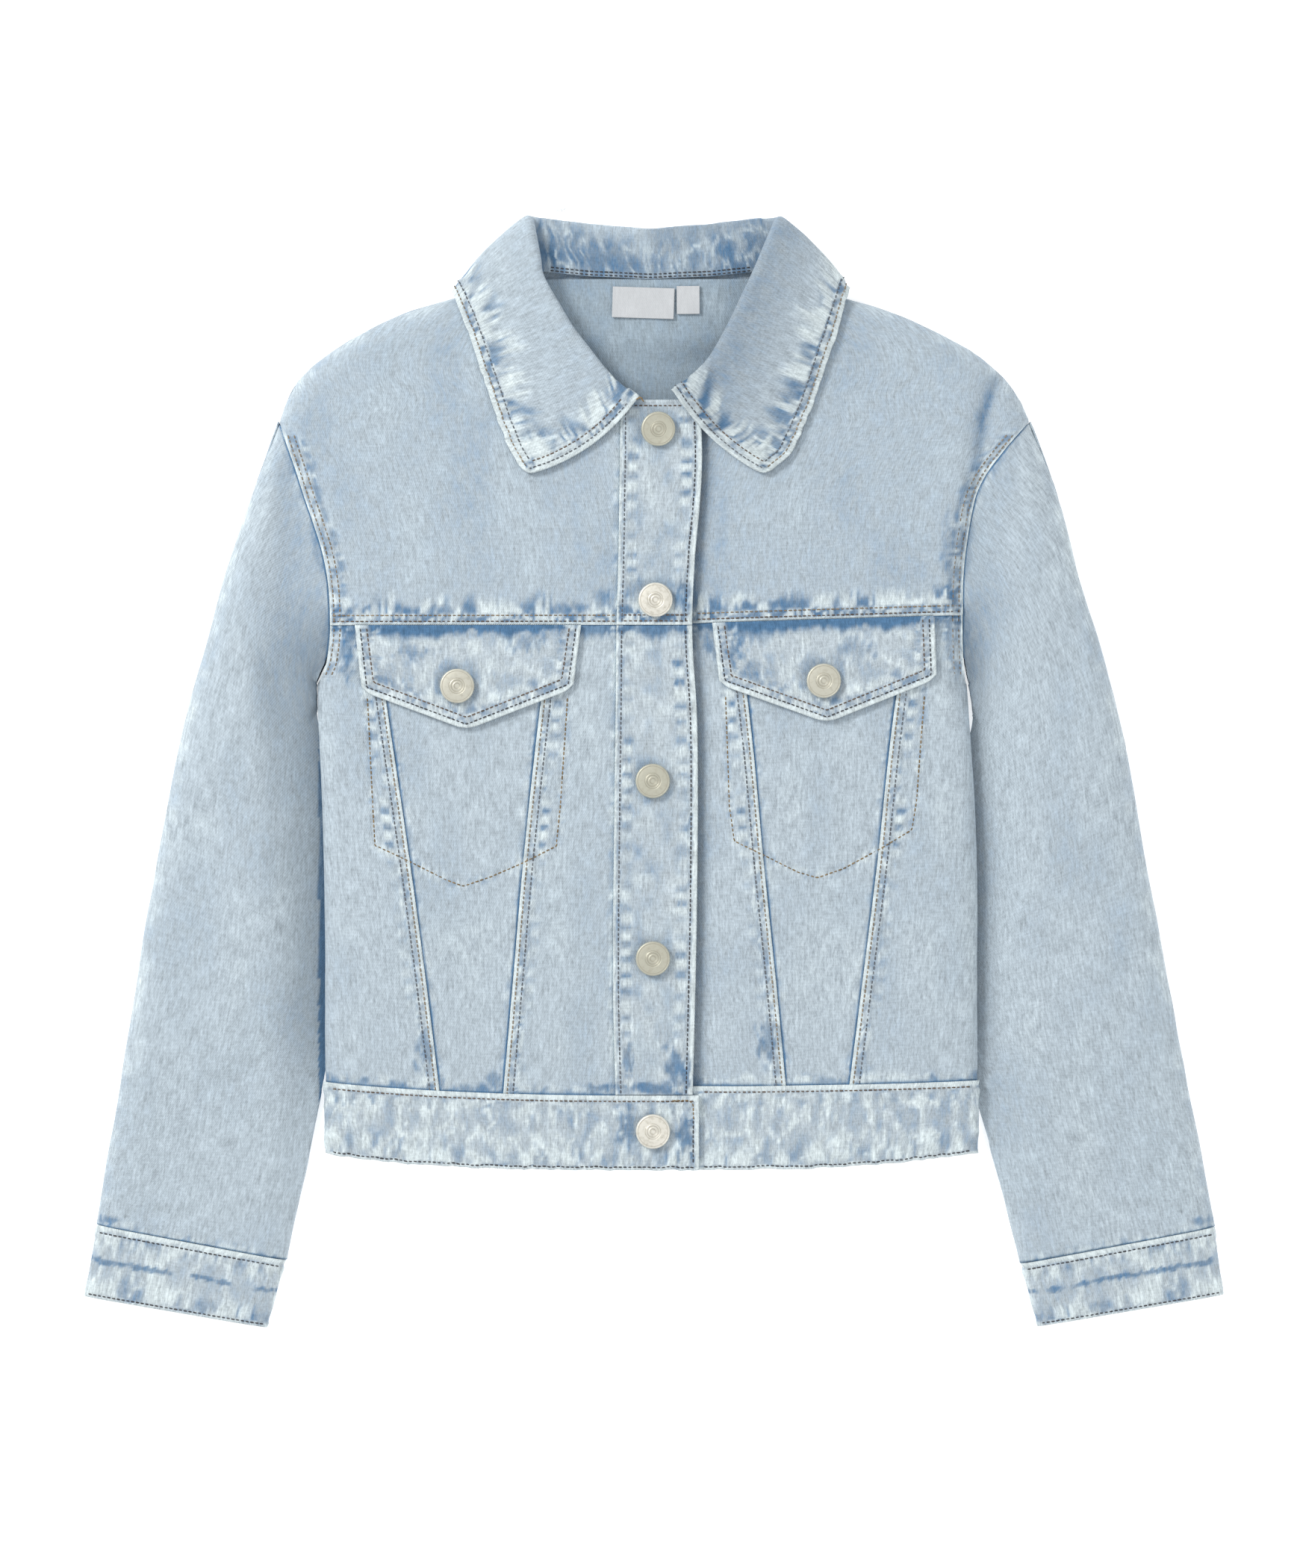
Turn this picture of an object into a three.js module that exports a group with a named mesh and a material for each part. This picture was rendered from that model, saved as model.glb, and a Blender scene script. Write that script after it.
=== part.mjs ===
// A child's cropped denim jacket, laid out flat on its back with its front buttoned.
// Millimetres. +X points to the wearer's left, +Y from hem to collar, +Z up from the surface.
// Every cloth piece is a closed wall round a mid-surface, and each is one cut piece of the garment.

import * as THREE from "three";

// Cloth and making
const DENIM = 1.2; // one layer of cloth
const BAND = 2.4; // waistband and cuffs, turned double
const FACED = 2.0; // placket and pocket flaps, turned double
const COLLAR = 1.8; // collar, two layers pressed together
const LABEL = 1.0; // folded woven label
const GAP = 0.3; // between pieces at a seam
const LAID = 0.45; // between pieces lying on each other, where their grids cut the folds differently
const STEP = 12; // usual grid step of a wall

// Shape of the folds where the front layer turns down to the back layer
const FOLD_REACH = 14; // plan width of the rounded fold
const TUCKED_RISE = 34; // how far the sleeve takes to rise beside the body
const TUCK_END_Y = { from: 232, to: 246 }; // where the sleeve comes out from under the body
const FOLD_STEPS = [0, 0.8, 2.2, 4.8, 8.6, 14]; // samples in from a fold, closer at its edge

// Side folds of the body, from the hem to the underarm
const SIDE_FOLD = [
  { y: -4, right: -162.5, left: 166.1 },
  { y: 43, right: -163.2, left: 166.3 },
  { y: 145, right: -164.1, left: 166.3 },
  { y: 180, right: -164.9, left: 165.2 },
  { y: 220, right: -166.6, left: 162.8 },
  { y: 246, right: -167.6, left: 161.0 },
];
const UNDERARM_Y = 246;

// Armhole seam from the underarm to the shoulder point
const ARMHOLE = [
  { y: 246, right: -167.6, left: 161.0 },
  { y: 251, right: -165.2, left: 160.4 },
  { y: 256, right: -163.2, left: 159.8 },
  { y: 270, right: -161.4, left: 159.4 },
  { y: 284, right: -161.4, left: 159.5 },
  { y: 298, right: -162.4, left: 159.7 },
  { y: 314, right: -165.5, left: 161.0 },
  { y: 330, right: -170.6, left: 163.4 },
  { y: 342, right: -174.8, left: 166.4 },
  { y: 352, right: -178.0, left: 171.4 },
  { y: 362, right: -181.4, left: 178.6 },
  { y: 371, right: -184.4, left: 186.0 },
  { y: 379, right: -187.0, left: 193.0 },
];
const SHOULDER_POINT_Y = 379;

// Shoulder fold from the shoulder point to the neck
const SHOULDER = [
  { y: 379, right: -187.0, left: 193.0 },
  { y: 389, right: -183.6, left: 188.8 },
  { y: 399, right: -178.2, left: 182.2 },
  { y: 407, right: -170.4, left: 174.0 },
  { y: 415, right: -160.0, left: 163.6 },
  { y: 423, right: -146.6, left: 148.8 },
  { y: 431, right: -130.8, left: 131.8 },
  { y: 437, right: -115.0, left: 116.0 },
  { y: 441, right: -99.0, left: 101.0 },
  { y: 446, right: -86.0, left: 87.0 },
  { y: 450, right: -77.0, left: 77.5 },
];
const NECK_TOP_Y = 450;

// Front neck seam, under the collar, from the placket to the neck point
const NECKLINE = [
  { y: 386, right: -15.6, left: 22.4 },
  { y: 393, right: -18.2, left: 24.8 },
  { y: 402, right: -33.5, left: 38.6 },
  { y: 412, right: -46.0, left: 49.5 },
  { y: 434, right: -62.6, left: 63.2 },
  { y: 450, right: -69.6, left: 69.8 },
];

// Seams of the front. The yoke seam runs level on the right front and climbs a little on the left.
const YOKE_SEAM = { right: { centre: 275.6, side: 275.4 }, left: { centre: 275.8, side: 280.8 } };
const V_SEAMS = [
  { y: 36, rightOuter: -105.4, rightInner: -73.7, leftInner: 70.2, leftOuter: 101.0 },
  { y: 95, rightOuter: -112.6, rightInner: -68.6, leftInner: 64.6, leftOuter: 108.4 },
  { y: 155, rightOuter: -120.6, rightInner: -63.4, leftInner: 58.4, leftOuter: 115.8 },
  { y: 215, rightOuter: -129.4, rightInner: -57.0, leftInner: 52.8, leftOuter: 122.2 },
  { y: 281, rightOuter: -139.4, rightInner: -49.0, leftInner: 44.8, leftOuter: 130.9 },
];
const PLACKET_EDGES = [
  { y: 36, seam: -16.6, front: 22.4 },
  { y: 84, seam: -17.8, front: 23.6 },
  { y: 127, seam: -17.8, front: 24.5 },
  { y: 185, seam: -17.2, front: 25.0 },
  { y: 229, seam: -16.6, front: 24.6 },
  { y: 272, seam: -16.2, front: 22.2 },
  { y: 310, seam: -15.2, front: 23.6 },
  { y: 335, seam: -14.8, front: 25.9 },
  { y: 361, seam: -14.4, front: 27.2 },
  { y: 391, seam: -14.2, front: 26.0 },
];
const PLACKET_TOP_Y = 389.6;
const UNDER_PLACKET = { left: -11.5, right: 21.8, dip: 2.8, dipEnd: 50 };

// Hem and waistband: both curve up towards the sides
const HEM = { rise: 8.6, bend: 3.1, half: 164 };
const WAIST_TOP = { right: 35.8, left: 40.4, rightRise: 6.8, leftRise: 4.4 };
const WAIST_TAB_X = 25.7; // front end of the top waistband
const WAIST_UNDER_X = -9.5; // hidden front end of the lower waistband

// Height of the front's mid-surface above the surface it lies on, along the body and the sleeves
const LOFT = [
  { y: -80, body: 9.2, sleeve: 8.6 },
  { y: 0, body: 9.4, sleeve: 10.2 },
  { y: 45, body: 10.8, sleeve: 11.6 },
  { y: 130, body: 12.6, sleeve: 13.4 },
  { y: 220, body: 13.4, sleeve: 14.6 },
  { y: 300, body: 13.2, sleeve: 14.2 },
  { y: 360, body: 12.4, sleeve: 12.8 },
  { y: 400, body: 11.6, sleeve: 11.8 },
  { y: 450, body: 10.4, sleeve: 10.6 },
];
const LOFT_CHANGE_X = { from: 150, to: 196 };

// Lift of the back layer's edges, where the body lies on the tucked sleeves
const SIDE_LIFT = [
  { y: -4, lift: 1.4 },
  { y: 20, lift: 2.6 },
  { y: 34, lift: 3.4 },
  { y: 60, lift: 3.5 },
  { y: 224, lift: 3.5 },
  { y: 234, lift: 3.2 },
  { y: 247, lift: 0.0 },
  { y: 262, lift: 0.0 },
];
const SIDE_LIFT_WIDTH = { full: 14, none: 44 };
// Lift of the back layer over the part of the collar that is folded under it
const NECK_LIFT = { height: 3.3, fromY: 408, toY: 424, fullX: 100, noneX: 116 };

// How far the back ends inside the collar's fold at the shoulders
const BACK_NECK_INSET = { by: 15, fromY: 423, toY: 439.5 };

// Sleeves: one row for each section, from the armhole to the cuff seam
const SLEEVE_SECTIONS = [
  { at: 0.0, rightOuter: [-187.0, 379], rightInner: [-163.2, 256], leftOuter: [193.0, 379], leftInner: [159.8, 256] },
  { at: 0.06, rightOuter: [-195.4, 357], rightInner: [-168.8, 246], leftOuter: [201.6, 358], leftInner: [163.0, 246] },
  { at: 0.1, rightOuter: [-201.0, 342], rightInner: [-169.2, 240], leftOuter: [206.8, 344], leftInner: [164.4, 240] },
  { at: 0.15, rightOuter: [-207.6, 323], rightInner: [-168.8, 232], leftOuter: [212.4, 324], leftInner: [165.2, 232] },
  { at: 0.2, rightOuter: [-213.6, 304], rightInner: [-167.0, 222], leftOuter: [217.2, 304], leftInner: [164.0, 222] },
  { at: 0.32, rightOuter: [-226.3, 259], rightInner: [-158.2, 200], leftOuter: [231.0, 259], leftInner: [156.6, 200] },
  { at: 0.45, rightOuter: [-238.1, 213], rightInner: [-156.2, 168], leftOuter: [242.4, 213], leftInner: [157.0, 168] },
  { at: 0.58, rightOuter: [-248.0, 163], rightInner: [-156.4, 126], leftOuter: [251.0, 163], leftInner: [158.4, 126] },
  { at: 0.72, rightOuter: [-257.8, 105], rightInner: [-157.4, 84], leftOuter: [261.4, 106], leftInner: [159.6, 84] },
  { at: 0.84, rightOuter: [-268.0, 42], rightInner: [-164.8, 47], leftOuter: [273.6, 43], leftInner: [163.6, 47] },
  { at: 0.92, rightOuter: [-274.0, 6], rightInner: [-173.4, 4], leftOuter: [280.6, 7], leftInner: [176.2, 3] },
  { at: 1.0, rightOuter: [-279.7, -28.4], rightInner: [-184.4, -46.4], leftOuter: [287.2, -29.6], leftInner: [189.2, -48.2] },
];
const SLEEVE_SEAM_END_Y = 256; // below this the sleeve turns round the underarm point
const UNDERARM_AT = 0.06; // the section that passes the underarm point
const CAP_BLEND = { shoulder: 0.3, underarm: 0.05 }; // share of the sleeve in which the armhole's curve dies out
const CORNER_EASE = 0.7; // wider seam where the armhole meets the underarm and the shoulder point
const CUFFS = {
  right: { hemOuter: [-286.2, -64.6], hemInner: [-193.4, -80.6], height: 9.6 },
  left: { hemOuter: [291.8, -63.8], hemInner: [197.4, -80.0], height: 9.6 },
};

// Largest folds of the upper layer, each a soft trough (below zero) or ridge along a line
const FOLDS = [
  { name: "right sleeve inner trough", from: [-182, 350], to: [-186, 190], width: 13, depth: -3.4 },
  { name: "right sleeve ridge", from: [-196, 330], to: [-216, 60], width: 15, depth: 1.6 },
  { name: "right sleeve elbow trough", from: [-236, 170], to: [-200, 96], width: 14, depth: -1.8 },
  { name: "right sleeve cuff trough", from: [-228, 30], to: [-232, -20], width: 12, depth: -1.0 },
  { name: "left sleeve trough", from: [205, 352], to: [216, 250], width: 10, depth: -1.6 },
  { name: "left sleeve ridge", from: [222, 240], to: [226, 60], width: 18, depth: 1.4 },
  { name: "left sleeve elbow trough", from: [246, 160], to: [208, 110], width: 13, depth: -1.6 },
  { name: "left shoulder crease", from: [174, 398], to: [165, 345], width: 6, depth: -2.6 },
  { name: "left shoulder ridge", from: [158, 392], to: [152, 322], width: 13, depth: 1.6 },
  { name: "right chest trough", from: [-120, 400], to: [-92, 330], width: 22, depth: -1.2 },
  { name: "left chest trough", from: [108, 396], to: [84, 330], width: 20, depth: -1.1 },
  { name: "right waist ridge", from: [-132, 60], to: [-140, 150], width: 15, depth: 1.0 },
  { name: "left waist ridge", from: [136, 60], to: [142, 170], width: 15, depth: 1.0 },
  { name: "right middle trough", from: [-88, 52], to: [-92, 120], width: 16, depth: -1.1 },
  { name: "left middle trough", from: [86, 52], to: [88, 120], width: 16, depth: -1.1 },
];
// Hollow along each armhole: narrow on the body, wide on the sleeve
const ARMHOLE_HOLLOW = [
  { y: 240, right: 1.6, left: 4.0 },
  { y: 262, right: 2.6, left: 6.4 },
  { y: 300, right: 2.2, left: 6.8 },
  { y: 330, right: 1.6, left: 5.2 },
  { y: 352, right: 1.0, left: 1.8 },
  { y: 379, right: 0.4, left: 0.6 },
];
const HOLLOW_WIDTH = { body: 6, sleeve: 20 };

// Pocket flaps: the outline's points, from the upper inner corner round to the upper outer one
const FLAPS = {
  right: { top: [-148.4, -34.0], corner: [-145.0, 242.0, -37.8, 243.4], tip: [-92.0, 222.4] },
  left: { top: [32.4, 144.6], corner: [36.0, 245.4, 145.6, 248.2], tip: [90.2, 226.0] },
};
// Pocket bags inside the front: top edge, lower corners and point
const POCKETS = {
  right: { top: [-142.4, -40.8], corner: [-138.4, 164.2, -46.6, 163.8], tip: [-93.6, 143.4] },
  left: { top: [38.4, 139.2], corner: [42.8, 168.6, 133.4, 171.0], tip: [87.2, 147.6] },
};
const POCKET_TOP_Y = 270;

// Collar sections. n is the neck seam, r the roll line, e the outer edge. roll is the roll's radius, bow
// how far the section curves. The first six rows lie on the front, the next is at the shoulder fold.
const COLLAR_FRONT = {
  right: [
    { n: [-7.0, 390.6], r: [-2.1, 394.6], e: [-62.5, 351.1], roll: 1.7, bow: 6.2 },
    { n: [-17.6, 393.6], r: [-11.2, 396.6], e: [-70.2, 364.0], roll: 2.0, bow: 4.2 },
    { n: [-31.0, 402.4], r: [-19.2, 401.4], e: [-76.2, 379.0], roll: 2.6, bow: 2.4 },
    { n: [-44.0, 412.6], r: [-28.3, 412.8], e: [-81.6, 395.4], roll: 3.0, bow: 1.2 },
    { n: [-54.0, 424.0], r: [-40.7, 429.5], e: [-87.0, 411.0], roll: 3.2, bow: 0.6 },
    { n: [-65.0, 441.0], r: [-52.6, 451.0], e: [-92.6, 427.4], roll: 3.2, bow: 0.4 },
  ],
  left: [
    { n: [20.0, 393.6], r: [11.4, 396.4], e: [59.4, 350.9], roll: 1.7, bow: -4.4 },
    { n: [27.0, 395.8], r: [17.8, 399.6], e: [71.6, 361.6], roll: 2.0, bow: -3.0 },
    { n: [37.6, 402.4], r: [25.4, 404.0], e: [78.4, 375.4], roll: 2.6, bow: -1.8 },
    { n: [48.4, 412.6], r: [32.6, 413.0], e: [84.4, 390.4], roll: 3.0, bow: -1.0 },
    { n: [56.0, 424.0], r: [42.2, 430.6], e: [90.6, 409.0], roll: 3.2, bow: -0.5 },
    { n: [65.6, 441.0], r: [52.6, 453.0], e: [96.8, 427.6], roll: 3.2, bow: -0.4 },
  ],
};
const COLLAR_SHOULDER = {
  right: { n: [-67.6, 456.6], r: [-61.1, 483.6], e: [-99.1, 444.4], roll: 2.2, bow: 2.6 },
  left: { n: [68.6, 456.6], r: [66.8, 483.0], e: [101.4, 446.0], roll: 2.2, bow: 2.2 },
};
const COLLAR_BACK = [
  { x: 1.0, n: [-56.0, 455.6], r: [-53.0, 482.0], e: [-84.0, 432.0] },
  { x: 0.6, n: [-30.0, 453.0], r: [-30.0, 479.2], e: [-46.0, 428.0] },
  { x: 0.0, n: [1.0, 451.6], r: [1.0, 476.8], e: [1.0, 426.4] },
];
const COLLAR_LEVELS = { shoulder: 7.6, backNeck: 3.9, backRoll: 5.2, under: 0.95 };
const COLLAR_TURN = [-90, -35, 35, 90]; // samples round the roll, in degrees
const COLLAR_FALL = [0.12, 0.3, 0.5, 0.7, 0.86, 1]; // samples from the roll to the outer edge
const COLLAR_FOLD_STEPS = [20, 45, 70]; // samples round the shoulder fold, in degrees

// Buttons: shank buttons of 17.4 mm
const BUTTON = { radius: 8.7, height: 3.0, foot: 3.4, footHeight: 0.8, sides: 14 };
const FRONT_BUTTONS = [
  { x: 4.4, y: 376.0, tilt: 7 },
  { x: 3.4, y: 288.6, tilt: 0 },
  { x: 2.2, y: 196.4, tilt: 0 },
  { x: 2.3, y: 106.2, tilt: 0 },
  { x: 2.3, y: 18.4, tilt: 0 },
];
const FLAP_BUTTONS = { right: { x: -96.6, y: 244.6 }, left: { x: 88.6, y: 247.2 } };

// Labels inside the back neck
const LABELS = [
  { name: "label_main", centre: [-2.6, 439.4], size: [31.4, 15.6], turn: -1.8 },
  { name: "label_size", centre: [20.2, 440.8], size: [11.6, 14.2], turn: 0.4 },
];

const SIDES = ["right", "left"];
const mix = (a, b, t) => a + (b - a) * t;
const clamp01 = (t) => Math.min(1, Math.max(0, t));
const smooth = (from, to, value) => {
  const t = clamp01((value - from) / (to - from));
  return t * t * (3 - 2 * t);
};
// Quarter round: 0 at a fold's edge, 1 where the cloth has levelled out
const rounded = (distance, reach) => {
  const t = clamp01(distance / reach);
  return Math.sqrt(1 - (1 - t) * (1 - t));
};

// Smooth curve through a table's column, with the table ordered by its key
function curveOf(rows, key, column) {
  const pick = (row) => (typeof column === "function" ? column(row) : row[column]);
  const slope = (i) => {
    const a = rows[Math.max(0, i - 1)];
    const b = rows[Math.min(rows.length - 1, i + 1)];
    return (pick(b) - pick(a)) / (b[key] - a[key]);
  };
  return (at) => {
    let i = 0;
    while (i < rows.length - 2 && at > rows[i + 1][key]) i++;
    const span = rows[i + 1][key] - rows[i][key];
    const t = clamp01((at - rows[i][key]) / span);
    const [t2, t3] = [t * t, t * t * t];
    return (
      (2 * t3 - 3 * t2 + 1) * pick(rows[i]) +
      (t3 - 2 * t2 + t) * span * slope(i) +
      (3 * t2 - 2 * t3) * pick(rows[i + 1]) +
      (t3 - t2) * span * slope(i + 1)
    );
  };
}

// Distance in plan to a line of points
function distanceTo(line) {
  return (x, y) => {
    let best = Infinity;
    for (let i = 0; i + 1 < line.length; i++) {
      const [ax, ay] = line[i];
      const [dx, dy] = [line[i + 1][0] - ax, line[i + 1][1] - ay];
      const t = clamp01(((x - ax) * dx + (y - ay) * dy) / (dx * dx + dy * dy));
      best = Math.min(best, Math.hypot(x - ax - dx * t, y - ay - dy * t));
    }
    return best;
  };
}

const sideFold = {};
const armhole = {};
const shoulder = {};
const neckline = {};
const sleeveOuter = {};
const sleeveInner = {};
const upperFoldDistance = {};
const bodyFoldDistance = {};
const sleeveFoldDistance = {};
for (const side of SIDES) {
  sideFold[side] = curveOf(SIDE_FOLD, "y", side);
  armhole[side] = curveOf(ARMHOLE, "y", side);
  shoulder[side] = curveOf(SHOULDER, "y", side);
  neckline[side] = curveOf(NECKLINE, "y", side);
  const edge = (end) => {
    const x = curveOf(SLEEVE_SECTIONS, "at", (row) => row[side + end][0]);
    const y = curveOf(SLEEVE_SECTIONS, "at", (row) => row[side + end][1]);
    return (at) => [x(at), y(at)];
  };
  sleeveOuter[side] = edge("Outer");
  sleeveInner[side] = edge("Inner");
  const steps = Array.from({ length: 25 }, (_, i) => i / 24);
  const cuffHem = CUFFS[side];
  upperFoldDistance[side] = distanceTo([
    ...SHOULDER.map((row) => [row[side], row.y]).reverse(),
    ...steps.slice(1).map(sleeveOuter[side]),
    cuffHem.hemOuter,
  ]);
  const tucked = steps.map((t) => mix(UNDERARM_AT, 1, t)).map(sleeveInner[side]);
  sleeveFoldDistance[side] = distanceTo([...tucked, cuffHem.hemInner]);
  bodyFoldDistance[side] = distanceTo(
    steps.map((t) => mix(-12, UNDERARM_Y, t)).map((y) => [sideFold[side](y), y]),
  );
}
const sideOf = (x) => (x < 0 ? "right" : "left");

const bodyLoft = curveOf(LOFT, "y", "body");
const sleeveLoft = curveOf(LOFT, "y", "sleeve");
const sideLift = curveOf(SIDE_LIFT, "y", "lift");
const hollowDepth = { right: curveOf(ARMHOLE_HOLLOW, "y", "right"), left: curveOf(ARMHOLE_HOLLOW, "y", "left") };

// Height of the upper layer where no fold pulls it down
function openHeight(x, y) {
  const side = sideOf(x);
  const share = smooth(LOFT_CHANGE_X.from, LOFT_CHANGE_X.to, Math.abs(x));
  let height = mix(bodyLoft(y), sleeveLoft(y), share);
  for (const fold of FOLDS) {
    const away = distanceTo([fold.from, fold.to])(x, y) / fold.width;
    height += fold.depth * Math.exp(-away * away);
  }
  const outward = (x - armhole[side](y)) * Math.sign(x);
  const width = outward > 0 ? HOLLOW_WIDTH.sleeve : HOLLOW_WIDTH.body;
  const along = smooth(232, 250, y) * hollowDepth[side](y);
  return height - along * Math.exp(-((outward / width) ** 2));
}

// Mid-surface of the back layer, for a wall of the given thickness
function backHeight(x, y, thickness = DENIM) {
  const inside = Math.abs(sideFold[sideOf(x)](y)) - Math.abs(x);
  const edge = 1 - smooth(SIDE_LIFT_WIDTH.full, SIDE_LIFT_WIDTH.none, inside);
  const over = smooth(NECK_LIFT.fromY, NECK_LIFT.toY, y) * (1 - smooth(NECK_LIFT.fullX, NECK_LIFT.noneX, Math.abs(x)));
  return thickness / 2 + Math.max(0, sideLift(y)) * edge + NECK_LIFT.height * over;
}

// Mid-surface of the front layer. The left front sinks where the placket lies on it.
function frontHeight(x, y, side, thickness = DENIM) {
  const half = sideOf(x);
  const fold = backHeight(x, y, thickness) + thickness + GAP;
  const share = Math.min(
    rounded(upperFoldDistance[half](x, y), FOLD_REACH),
    rounded(bodyFoldDistance[half](x, y), FOLD_REACH),
  );
  const dip = side === "left" ? UNDER_PLACKET.dip * (1 - smooth(UNDER_PLACKET.right + 3, UNDER_PLACKET.dipEnd, x)) : 0;
  return mix(fold, openHeight(x, y), share) - dip;
}

// Mid-surface of a sleeve's upper layer, which starts low beside the body
function sleeveHeight(x, y, side) {
  const outward = (x - sideFold[side](y)) * Math.sign(x);
  const clear = Math.max(smooth(0, TUCKED_RISE, outward), smooth(TUCK_END_Y.from, TUCK_END_Y.to, y));
  const share = Math.min(
    rounded(upperFoldDistance[side](x, y), FOLD_REACH),
    rounded(sleeveFoldDistance[side](x, y), FOLD_REACH),
    clear,
  );
  return mix(DENIM * 1.5 + GAP, openHeight(x, y), share);
}

const hemY = (x) => HEM.rise * Math.pow(clamp01(Math.abs(x) / HEM.half), HEM.bend) - 0.6;
const waistTopY = (side) => (x) => {
  const share = Math.pow(clamp01(Math.abs(x) / HEM.half), 2.4);
  return WAIST_TOP[side] + WAIST_TOP[side + "Rise"] * share;
};
const yokeSeamY = (side) => (x) => mix(YOKE_SEAM[side].centre, YOKE_SEAM[side].side, clamp01(Math.abs(x) / HEM.half));

// Closed wall of the given thickness round a grid of mid-surface points
function wallGeometry(grid, thickness) {
  const rows = grid.length;
  const columns = grid[0].length;
  const side = (r, c) => grid[Math.min(rows - 1, Math.max(0, r))][Math.min(columns - 1, Math.max(0, c))];
  const positions = [];
  for (const sign of [1, -1]) {
    for (let r = 0; r < rows; r++) {
      for (let c = 0; c < columns; c++) {
        const across = side(r, c + 1).clone().sub(side(r, c - 1));
        const along = side(r + 1, c).clone().sub(side(r - 1, c));
        const normal = across.cross(along).normalize();
        const p = grid[r][c].clone().addScaledVector(normal, (sign * thickness) / 2);
        positions.push(p.x, p.y, p.z);
      }
    }
  }
  const at = (layer, r, c) => layer * rows * columns + r * columns + c;
  const faces = [];
  const quad = (a, b, c, d) => faces.push(a, b, c, a, c, d);
  for (let r = 0; r + 1 < rows; r++) {
    for (let c = 0; c + 1 < columns; c++) {
      quad(at(0, r, c), at(0, r, c + 1), at(0, r + 1, c + 1), at(0, r + 1, c));
      quad(at(1, r, c), at(1, r + 1, c), at(1, r + 1, c + 1), at(1, r, c + 1));
    }
    quad(at(1, r, 0), at(0, r, 0), at(0, r + 1, 0), at(1, r + 1, 0));
    quad(at(0, r, columns - 1), at(1, r, columns - 1), at(1, r + 1, columns - 1), at(0, r + 1, columns - 1));
  }
  for (let c = 0; c + 1 < columns; c++) {
    quad(at(0, 0, c), at(1, 0, c), at(1, 0, c + 1), at(0, 0, c + 1));
    quad(at(1, rows - 1, c), at(0, rows - 1, c), at(0, rows - 1, c + 1), at(1, rows - 1, c + 1));
  }
  return closedGeometry(positions, faces);
}

// Indexed geometry, turned right side out if its faces point inwards
function closedGeometry(positions, faces) {
  let volume = 0;
  const point = (i) => new THREE.Vector3().fromArray(positions, i * 3);
  for (let i = 0; i < faces.length; i += 3) {
    volume += point(faces[i]).dot(point(faces[i + 1]).cross(point(faces[i + 2])));
  }
  const turned = volume < 0 ? faces.map((_, i) => faces[i - (i % 3) + [0, 2, 1][i % 3]]) : faces;
  const geometry = new THREE.BufferGeometry();
  geometry.setAttribute("position", new THREE.Float32BufferAttribute(positions, 3));
  geometry.setIndex(turned);
  geometry.computeVertexNormals();
  return geometry;
}

// Shares from 0 to 1 across a width: even steps, closer beside an end that is a fold
function sharesAcross(width, { foldStart = false, foldEnd = false, step = STEP } = {}) {
  const start = foldStart ? FOLD_STEPS : [0];
  const end = foldEnd ? FOLD_STEPS : [0];
  const free = width - start.at(-1) - end.at(-1);
  const count = Math.max(1, Math.round(free / step));
  const inner = Array.from({ length: count - 1 }, (_, i) => start.at(-1) + (free * (i + 1)) / count);
  return [...start, ...inner, ...end.map((d) => width - d).reverse()].map((d) => d / width);
}
// Shares of the rows between two heights that every piece meeting an edge of the body has in common
const EDGE_LEVELS = [60, 80, 102, 124, 146, 168, 188, 206, 222, 236, ...ARMHOLE.map((row) => row.y)];
const rowShares = (from, to, levels) => [0, ...levels.filter((y) => y > from + 3 && y < to - 3).map((y) => (y - from) / (to - from)), 1];
const evenShares = (length, step = STEP) => {
  const count = Math.max(1, Math.round(length / step));
  return Array.from({ length: count + 1 }, (_, i) => i / count);
};

// Grid of a panel between two edges given as x at y, and two ends given as y at x
function panelGrid({ start, end, bottom, top, across, along, height }) {
  const middle = (f) => (f(start(0)) + f(end(0))) / 2;
  return along.map((v) => {
    const level = mix(middle(bottom), middle(top), v);
    return across.map((u) => {
      let y = level;
      let x = mix(start(y), end(y), u);
      for (let pass = 0; pass < 3; pass++) {
        y = mix(bottom(x), top(x), v);
        x = mix(start(y), end(y), u);
      }
      return new THREE.Vector3(x, y, height(x, y));
    });
  });
}

const cloth = (color) => new THREE.MeshStandardMaterial({ color, roughness: 0.92, metalness: 0 });
const DENIM_LIGHT = cloth(0xb7c9da);
const DENIM_BAND = cloth(0xc6d6df);
const DENIM_INSIDE = cloth(0xaebfce);
const LABEL_WHITE = cloth(0xe6e8ee);
const BUTTON_METAL = new THREE.MeshStandardMaterial({ color: 0xb9b09c, roughness: 0.35, metalness: 0.9 });

const jacket = new THREE.Group();
function addMesh(name, geometry, material) {
  const mesh = new THREE.Mesh(geometry, material);
  mesh.name = name;
  jacket.add(mesh);
  return mesh;
}

const half = GAP / 2 + 0.05;
const shifted = (f, by) => (at) => f(at) + by;

// Outer edge of the body at a height: side fold, then armhole, then shoulder
const bodyEdge = (side) => (y) => {
  if (y < UNDERARM_Y) return sideFold[side](y);
  return y < SHOULDER_POINT_Y ? armhole[side](y) : shoulder[side](y);
};

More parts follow.
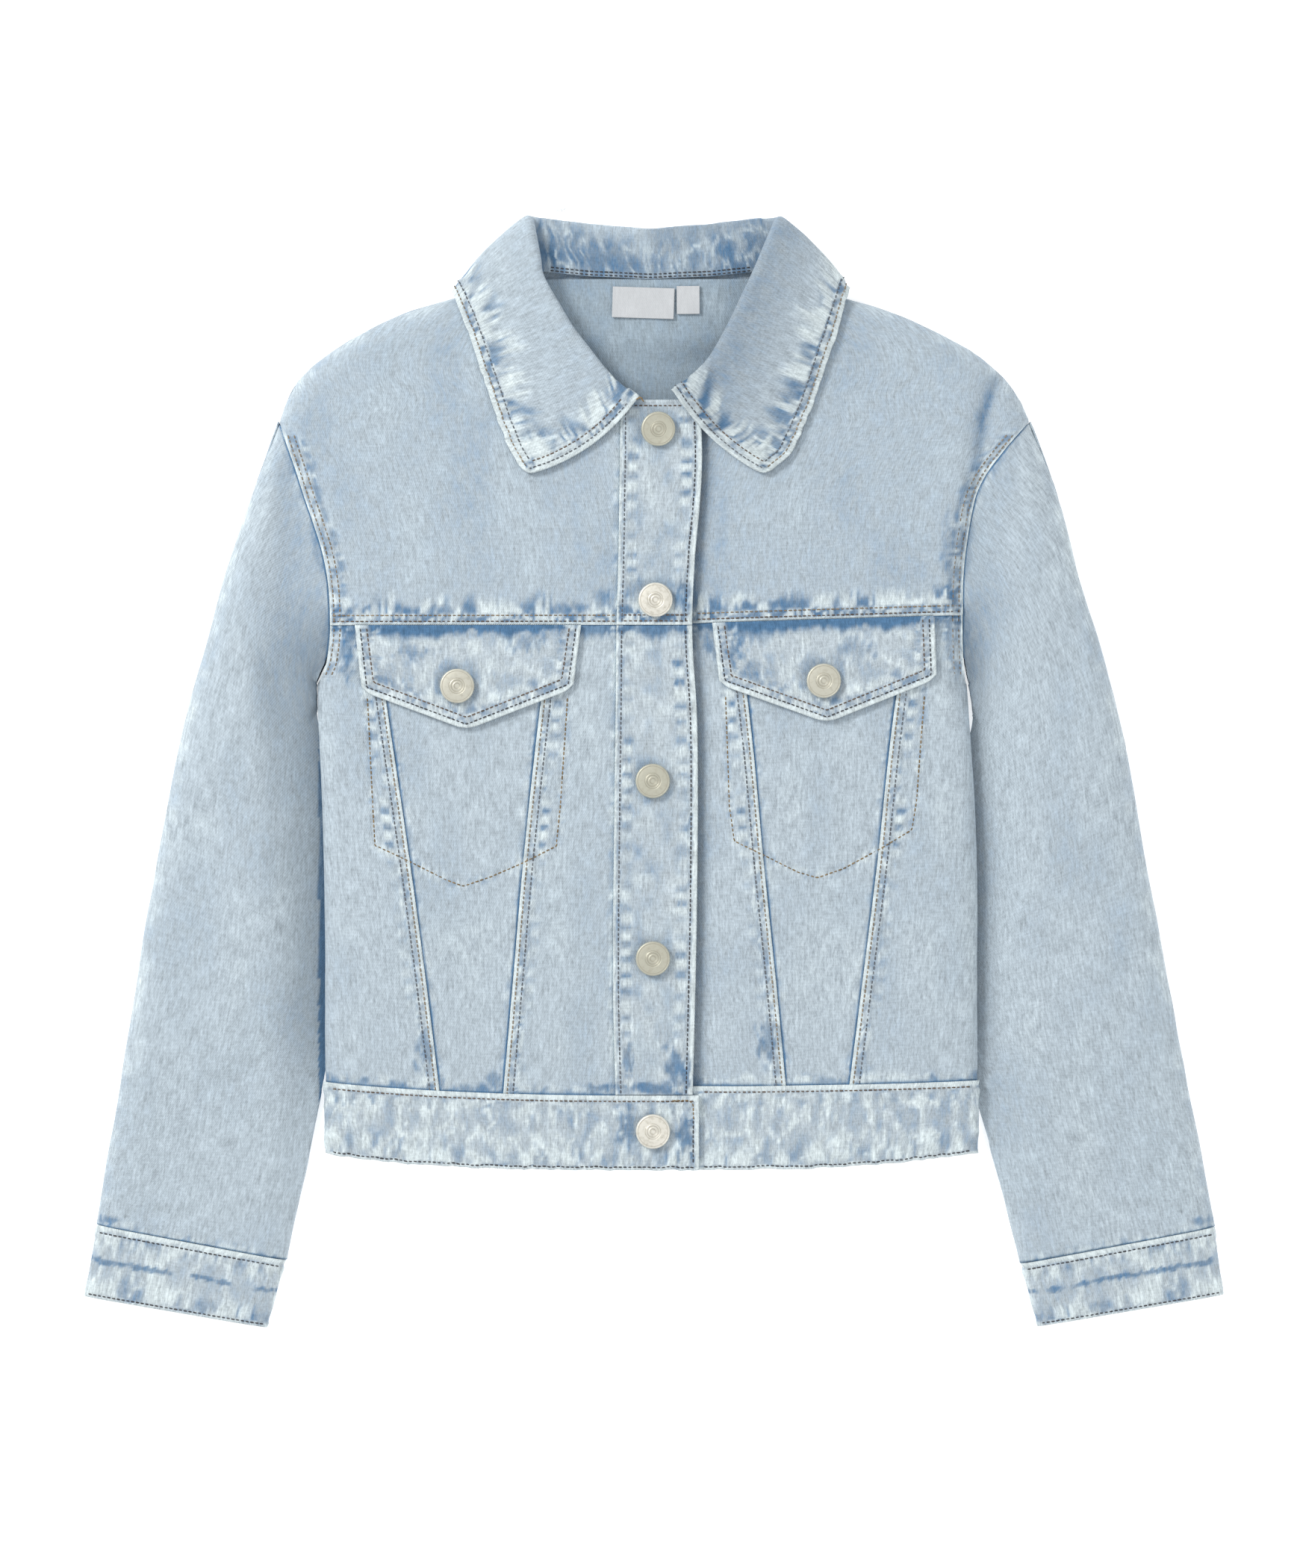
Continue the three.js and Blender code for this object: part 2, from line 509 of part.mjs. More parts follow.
function addBack() {
  const bottom = (x) => hemY(x) + 35.2;
  const levels = [...EDGE_LEVELS.filter((y) => y > 180 || y === 124 || y === 60), ...SHOULDER.slice(1).map((row) => row.y)];
  const across = sharesAcross(330, { step: 46 });
  const edges = [0.02, 0.045, 0.955, 0.98];
  const inset = (y) => half + BACK_NECK_INSET.by * smooth(BACK_NECK_INSET.fromY, BACK_NECK_INSET.toY, y);
  const grid = panelGrid({
    start: (y) => bodyEdge("right")(y) + inset(y),
    end: (y) => bodyEdge("left")(y) - inset(y),
    bottom: shifted(bottom, half),
    top: () => NECK_TOP_Y,
    across: [...across, ...edges].sort((a, b) => a - b),
    along: rowShares(bottom(HEM.half), NECK_TOP_Y, levels),
    height: (x, y) => backHeight(x, y),
  });
  addMesh("back_panel", wallGeometry(grid, DENIM), DENIM_INSIDE);
  const band = panelGrid({
    start: shifted(sideFold.right, half),
    end: shifted(sideFold.left, -half),
    bottom: hemY,
    top: shifted(bottom, -half),
    across: [...across, ...edges].sort((a, b) => a - b),
    along: evenShares(35, 12),
    height: (x, y) => backHeight(x, y, BAND),
  });
  addMesh("waistband_back", wallGeometry(band, BAND), DENIM_BAND);
}

function addYoke(side) {
  const sign = side === "left" ? 1 : -1;
  const inner = (y) => {
    const front = side === "right" ? curveOf(PLACKET_EDGES, "y", "seam")(y) : UNDER_PLACKET.right;
    return y < NECKLINE[0].y ? front : neckline[side](y);
  };
  const outer = (y) => (y < SHOULDER_POINT_Y ? armhole[side](y) : shoulder[side](y));
  const grid = panelGrid({
    start: shifted(inner, sign * half),
    end: shifted(outer, -sign * half),
    bottom: shifted(yokeSeamY(side), half),
    top: () => NECK_TOP_Y,
    across: [...evenShares(120, 17).map((u) => u * 0.92), 0.955, 0.98, 1],
    along: rowShares(YOKE_SEAM[side].side, NECK_TOP_Y, [...ARMHOLE, ...SHOULDER.slice(1)].map((row) => row.y)),
    height: (x, y) => frontHeight(x, y, side),
  });
  addMesh("front_yoke_" + side, wallGeometry(grid, DENIM), DENIM_LIGHT);
}

// The three panels below a yoke: side, middle and centre, parted by the two slanting seams
function addLowerFronts(side) {
  const sign = side === "left" ? 1 : -1;
  const outerSeam = curveOf(V_SEAMS, "y", side + "Outer");
  const innerSeam = curveOf(V_SEAMS, "y", side + "Inner");
  const frontEdge = side === "right" ? curveOf(PLACKET_EDGES, "y", "seam") : () => UNDER_PLACKET.right;
  const edge = (y) => (y < UNDERARM_Y ? sideFold[side](y) : armhole[side](y));
  const along = rowShares(waistTopY(side)(HEM.half), YOKE_SEAM[side].side, EDGE_LEVELS);
  const panel = (name, from, to, across) => {
    const grid = panelGrid({
      start: shifted(from, sign * half),
      end: shifted(to, -sign * half),
      bottom: shifted(waistTopY(side), half),
      top: shifted(yokeSeamY(side), -half),
      across,
      along,
      height: (x, y) => frontHeight(x, y, side),
    });
    addMesh(name + "_" + side, wallGeometry(grid, DENIM), DENIM_LIGHT);
  };
  panel("front_centre", frontEdge, innerSeam, evenShares(42, STEP));
  panel("front_middle", innerSeam, outerSeam, evenShares(50, STEP));
  panel("front_side", outerSeam, edge, sharesAcross(46, { foldEnd: true, step: STEP }));
}

function addPlackets() {
  const seam = curveOf(PLACKET_EDGES, "y", "seam");
  const front = curveOf(PLACKET_EDGES, "y", "front");
  const chest = () => YOKE_SEAM.right.centre;
  const strip = (name, bottom, top, length) => {
    const grid = panelGrid({
      start: shifted(seam, half),
      end: front,
      bottom: shifted(bottom, half),
      top,
      across: evenShares(39, STEP),
      along: evenShares(length, 16),
      height: (x, y) => frontHeight(x, y, "right") + 0.2,
    });
    addMesh(name, wallGeometry(grid, FACED), DENIM_BAND);
  };
  strip("placket_lower", waistTopY("right"), shifted(chest, -half), 239);
  strip("placket_upper", chest, () => PLACKET_TOP_Y, 113);
  const under = panelGrid({
    start: () => UNDER_PLACKET.left,
    end: () => UNDER_PLACKET.right - half,
    bottom: shifted(waistTopY("left"), half),
    top: () => PLACKET_TOP_Y - 2.5,
    across: evenShares(33, STEP),
    along: evenShares(350, 16),
    height: (x, y) => frontHeight(x, y, "left"),
  });
  addMesh("placket_under", wallGeometry(under, DENIM), DENIM_BAND);
}

function addWaistbands() {
  const right = panelGrid({
    start: sideFold.right,
    end: () => WAIST_TAB_X,
    bottom: hemY,
    top: shifted(waistTopY("right"), -half),
    across: sharesAcross(188, { foldStart: true, step: STEP }),
    along: evenShares(35, 9),
    height: (x, y) => frontHeight(x, y, "right", BAND),
  });
  addMesh("waistband_front_right", wallGeometry(right, BAND), DENIM_BAND);
  const left = panelGrid({
    start: () => WAIST_UNDER_X,
    end: sideFold.left,
    bottom: hemY,
    top: shifted(waistTopY("left"), -half),
    across: sharesAcross(175, { foldEnd: true, step: STEP }),
    along: evenShares(38, 9),
    height: (x, y) => frontHeight(x, y, "left", BAND),
  });
  addMesh("waistband_front_left", wallGeometry(left, BAND), DENIM_BAND);
}

function addSleeve(side) {
  const sign = side === "left" ? 1 : -1;
  const outer = sleeveOuter[side];
  const inner = sleeveInner[side];
  // Point on the armhole seam, and how far it lies from the straight line between the seam's ends
  const bowAt = (u) => {
    const y = mix(SHOULDER_POINT_Y, SLEEVE_SEAM_END_Y, u);
    return armhole[side](y) - mix(outer(0)[0], inner(0)[0], u);
  };
  const plan = (u, v) => {
    const [ox, oy] = outer(v);
    const [ix, iy] = inner(v);
    const blend = 1 - smooth(0, mix(CAP_BLEND.shoulder, CAP_BLEND.underarm, smooth(0.8, 1, u)), v);
    const corner = Math.max(smooth(0.86, 1, u), 1 - smooth(0.03, 0.08, u));
    const clearance = sign * (half + 0.12 + CORNER_EASE * corner);
    return [mix(ox, ix, u) + (bowAt(u) + clearance) * blend, mix(oy, iy, u)];
  };
  const levels = ARMHOLE.map((row) => row.y).filter((y) => y >= SLEEVE_SEAM_END_Y);
  const seamShares = levels.map((y) => (SHOULDER_POINT_Y - y) / (SHOULDER_POINT_Y - SLEEVE_SEAM_END_Y));
  const across = [...seamShares, 0.009, 0.026, 0.955, 0.98, 0.992].sort((a, b) => a - b);
  const along = [0, 0.01, 0.035, 0.06, 0.1, 0.15, 0.2, 0.26, 0.32, 0.42, 0.52, 0.62, 0.72, 0.82, 0.91, 1];
  const layer = (height, shares, rows = along) =>
    rows.map((v) =>
      shares.map((u) => {
        const [x, y] = plan(u, v);
        return new THREE.Vector3(x, y, height(x, y));
      }),
    );
  addMesh("sleeve_top_" + side, wallGeometry(layer((x, y) => sleeveHeight(x, y, side), across), DENIM), DENIM_LIGHT);
  const flatRows = along.filter((v, i) => i % 2 === 0 || i < 3 || v === 1);
  const flat = layer(() => DENIM / 2, [...seamShares].reverse(), flatRows);
  addMesh("sleeve_under_" + side, wallGeometry(flat, DENIM), DENIM_INSIDE);
}

// A cuff is a flattened ring of doubled cloth
function addCuff(side) {
  const { hemOuter, hemInner, height } = CUFFS[side];
  const seamOuter = sleeveOuter[side](1);
  const seamInner = sleeveInner[side](1);
  const stations = [0.014, 0.5, 1];
  const turns = 32;
  const bottom = BAND / 2;
  const middle = height / 2;
  const ring = (t) => {
    const o = [mix(seamOuter[0], hemOuter[0], t), mix(seamOuter[1], hemOuter[1], t)];
    const i = [mix(seamInner[0], hemInner[0], t), mix(seamInner[1], hemInner[1], t)];
    const width = Math.hypot(i[0] - o[0], i[1] - o[1]);
    const reach = 1 - BAND / width;
    return Array.from({ length: turns }, (_, k) => {
      const angle = (2 * Math.PI * k) / turns;
      const [c, s] = [Math.cos(angle), Math.sin(angle)];
      const share = 0.5 + 0.5 * reach * Math.sign(c) * Math.pow(Math.abs(c), 0.42);
      const level = Math.sign(s) * Math.pow(Math.abs(s), s > 0 ? 0.5 : 0.3);
      const z = s > 0 ? middle + (height - middle) * level : middle + (middle - bottom) * level;
      return new THREE.Vector3(mix(o[0], i[0], share), mix(o[1], i[1], share), z);
    });
  };
  const rings = stations.map(ring);
  addMesh("cuff_" + side, ringGeometry(rings, BAND), DENIM_BAND);
}

// Closed tube wall round rings of mid-surface points
function ringGeometry(rings, thickness) {
  const count = rings[0].length;
  const positions = [];
  for (const sign of [1, -1]) {
    rings.forEach((ring, r) => {
      const before = rings[Math.max(0, r - 1)];
      const after = rings[Math.min(rings.length - 1, r + 1)];
      ring.forEach((p, k) => {
        const round = ring[(k + 1) % count].clone().sub(ring[(k + count - 1) % count]);
        const along = after[k].clone().sub(before[k]);
        const normal = round.cross(along).normalize();
        const q = p.clone().addScaledVector(normal, (sign * thickness) / 2);
        positions.push(q.x, q.y, q.z);
      });
    });
  }
  const at = (layer, r, k) => (layer * rings.length + r) * count + (k % count);
  const faces = [];
  const quad = (a, b, c, d) => faces.push(a, b, c, a, c, d);
  const last = rings.length - 1;
  for (let k = 0; k < count; k++) {
    for (let r = 0; r < last; r++) {
      quad(at(0, r, k), at(0, r, k + 1), at(0, r + 1, k + 1), at(0, r + 1, k));
      quad(at(1, r, k), at(1, r + 1, k), at(1, r + 1, k + 1), at(1, r, k + 1));
    }
    quad(at(1, 0, k), at(1, 0, k + 1), at(0, 0, k + 1), at(0, 0, k));
    quad(at(0, last, k), at(0, last, k + 1), at(1, last, k + 1), at(1, last, k));
  }
  return closedGeometry(positions, faces);
}

// A flap or pocket bag: straight top, slanting sides and a pointed lower edge
function pointedGrid({ top, corner, tip }, topY, height) {
  const [x0, y0, x1, y1] = corner;
  const lower = (x) => {
    if (x < tip[0]) return mix(y0, tip[1], clamp01((x - x0) / (tip[0] - x0)));
    return mix(tip[1], y1, clamp01((x - tip[0]) / (x1 - tip[0])));
  };
  const point = (tip[0] - x0) / (x1 - x0);
  const across = [
    ...evenShares(tip[0] - x0, 14).map((u) => u * point),
    ...evenShares(x1 - tip[0], 14).slice(1).map((u) => mix(point, 1, u)),
  ];
  return evenShares(topY(tip[0]) - (y0 + tip[1]) / 2, 16).map((v) =>
    across.map((u) => {
      const foot = mix(x0, x1, u);
      const x = mix(foot, mix(top[0], top[1], u), v);
      const y = mix(lower(foot), topY(x), v);
      return new THREE.Vector3(x, y, height(x, y));
    }),
  );
}

function addPocket(side) {
  const seam = shifted(yokeSeamY(side), -half - 0.1);
  const flap = pointedGrid(FLAPS[side], seam, (x, y) => frontHeight(x, y, side) + (DENIM + FACED) / 2 + LAID);
  addMesh("pocket_flap_" + side, wallGeometry(flap, FACED), DENIM_BAND);
  const bag = pointedGrid(POCKETS[side], () => POCKET_TOP_Y, (x, y) => frontHeight(x, y, side) - DENIM - LAID);
  addMesh("pocket_bag_" + side, wallGeometry(bag, DENIM), DENIM_INSIDE);
}

// One collar section lying on the front: up the stand, round the roll and down the fall
function frontSection(row, side) {
  const [n, r, e] = [row.n, row.r, row.e].map(([x, y]) => new THREE.Vector2(x, y));
  const toNeck = n.clone().sub(r).normalize();
  const toEdge = e.clone().sub(r).normalize();
  const level = openHeight(n.x, n.y) + 0.9;
  const points = [0, 0.5].map((w) => {
    const p = n.clone().lerp(r.clone().addScaledVector(toNeck, row.roll), w);
    return new THREE.Vector3(p.x, p.y, mix(level - 0.9, level, w));
  });
  for (const degrees of COLLAR_TURN) {
    const angle = THREE.MathUtils.degToRad(degrees);
    const way = toNeck.clone().lerp(toEdge, (degrees + 90) / 180).normalize();
    const p = r.clone().addScaledVector(way, row.roll * (1 - Math.cos(angle)));
    points.push(new THREE.Vector3(p.x, p.y, level + row.roll * (1 + Math.sin(angle))));
  }
  const start = r.clone().addScaledVector(toEdge, row.roll);
  const onYoke = (x, y) => {
    const placket = x > -22 && x < 34 ? 1.1 * smooth(-22, -16, x) * (1 - smooth(27, 34, x)) : 0;
    return frontHeight(x, y, "right") + (DENIM + COLLAR) / 2 + 0.45 + placket;
  };
  const spare = level + 2 * row.roll - onYoke(start.x, start.y);
  const sideways = new THREE.Vector2(-toEdge.y, toEdge.x);
  for (const w of COLLAR_FALL) {
    const p = start.clone().lerp(e, w).addScaledVector(sideways, row.bow * 4 * w * (1 - w));
    const z = onYoke(p.x, p.y) + spare * Math.pow(1 - w, 1.4);
    points.push(new THREE.Vector3(p.x, p.y, z));
  }
  return points;
}

// The section at the shoulder, where the collar stands on edge round the fold
function shoulderSection(row, side) {
  const [n, r, e] = [row.n, row.r, row.e].map(([x, y]) => new THREE.Vector2(x, y));
  const up = r.clone().sub(e).normalize();
  const out = new THREE.Vector2(-up.y, up.x).multiplyScalar(side === "right" ? 1 : -1);
  const centre = r.clone().addScaledVector(out, -row.roll).addScaledVector(up, -row.roll);
  const z = COLLAR_LEVELS.shoulder;
  const inner = centre.clone().addScaledVector(out, -row.roll);
  const points = [0, 0.5].map((w) => {
    const p = n.clone().lerp(inner, w);
    return new THREE.Vector3(p.x, p.y, z);
  });
  for (const degrees of COLLAR_TURN) {
    const angle = THREE.MathUtils.degToRad(degrees);
    const p = centre.clone().addScaledVector(out, row.roll * Math.sin(angle));
    p.addScaledVector(up, row.roll * Math.cos(angle));
    points.push(new THREE.Vector3(p.x, p.y, z));
  }
  const start = centre.clone().addScaledVector(out, row.roll);
  for (const w of COLLAR_FALL) {
    const p = start.clone().lerp(e, w).addScaledVector(out, row.bow * 4 * w * (1 - w));
    points.push(new THREE.Vector3(p.x, p.y, z));
  }
  return points;
}

// A section at the back: the stand faces up and the fall lies under the back
function backSection(row) {
  const [n, r, e] = [row.n, row.r, row.e].map(([x, y]) => new THREE.Vector2(x, y));
  const { backNeck, backRoll, under } = COLLAR_LEVELS;
  const roll = (backRoll - under) / 2;
  const toNeck = n.clone().sub(r).normalize();
  const toEdge = e.clone().sub(r).normalize();
  const points = [0, 0.5].map((w) => {
    const p = n.clone().lerp(r.clone().addScaledVector(toNeck, roll), w);
    return new THREE.Vector3(p.x, p.y, mix(backNeck, backRoll, w));
  });
  for (const degrees of COLLAR_TURN) {
    const angle = THREE.MathUtils.degToRad(degrees);
    const way = toNeck.clone().lerp(toEdge, (degrees + 90) / 180).normalize();
    const p = r.clone().addScaledVector(way, roll * (1 - Math.cos(angle)));
    points.push(new THREE.Vector3(p.x, p.y, backRoll - roll * (1 + Math.sin(angle))));
  }
  const start = r.clone().addScaledVector(toEdge, roll);
  for (const w of COLLAR_FALL) {
    const p = start.clone().lerp(e, w);
    points.push(new THREE.Vector3(p.x, p.y, under));
  }
  return points;
}

// Rows of a table between two of its rows, column by column
const rowBetween = (a, b, t) => ({
  n: [mix(a.n[0], b.n[0], t), mix(a.n[1], b.n[1], t)],
  r: [mix(a.r[0], b.r[0], t), mix(a.r[1], b.r[1], t)],
  e: [mix(a.e[0], b.e[0], t), mix(a.e[1], b.e[1], t)],
  roll: mix(a.roll ?? 0, b.roll ?? 0, t),
  bow: mix(a.bow ?? 0, b.bow ?? 0, t),
});

// Quarter turn between two sections: the plan follows one share and the height the other
const quarterTurn = (from, to, planShare, levelShare) =>
  from.map((p, i) => {
    const q = to[i];
    return new THREE.Vector3(mix(p.x, q.x, planShare), mix(p.y, q.y, planShare), mix(p.z, q.z, levelShare));
  });

function collarHalf(side) {
  const mirror = (row) => ({ n: [-row.n[0] + 2, row.n[1]], r: [-row.r[0] + 2, row.r[1]], e: [-row.e[0] + 2, row.e[1]] });
  const rows = COLLAR_FRONT[side];
  const sections = [];
  rows.forEach((row, i) => {
    sections.push(frontSection(row, side));
    if (i < 2) sections.push(frontSection(rowBetween(row, rows[i + 1], 0.5), side));
  });
  const backRows = side === "right" ? COLLAR_BACK : COLLAR_BACK.map(mirror);
  const lastFront = sections.at(-1);
  const onEdge = shoulderSection(COLLAR_SHOULDER[side], side);
  const firstBack = backSection(backRows[0]);
  for (const degrees of COLLAR_FOLD_STEPS) {
    const angle = THREE.MathUtils.degToRad(degrees);
    sections.push(quarterTurn(lastFront, onEdge, Math.sin(angle), 1 - Math.cos(angle)));
  }
  sections.push(onEdge);
  for (const degrees of [...COLLAR_FOLD_STEPS].reverse()) {
    const angle = THREE.MathUtils.degToRad(degrees);
    sections.push(quarterTurn(onEdge, firstBack, 1 - Math.sin(angle), Math.cos(angle)));
  }
  sections.push(firstBack);
  sections.push(backSection(rowBetween(backRows[0], backRows[1], 0.5)));
  sections.push(backSection(backRows[1]));
  sections.push(backSection(rowBetween(backRows[1], backRows[2], 0.5)));
  return sections;
}

function addCollar() {
  const middle = backSection(COLLAR_BACK.at(-1));
  const sections = [...collarHalf("right"), middle, ...collarHalf("left").reverse()];
  addMesh("collar", wallGeometry(sections, COLLAR), DENIM_LIGHT);
}

// Shank button: foot, domed rim, sunk ring and raised centre
function buttonGeometry() {
  const { radius, height, foot, footHeight, sides } = BUTTON;
  const profile = [
    [0, 0],
    [foot, 0],
    [foot, footHeight],
    [radius * 0.94, footHeight],
    [radius, footHeight + 0.7],
    [radius * 0.84, height],
    [radius * 0.44, height - 0.4],
    [radius * 0.36, height - 0.8],
    [radius * 0.24, height - 0.25],
    [0, height - 0.15],
  ];
  const lathe = new THREE.LatheGeometry(profile.map(([x, y]) => new THREE.Vector2(x, y)), sides);
  return lathe.rotateX(Math.PI / 2);
}

function addButton(name, x, y, seat, tilt = 0) {
  const button = addMesh(name, buttonGeometry(), BUTTON_METAL);
  const turn = THREE.MathUtils.degToRad(tilt);
  button.rotation.set(turn, turn, 0);
  button.position.set(x, y, seat + LAID + 0.1 + BUTTON.radius * Math.sin(turn) * 0.9);
}

function addButtons() {
  FRONT_BUTTONS.forEach(({ x, y, tilt }, i) => {
    const onBand = y < WAIST_TOP.right;
    const surface = onBand
      ? frontHeight(x, y, "right", BAND) + BAND / 2
      : frontHeight(x, y, "right") + 0.2 + FACED / 2;
    addButton("button_front_" + (i + 1), x, y, surface, tilt);
  });
  for (const side of SIDES) {
    const { x, y } = FLAP_BUTTONS[side];
    addButton("button_flap_" + side, x, y, frontHeight(x, y, side) + DENIM / 2 + LAID + FACED);
  }
}

function addLabels() {
  for (const { name, centre, size, turn } of LABELS) {
    const angle = THREE.MathUtils.degToRad(turn);
    const grid = evenShares(size[1], 5).map((v) =>
      evenShares(size[0], 8).map((u) => {
        const [a, b] = [(u - 0.5) * size[0], (v - 0.5) * size[1]];
        const x = centre[0] + a * Math.cos(angle) - b * Math.sin(angle);
        const y = centre[1] + a * Math.sin(angle) + b * Math.cos(angle);
        return new THREE.Vector3(x, y, backHeight(x, y) + (DENIM + LABEL) / 2 + GAP);
      }),
    );
    addMesh(name, wallGeometry(grid, LABEL), LABEL_WHITE);
  }
}

addBack();
for (const side of SIDES) {
  addYoke(side);
  addLowerFronts(side);
  addPocket(side);
  addSleeve(side);
  addCuff(side);
}
addPlackets();
addWaistbands();
addCollar();
addButtons();
addLabels();

// The origin is the middle of the footprint, on the surface
const box = new THREE.Box3().setFromObject(jacket);
const centre = box.getCenter(new THREE.Vector3());
jacket.position.set(-centre.x, -centre.y, -box.min.z);

export default jacket;
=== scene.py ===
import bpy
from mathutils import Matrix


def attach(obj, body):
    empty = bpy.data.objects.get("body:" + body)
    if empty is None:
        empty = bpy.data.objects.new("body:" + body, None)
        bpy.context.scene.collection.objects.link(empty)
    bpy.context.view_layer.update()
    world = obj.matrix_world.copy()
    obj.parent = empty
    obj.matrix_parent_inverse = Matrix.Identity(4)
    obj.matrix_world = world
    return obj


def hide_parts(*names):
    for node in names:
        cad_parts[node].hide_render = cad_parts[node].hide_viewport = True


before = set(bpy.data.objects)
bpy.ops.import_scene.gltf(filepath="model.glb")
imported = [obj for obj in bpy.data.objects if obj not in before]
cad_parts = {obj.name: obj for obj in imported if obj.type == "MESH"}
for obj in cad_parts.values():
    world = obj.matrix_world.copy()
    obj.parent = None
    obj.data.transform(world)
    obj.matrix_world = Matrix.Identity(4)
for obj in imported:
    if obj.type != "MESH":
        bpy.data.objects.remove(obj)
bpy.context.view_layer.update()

"""A child's light-washed denim jacket, laid flat on its back and buttoned.

Lengths in the tables and shapes are millimetres in the pattern's own plan, where x runs to the wearer's
left and y from the hem to the collar. Meshes are moved to the frame and turned to metres when they are made.
"""

import logging
import math
from dataclasses import dataclass, field
from enum import Enum
from typing import Callable, Sequence

import bpy
import numpy as np

Array = np.ndarray
Line = Callable[[Array], Array]
Rgb = tuple[float, float, float]

log = logging.getLogger("denim_jacket")

FRAME_SHIFT = np.array([-2.804016, -201.386227, 0.0])
MILLIMETRE = 0.001

# Cloth and making
DENIM, BAND, FACED, COLLAR, LABEL = 1.2, 2.4, 2.0, 1.8, 1.0
GAP, LAID = 0.3, 0.45
CLOTH_SHELL = 0.8  # thickness of a dressed single layer
FACED_SHELL = FACED - 0.3  # and of a dressed faced piece
SEAM = 0.2  # how far a piece stays back from its seam line
TUCK = 2.4  # how far a lower piece runs on under a lapping one
LAP_DROP = 0.95  # how far it sinks there
BAND_HEIGHT, CUFF_LENGTH, CUFF_HALF_WIDTH = 35.2, 36.0, 47.0
BAR_PLACE = 17.0  # from a cuff's seam to the end of the cloth turned in, which shows as a blue bar
STITCH_PITCH = 2.45
SQUARE_BEAT = 9.4  # from one blue square beside a seam to the next
FOLD_REACH = 14.0
TUCKED_RISE = 34.0
UNDERARM_Y, SHOULDER_POINT_Y, NECK_TOP_Y = 246.0, 379.0, 450.0
SLEEVE_SEAM_END_Y = 256.0

# Columns: y, right, left
SIDE_FOLD = [(-4, -162.5, 166.1), (43, -163.2, 166.3), (145, -164.1, 166.3), (180, -164.9, 165.2),
             (220, -166.6, 162.8), (246, -167.6, 161.0)]
ARMHOLE = [(246, -167.6, 161.0), (251, -165.2, 160.4), (256, -163.2, 159.8), (270, -161.4, 159.4),
           (284, -161.4, 159.5), (298, -162.4, 159.7), (314, -165.5, 161.0), (330, -170.6, 163.4),
           (342, -174.8, 166.4), (352, -178.0, 171.4), (362, -181.4, 178.6), (371, -184.4, 186.0),
           (379, -187.0, 193.0)]
SHOULDER = [(379, -187.0, 193.0), (389, -183.6, 188.8), (399, -178.2, 182.2), (407, -170.4, 174.0),
            (415, -160.0, 163.6), (423, -146.6, 148.8), (431, -130.8, 131.8), (437, -115.0, 116.0),
            (441, -99.0, 101.0), (446, -86.0, 87.0), (450, -77.0, 77.5)]
NECKLINE = [(386, -15.6, 22.4), (393, -18.2, 24.8), (402, -33.5, 38.6), (412, -46.0, 49.5),
            (434, -62.6, 63.2), (450, -69.6, 69.8)]
ARMHOLE_HOLLOW = [(240, 1.6, 4.0), (262, 2.6, 6.4), (300, 2.2, 6.8), (330, 1.6, 5.2), (352, 1.0, 1.8),
                  (379, 0.4, 0.6)]
HOLLOW_WIDTH = {"body": 6.0, "sleeve": 20.0}

# Height of the yoke seam at the centre and at the side
YOKE_SEAM = {"right": (275.6, 275.4), "left": (275.8, 280.8)}
# Columns: y, right outer, right inner, left inner, left outer
V_SEAMS = [(36, -105.4, -73.7, 70.2, 101.0), (95, -112.6, -68.6, 64.6, 108.4),
           (155, -120.6, -63.4, 58.4, 115.8), (215, -129.4, -57.0, 52.8, 122.2),
           (281, -139.4, -49.0, 44.8, 130.9)]
# Columns: y, seam, front edge
PLACKET_EDGES = [(36, -16.6, 22.4), (84, -17.8, 23.6), (127, -17.8, 24.5), (185, -17.2, 25.0),
                 (229, -16.6, 24.6), (272, -16.2, 22.2), (310, -15.2, 23.6), (335, -14.8, 25.9),
                 (361, -14.4, 27.2), (391, -14.2, 26.0)]
PLACKET_TOP_Y, PLACKET_LIFT = 389.6, 0.3
UNDER_PLACKET = {"left": -11.5, "right": 21.8, "dip": 2.8, "dip_end": 50.0}
HEM = {"rise": 8.6, "bend": 3.1, "half": 164.0}
WAIST_TOP = {"right": (37.4, 6.8), "left": (42.0, 2.9)}
WAIST_TAB_X, WAIST_UNDER_X = 25.7, -9.5

# Columns: y, height over the body, height over the sleeves
LOFT = [(-80, 9.2, 8.6), (0, 9.4, 10.2), (45, 10.8, 11.6), (130, 12.6, 13.4), (220, 13.4, 14.6),
        (300, 13.2, 14.2), (360, 12.4, 12.8), (400, 11.6, 11.8), (450, 10.4, 10.6)]
SIDE_LIFT = [(-4, 1.4), (20, 2.6), (34, 3.4), (60, 3.5), (224, 3.5), (234, 3.2), (247, 0.0), (262, 0.0)]

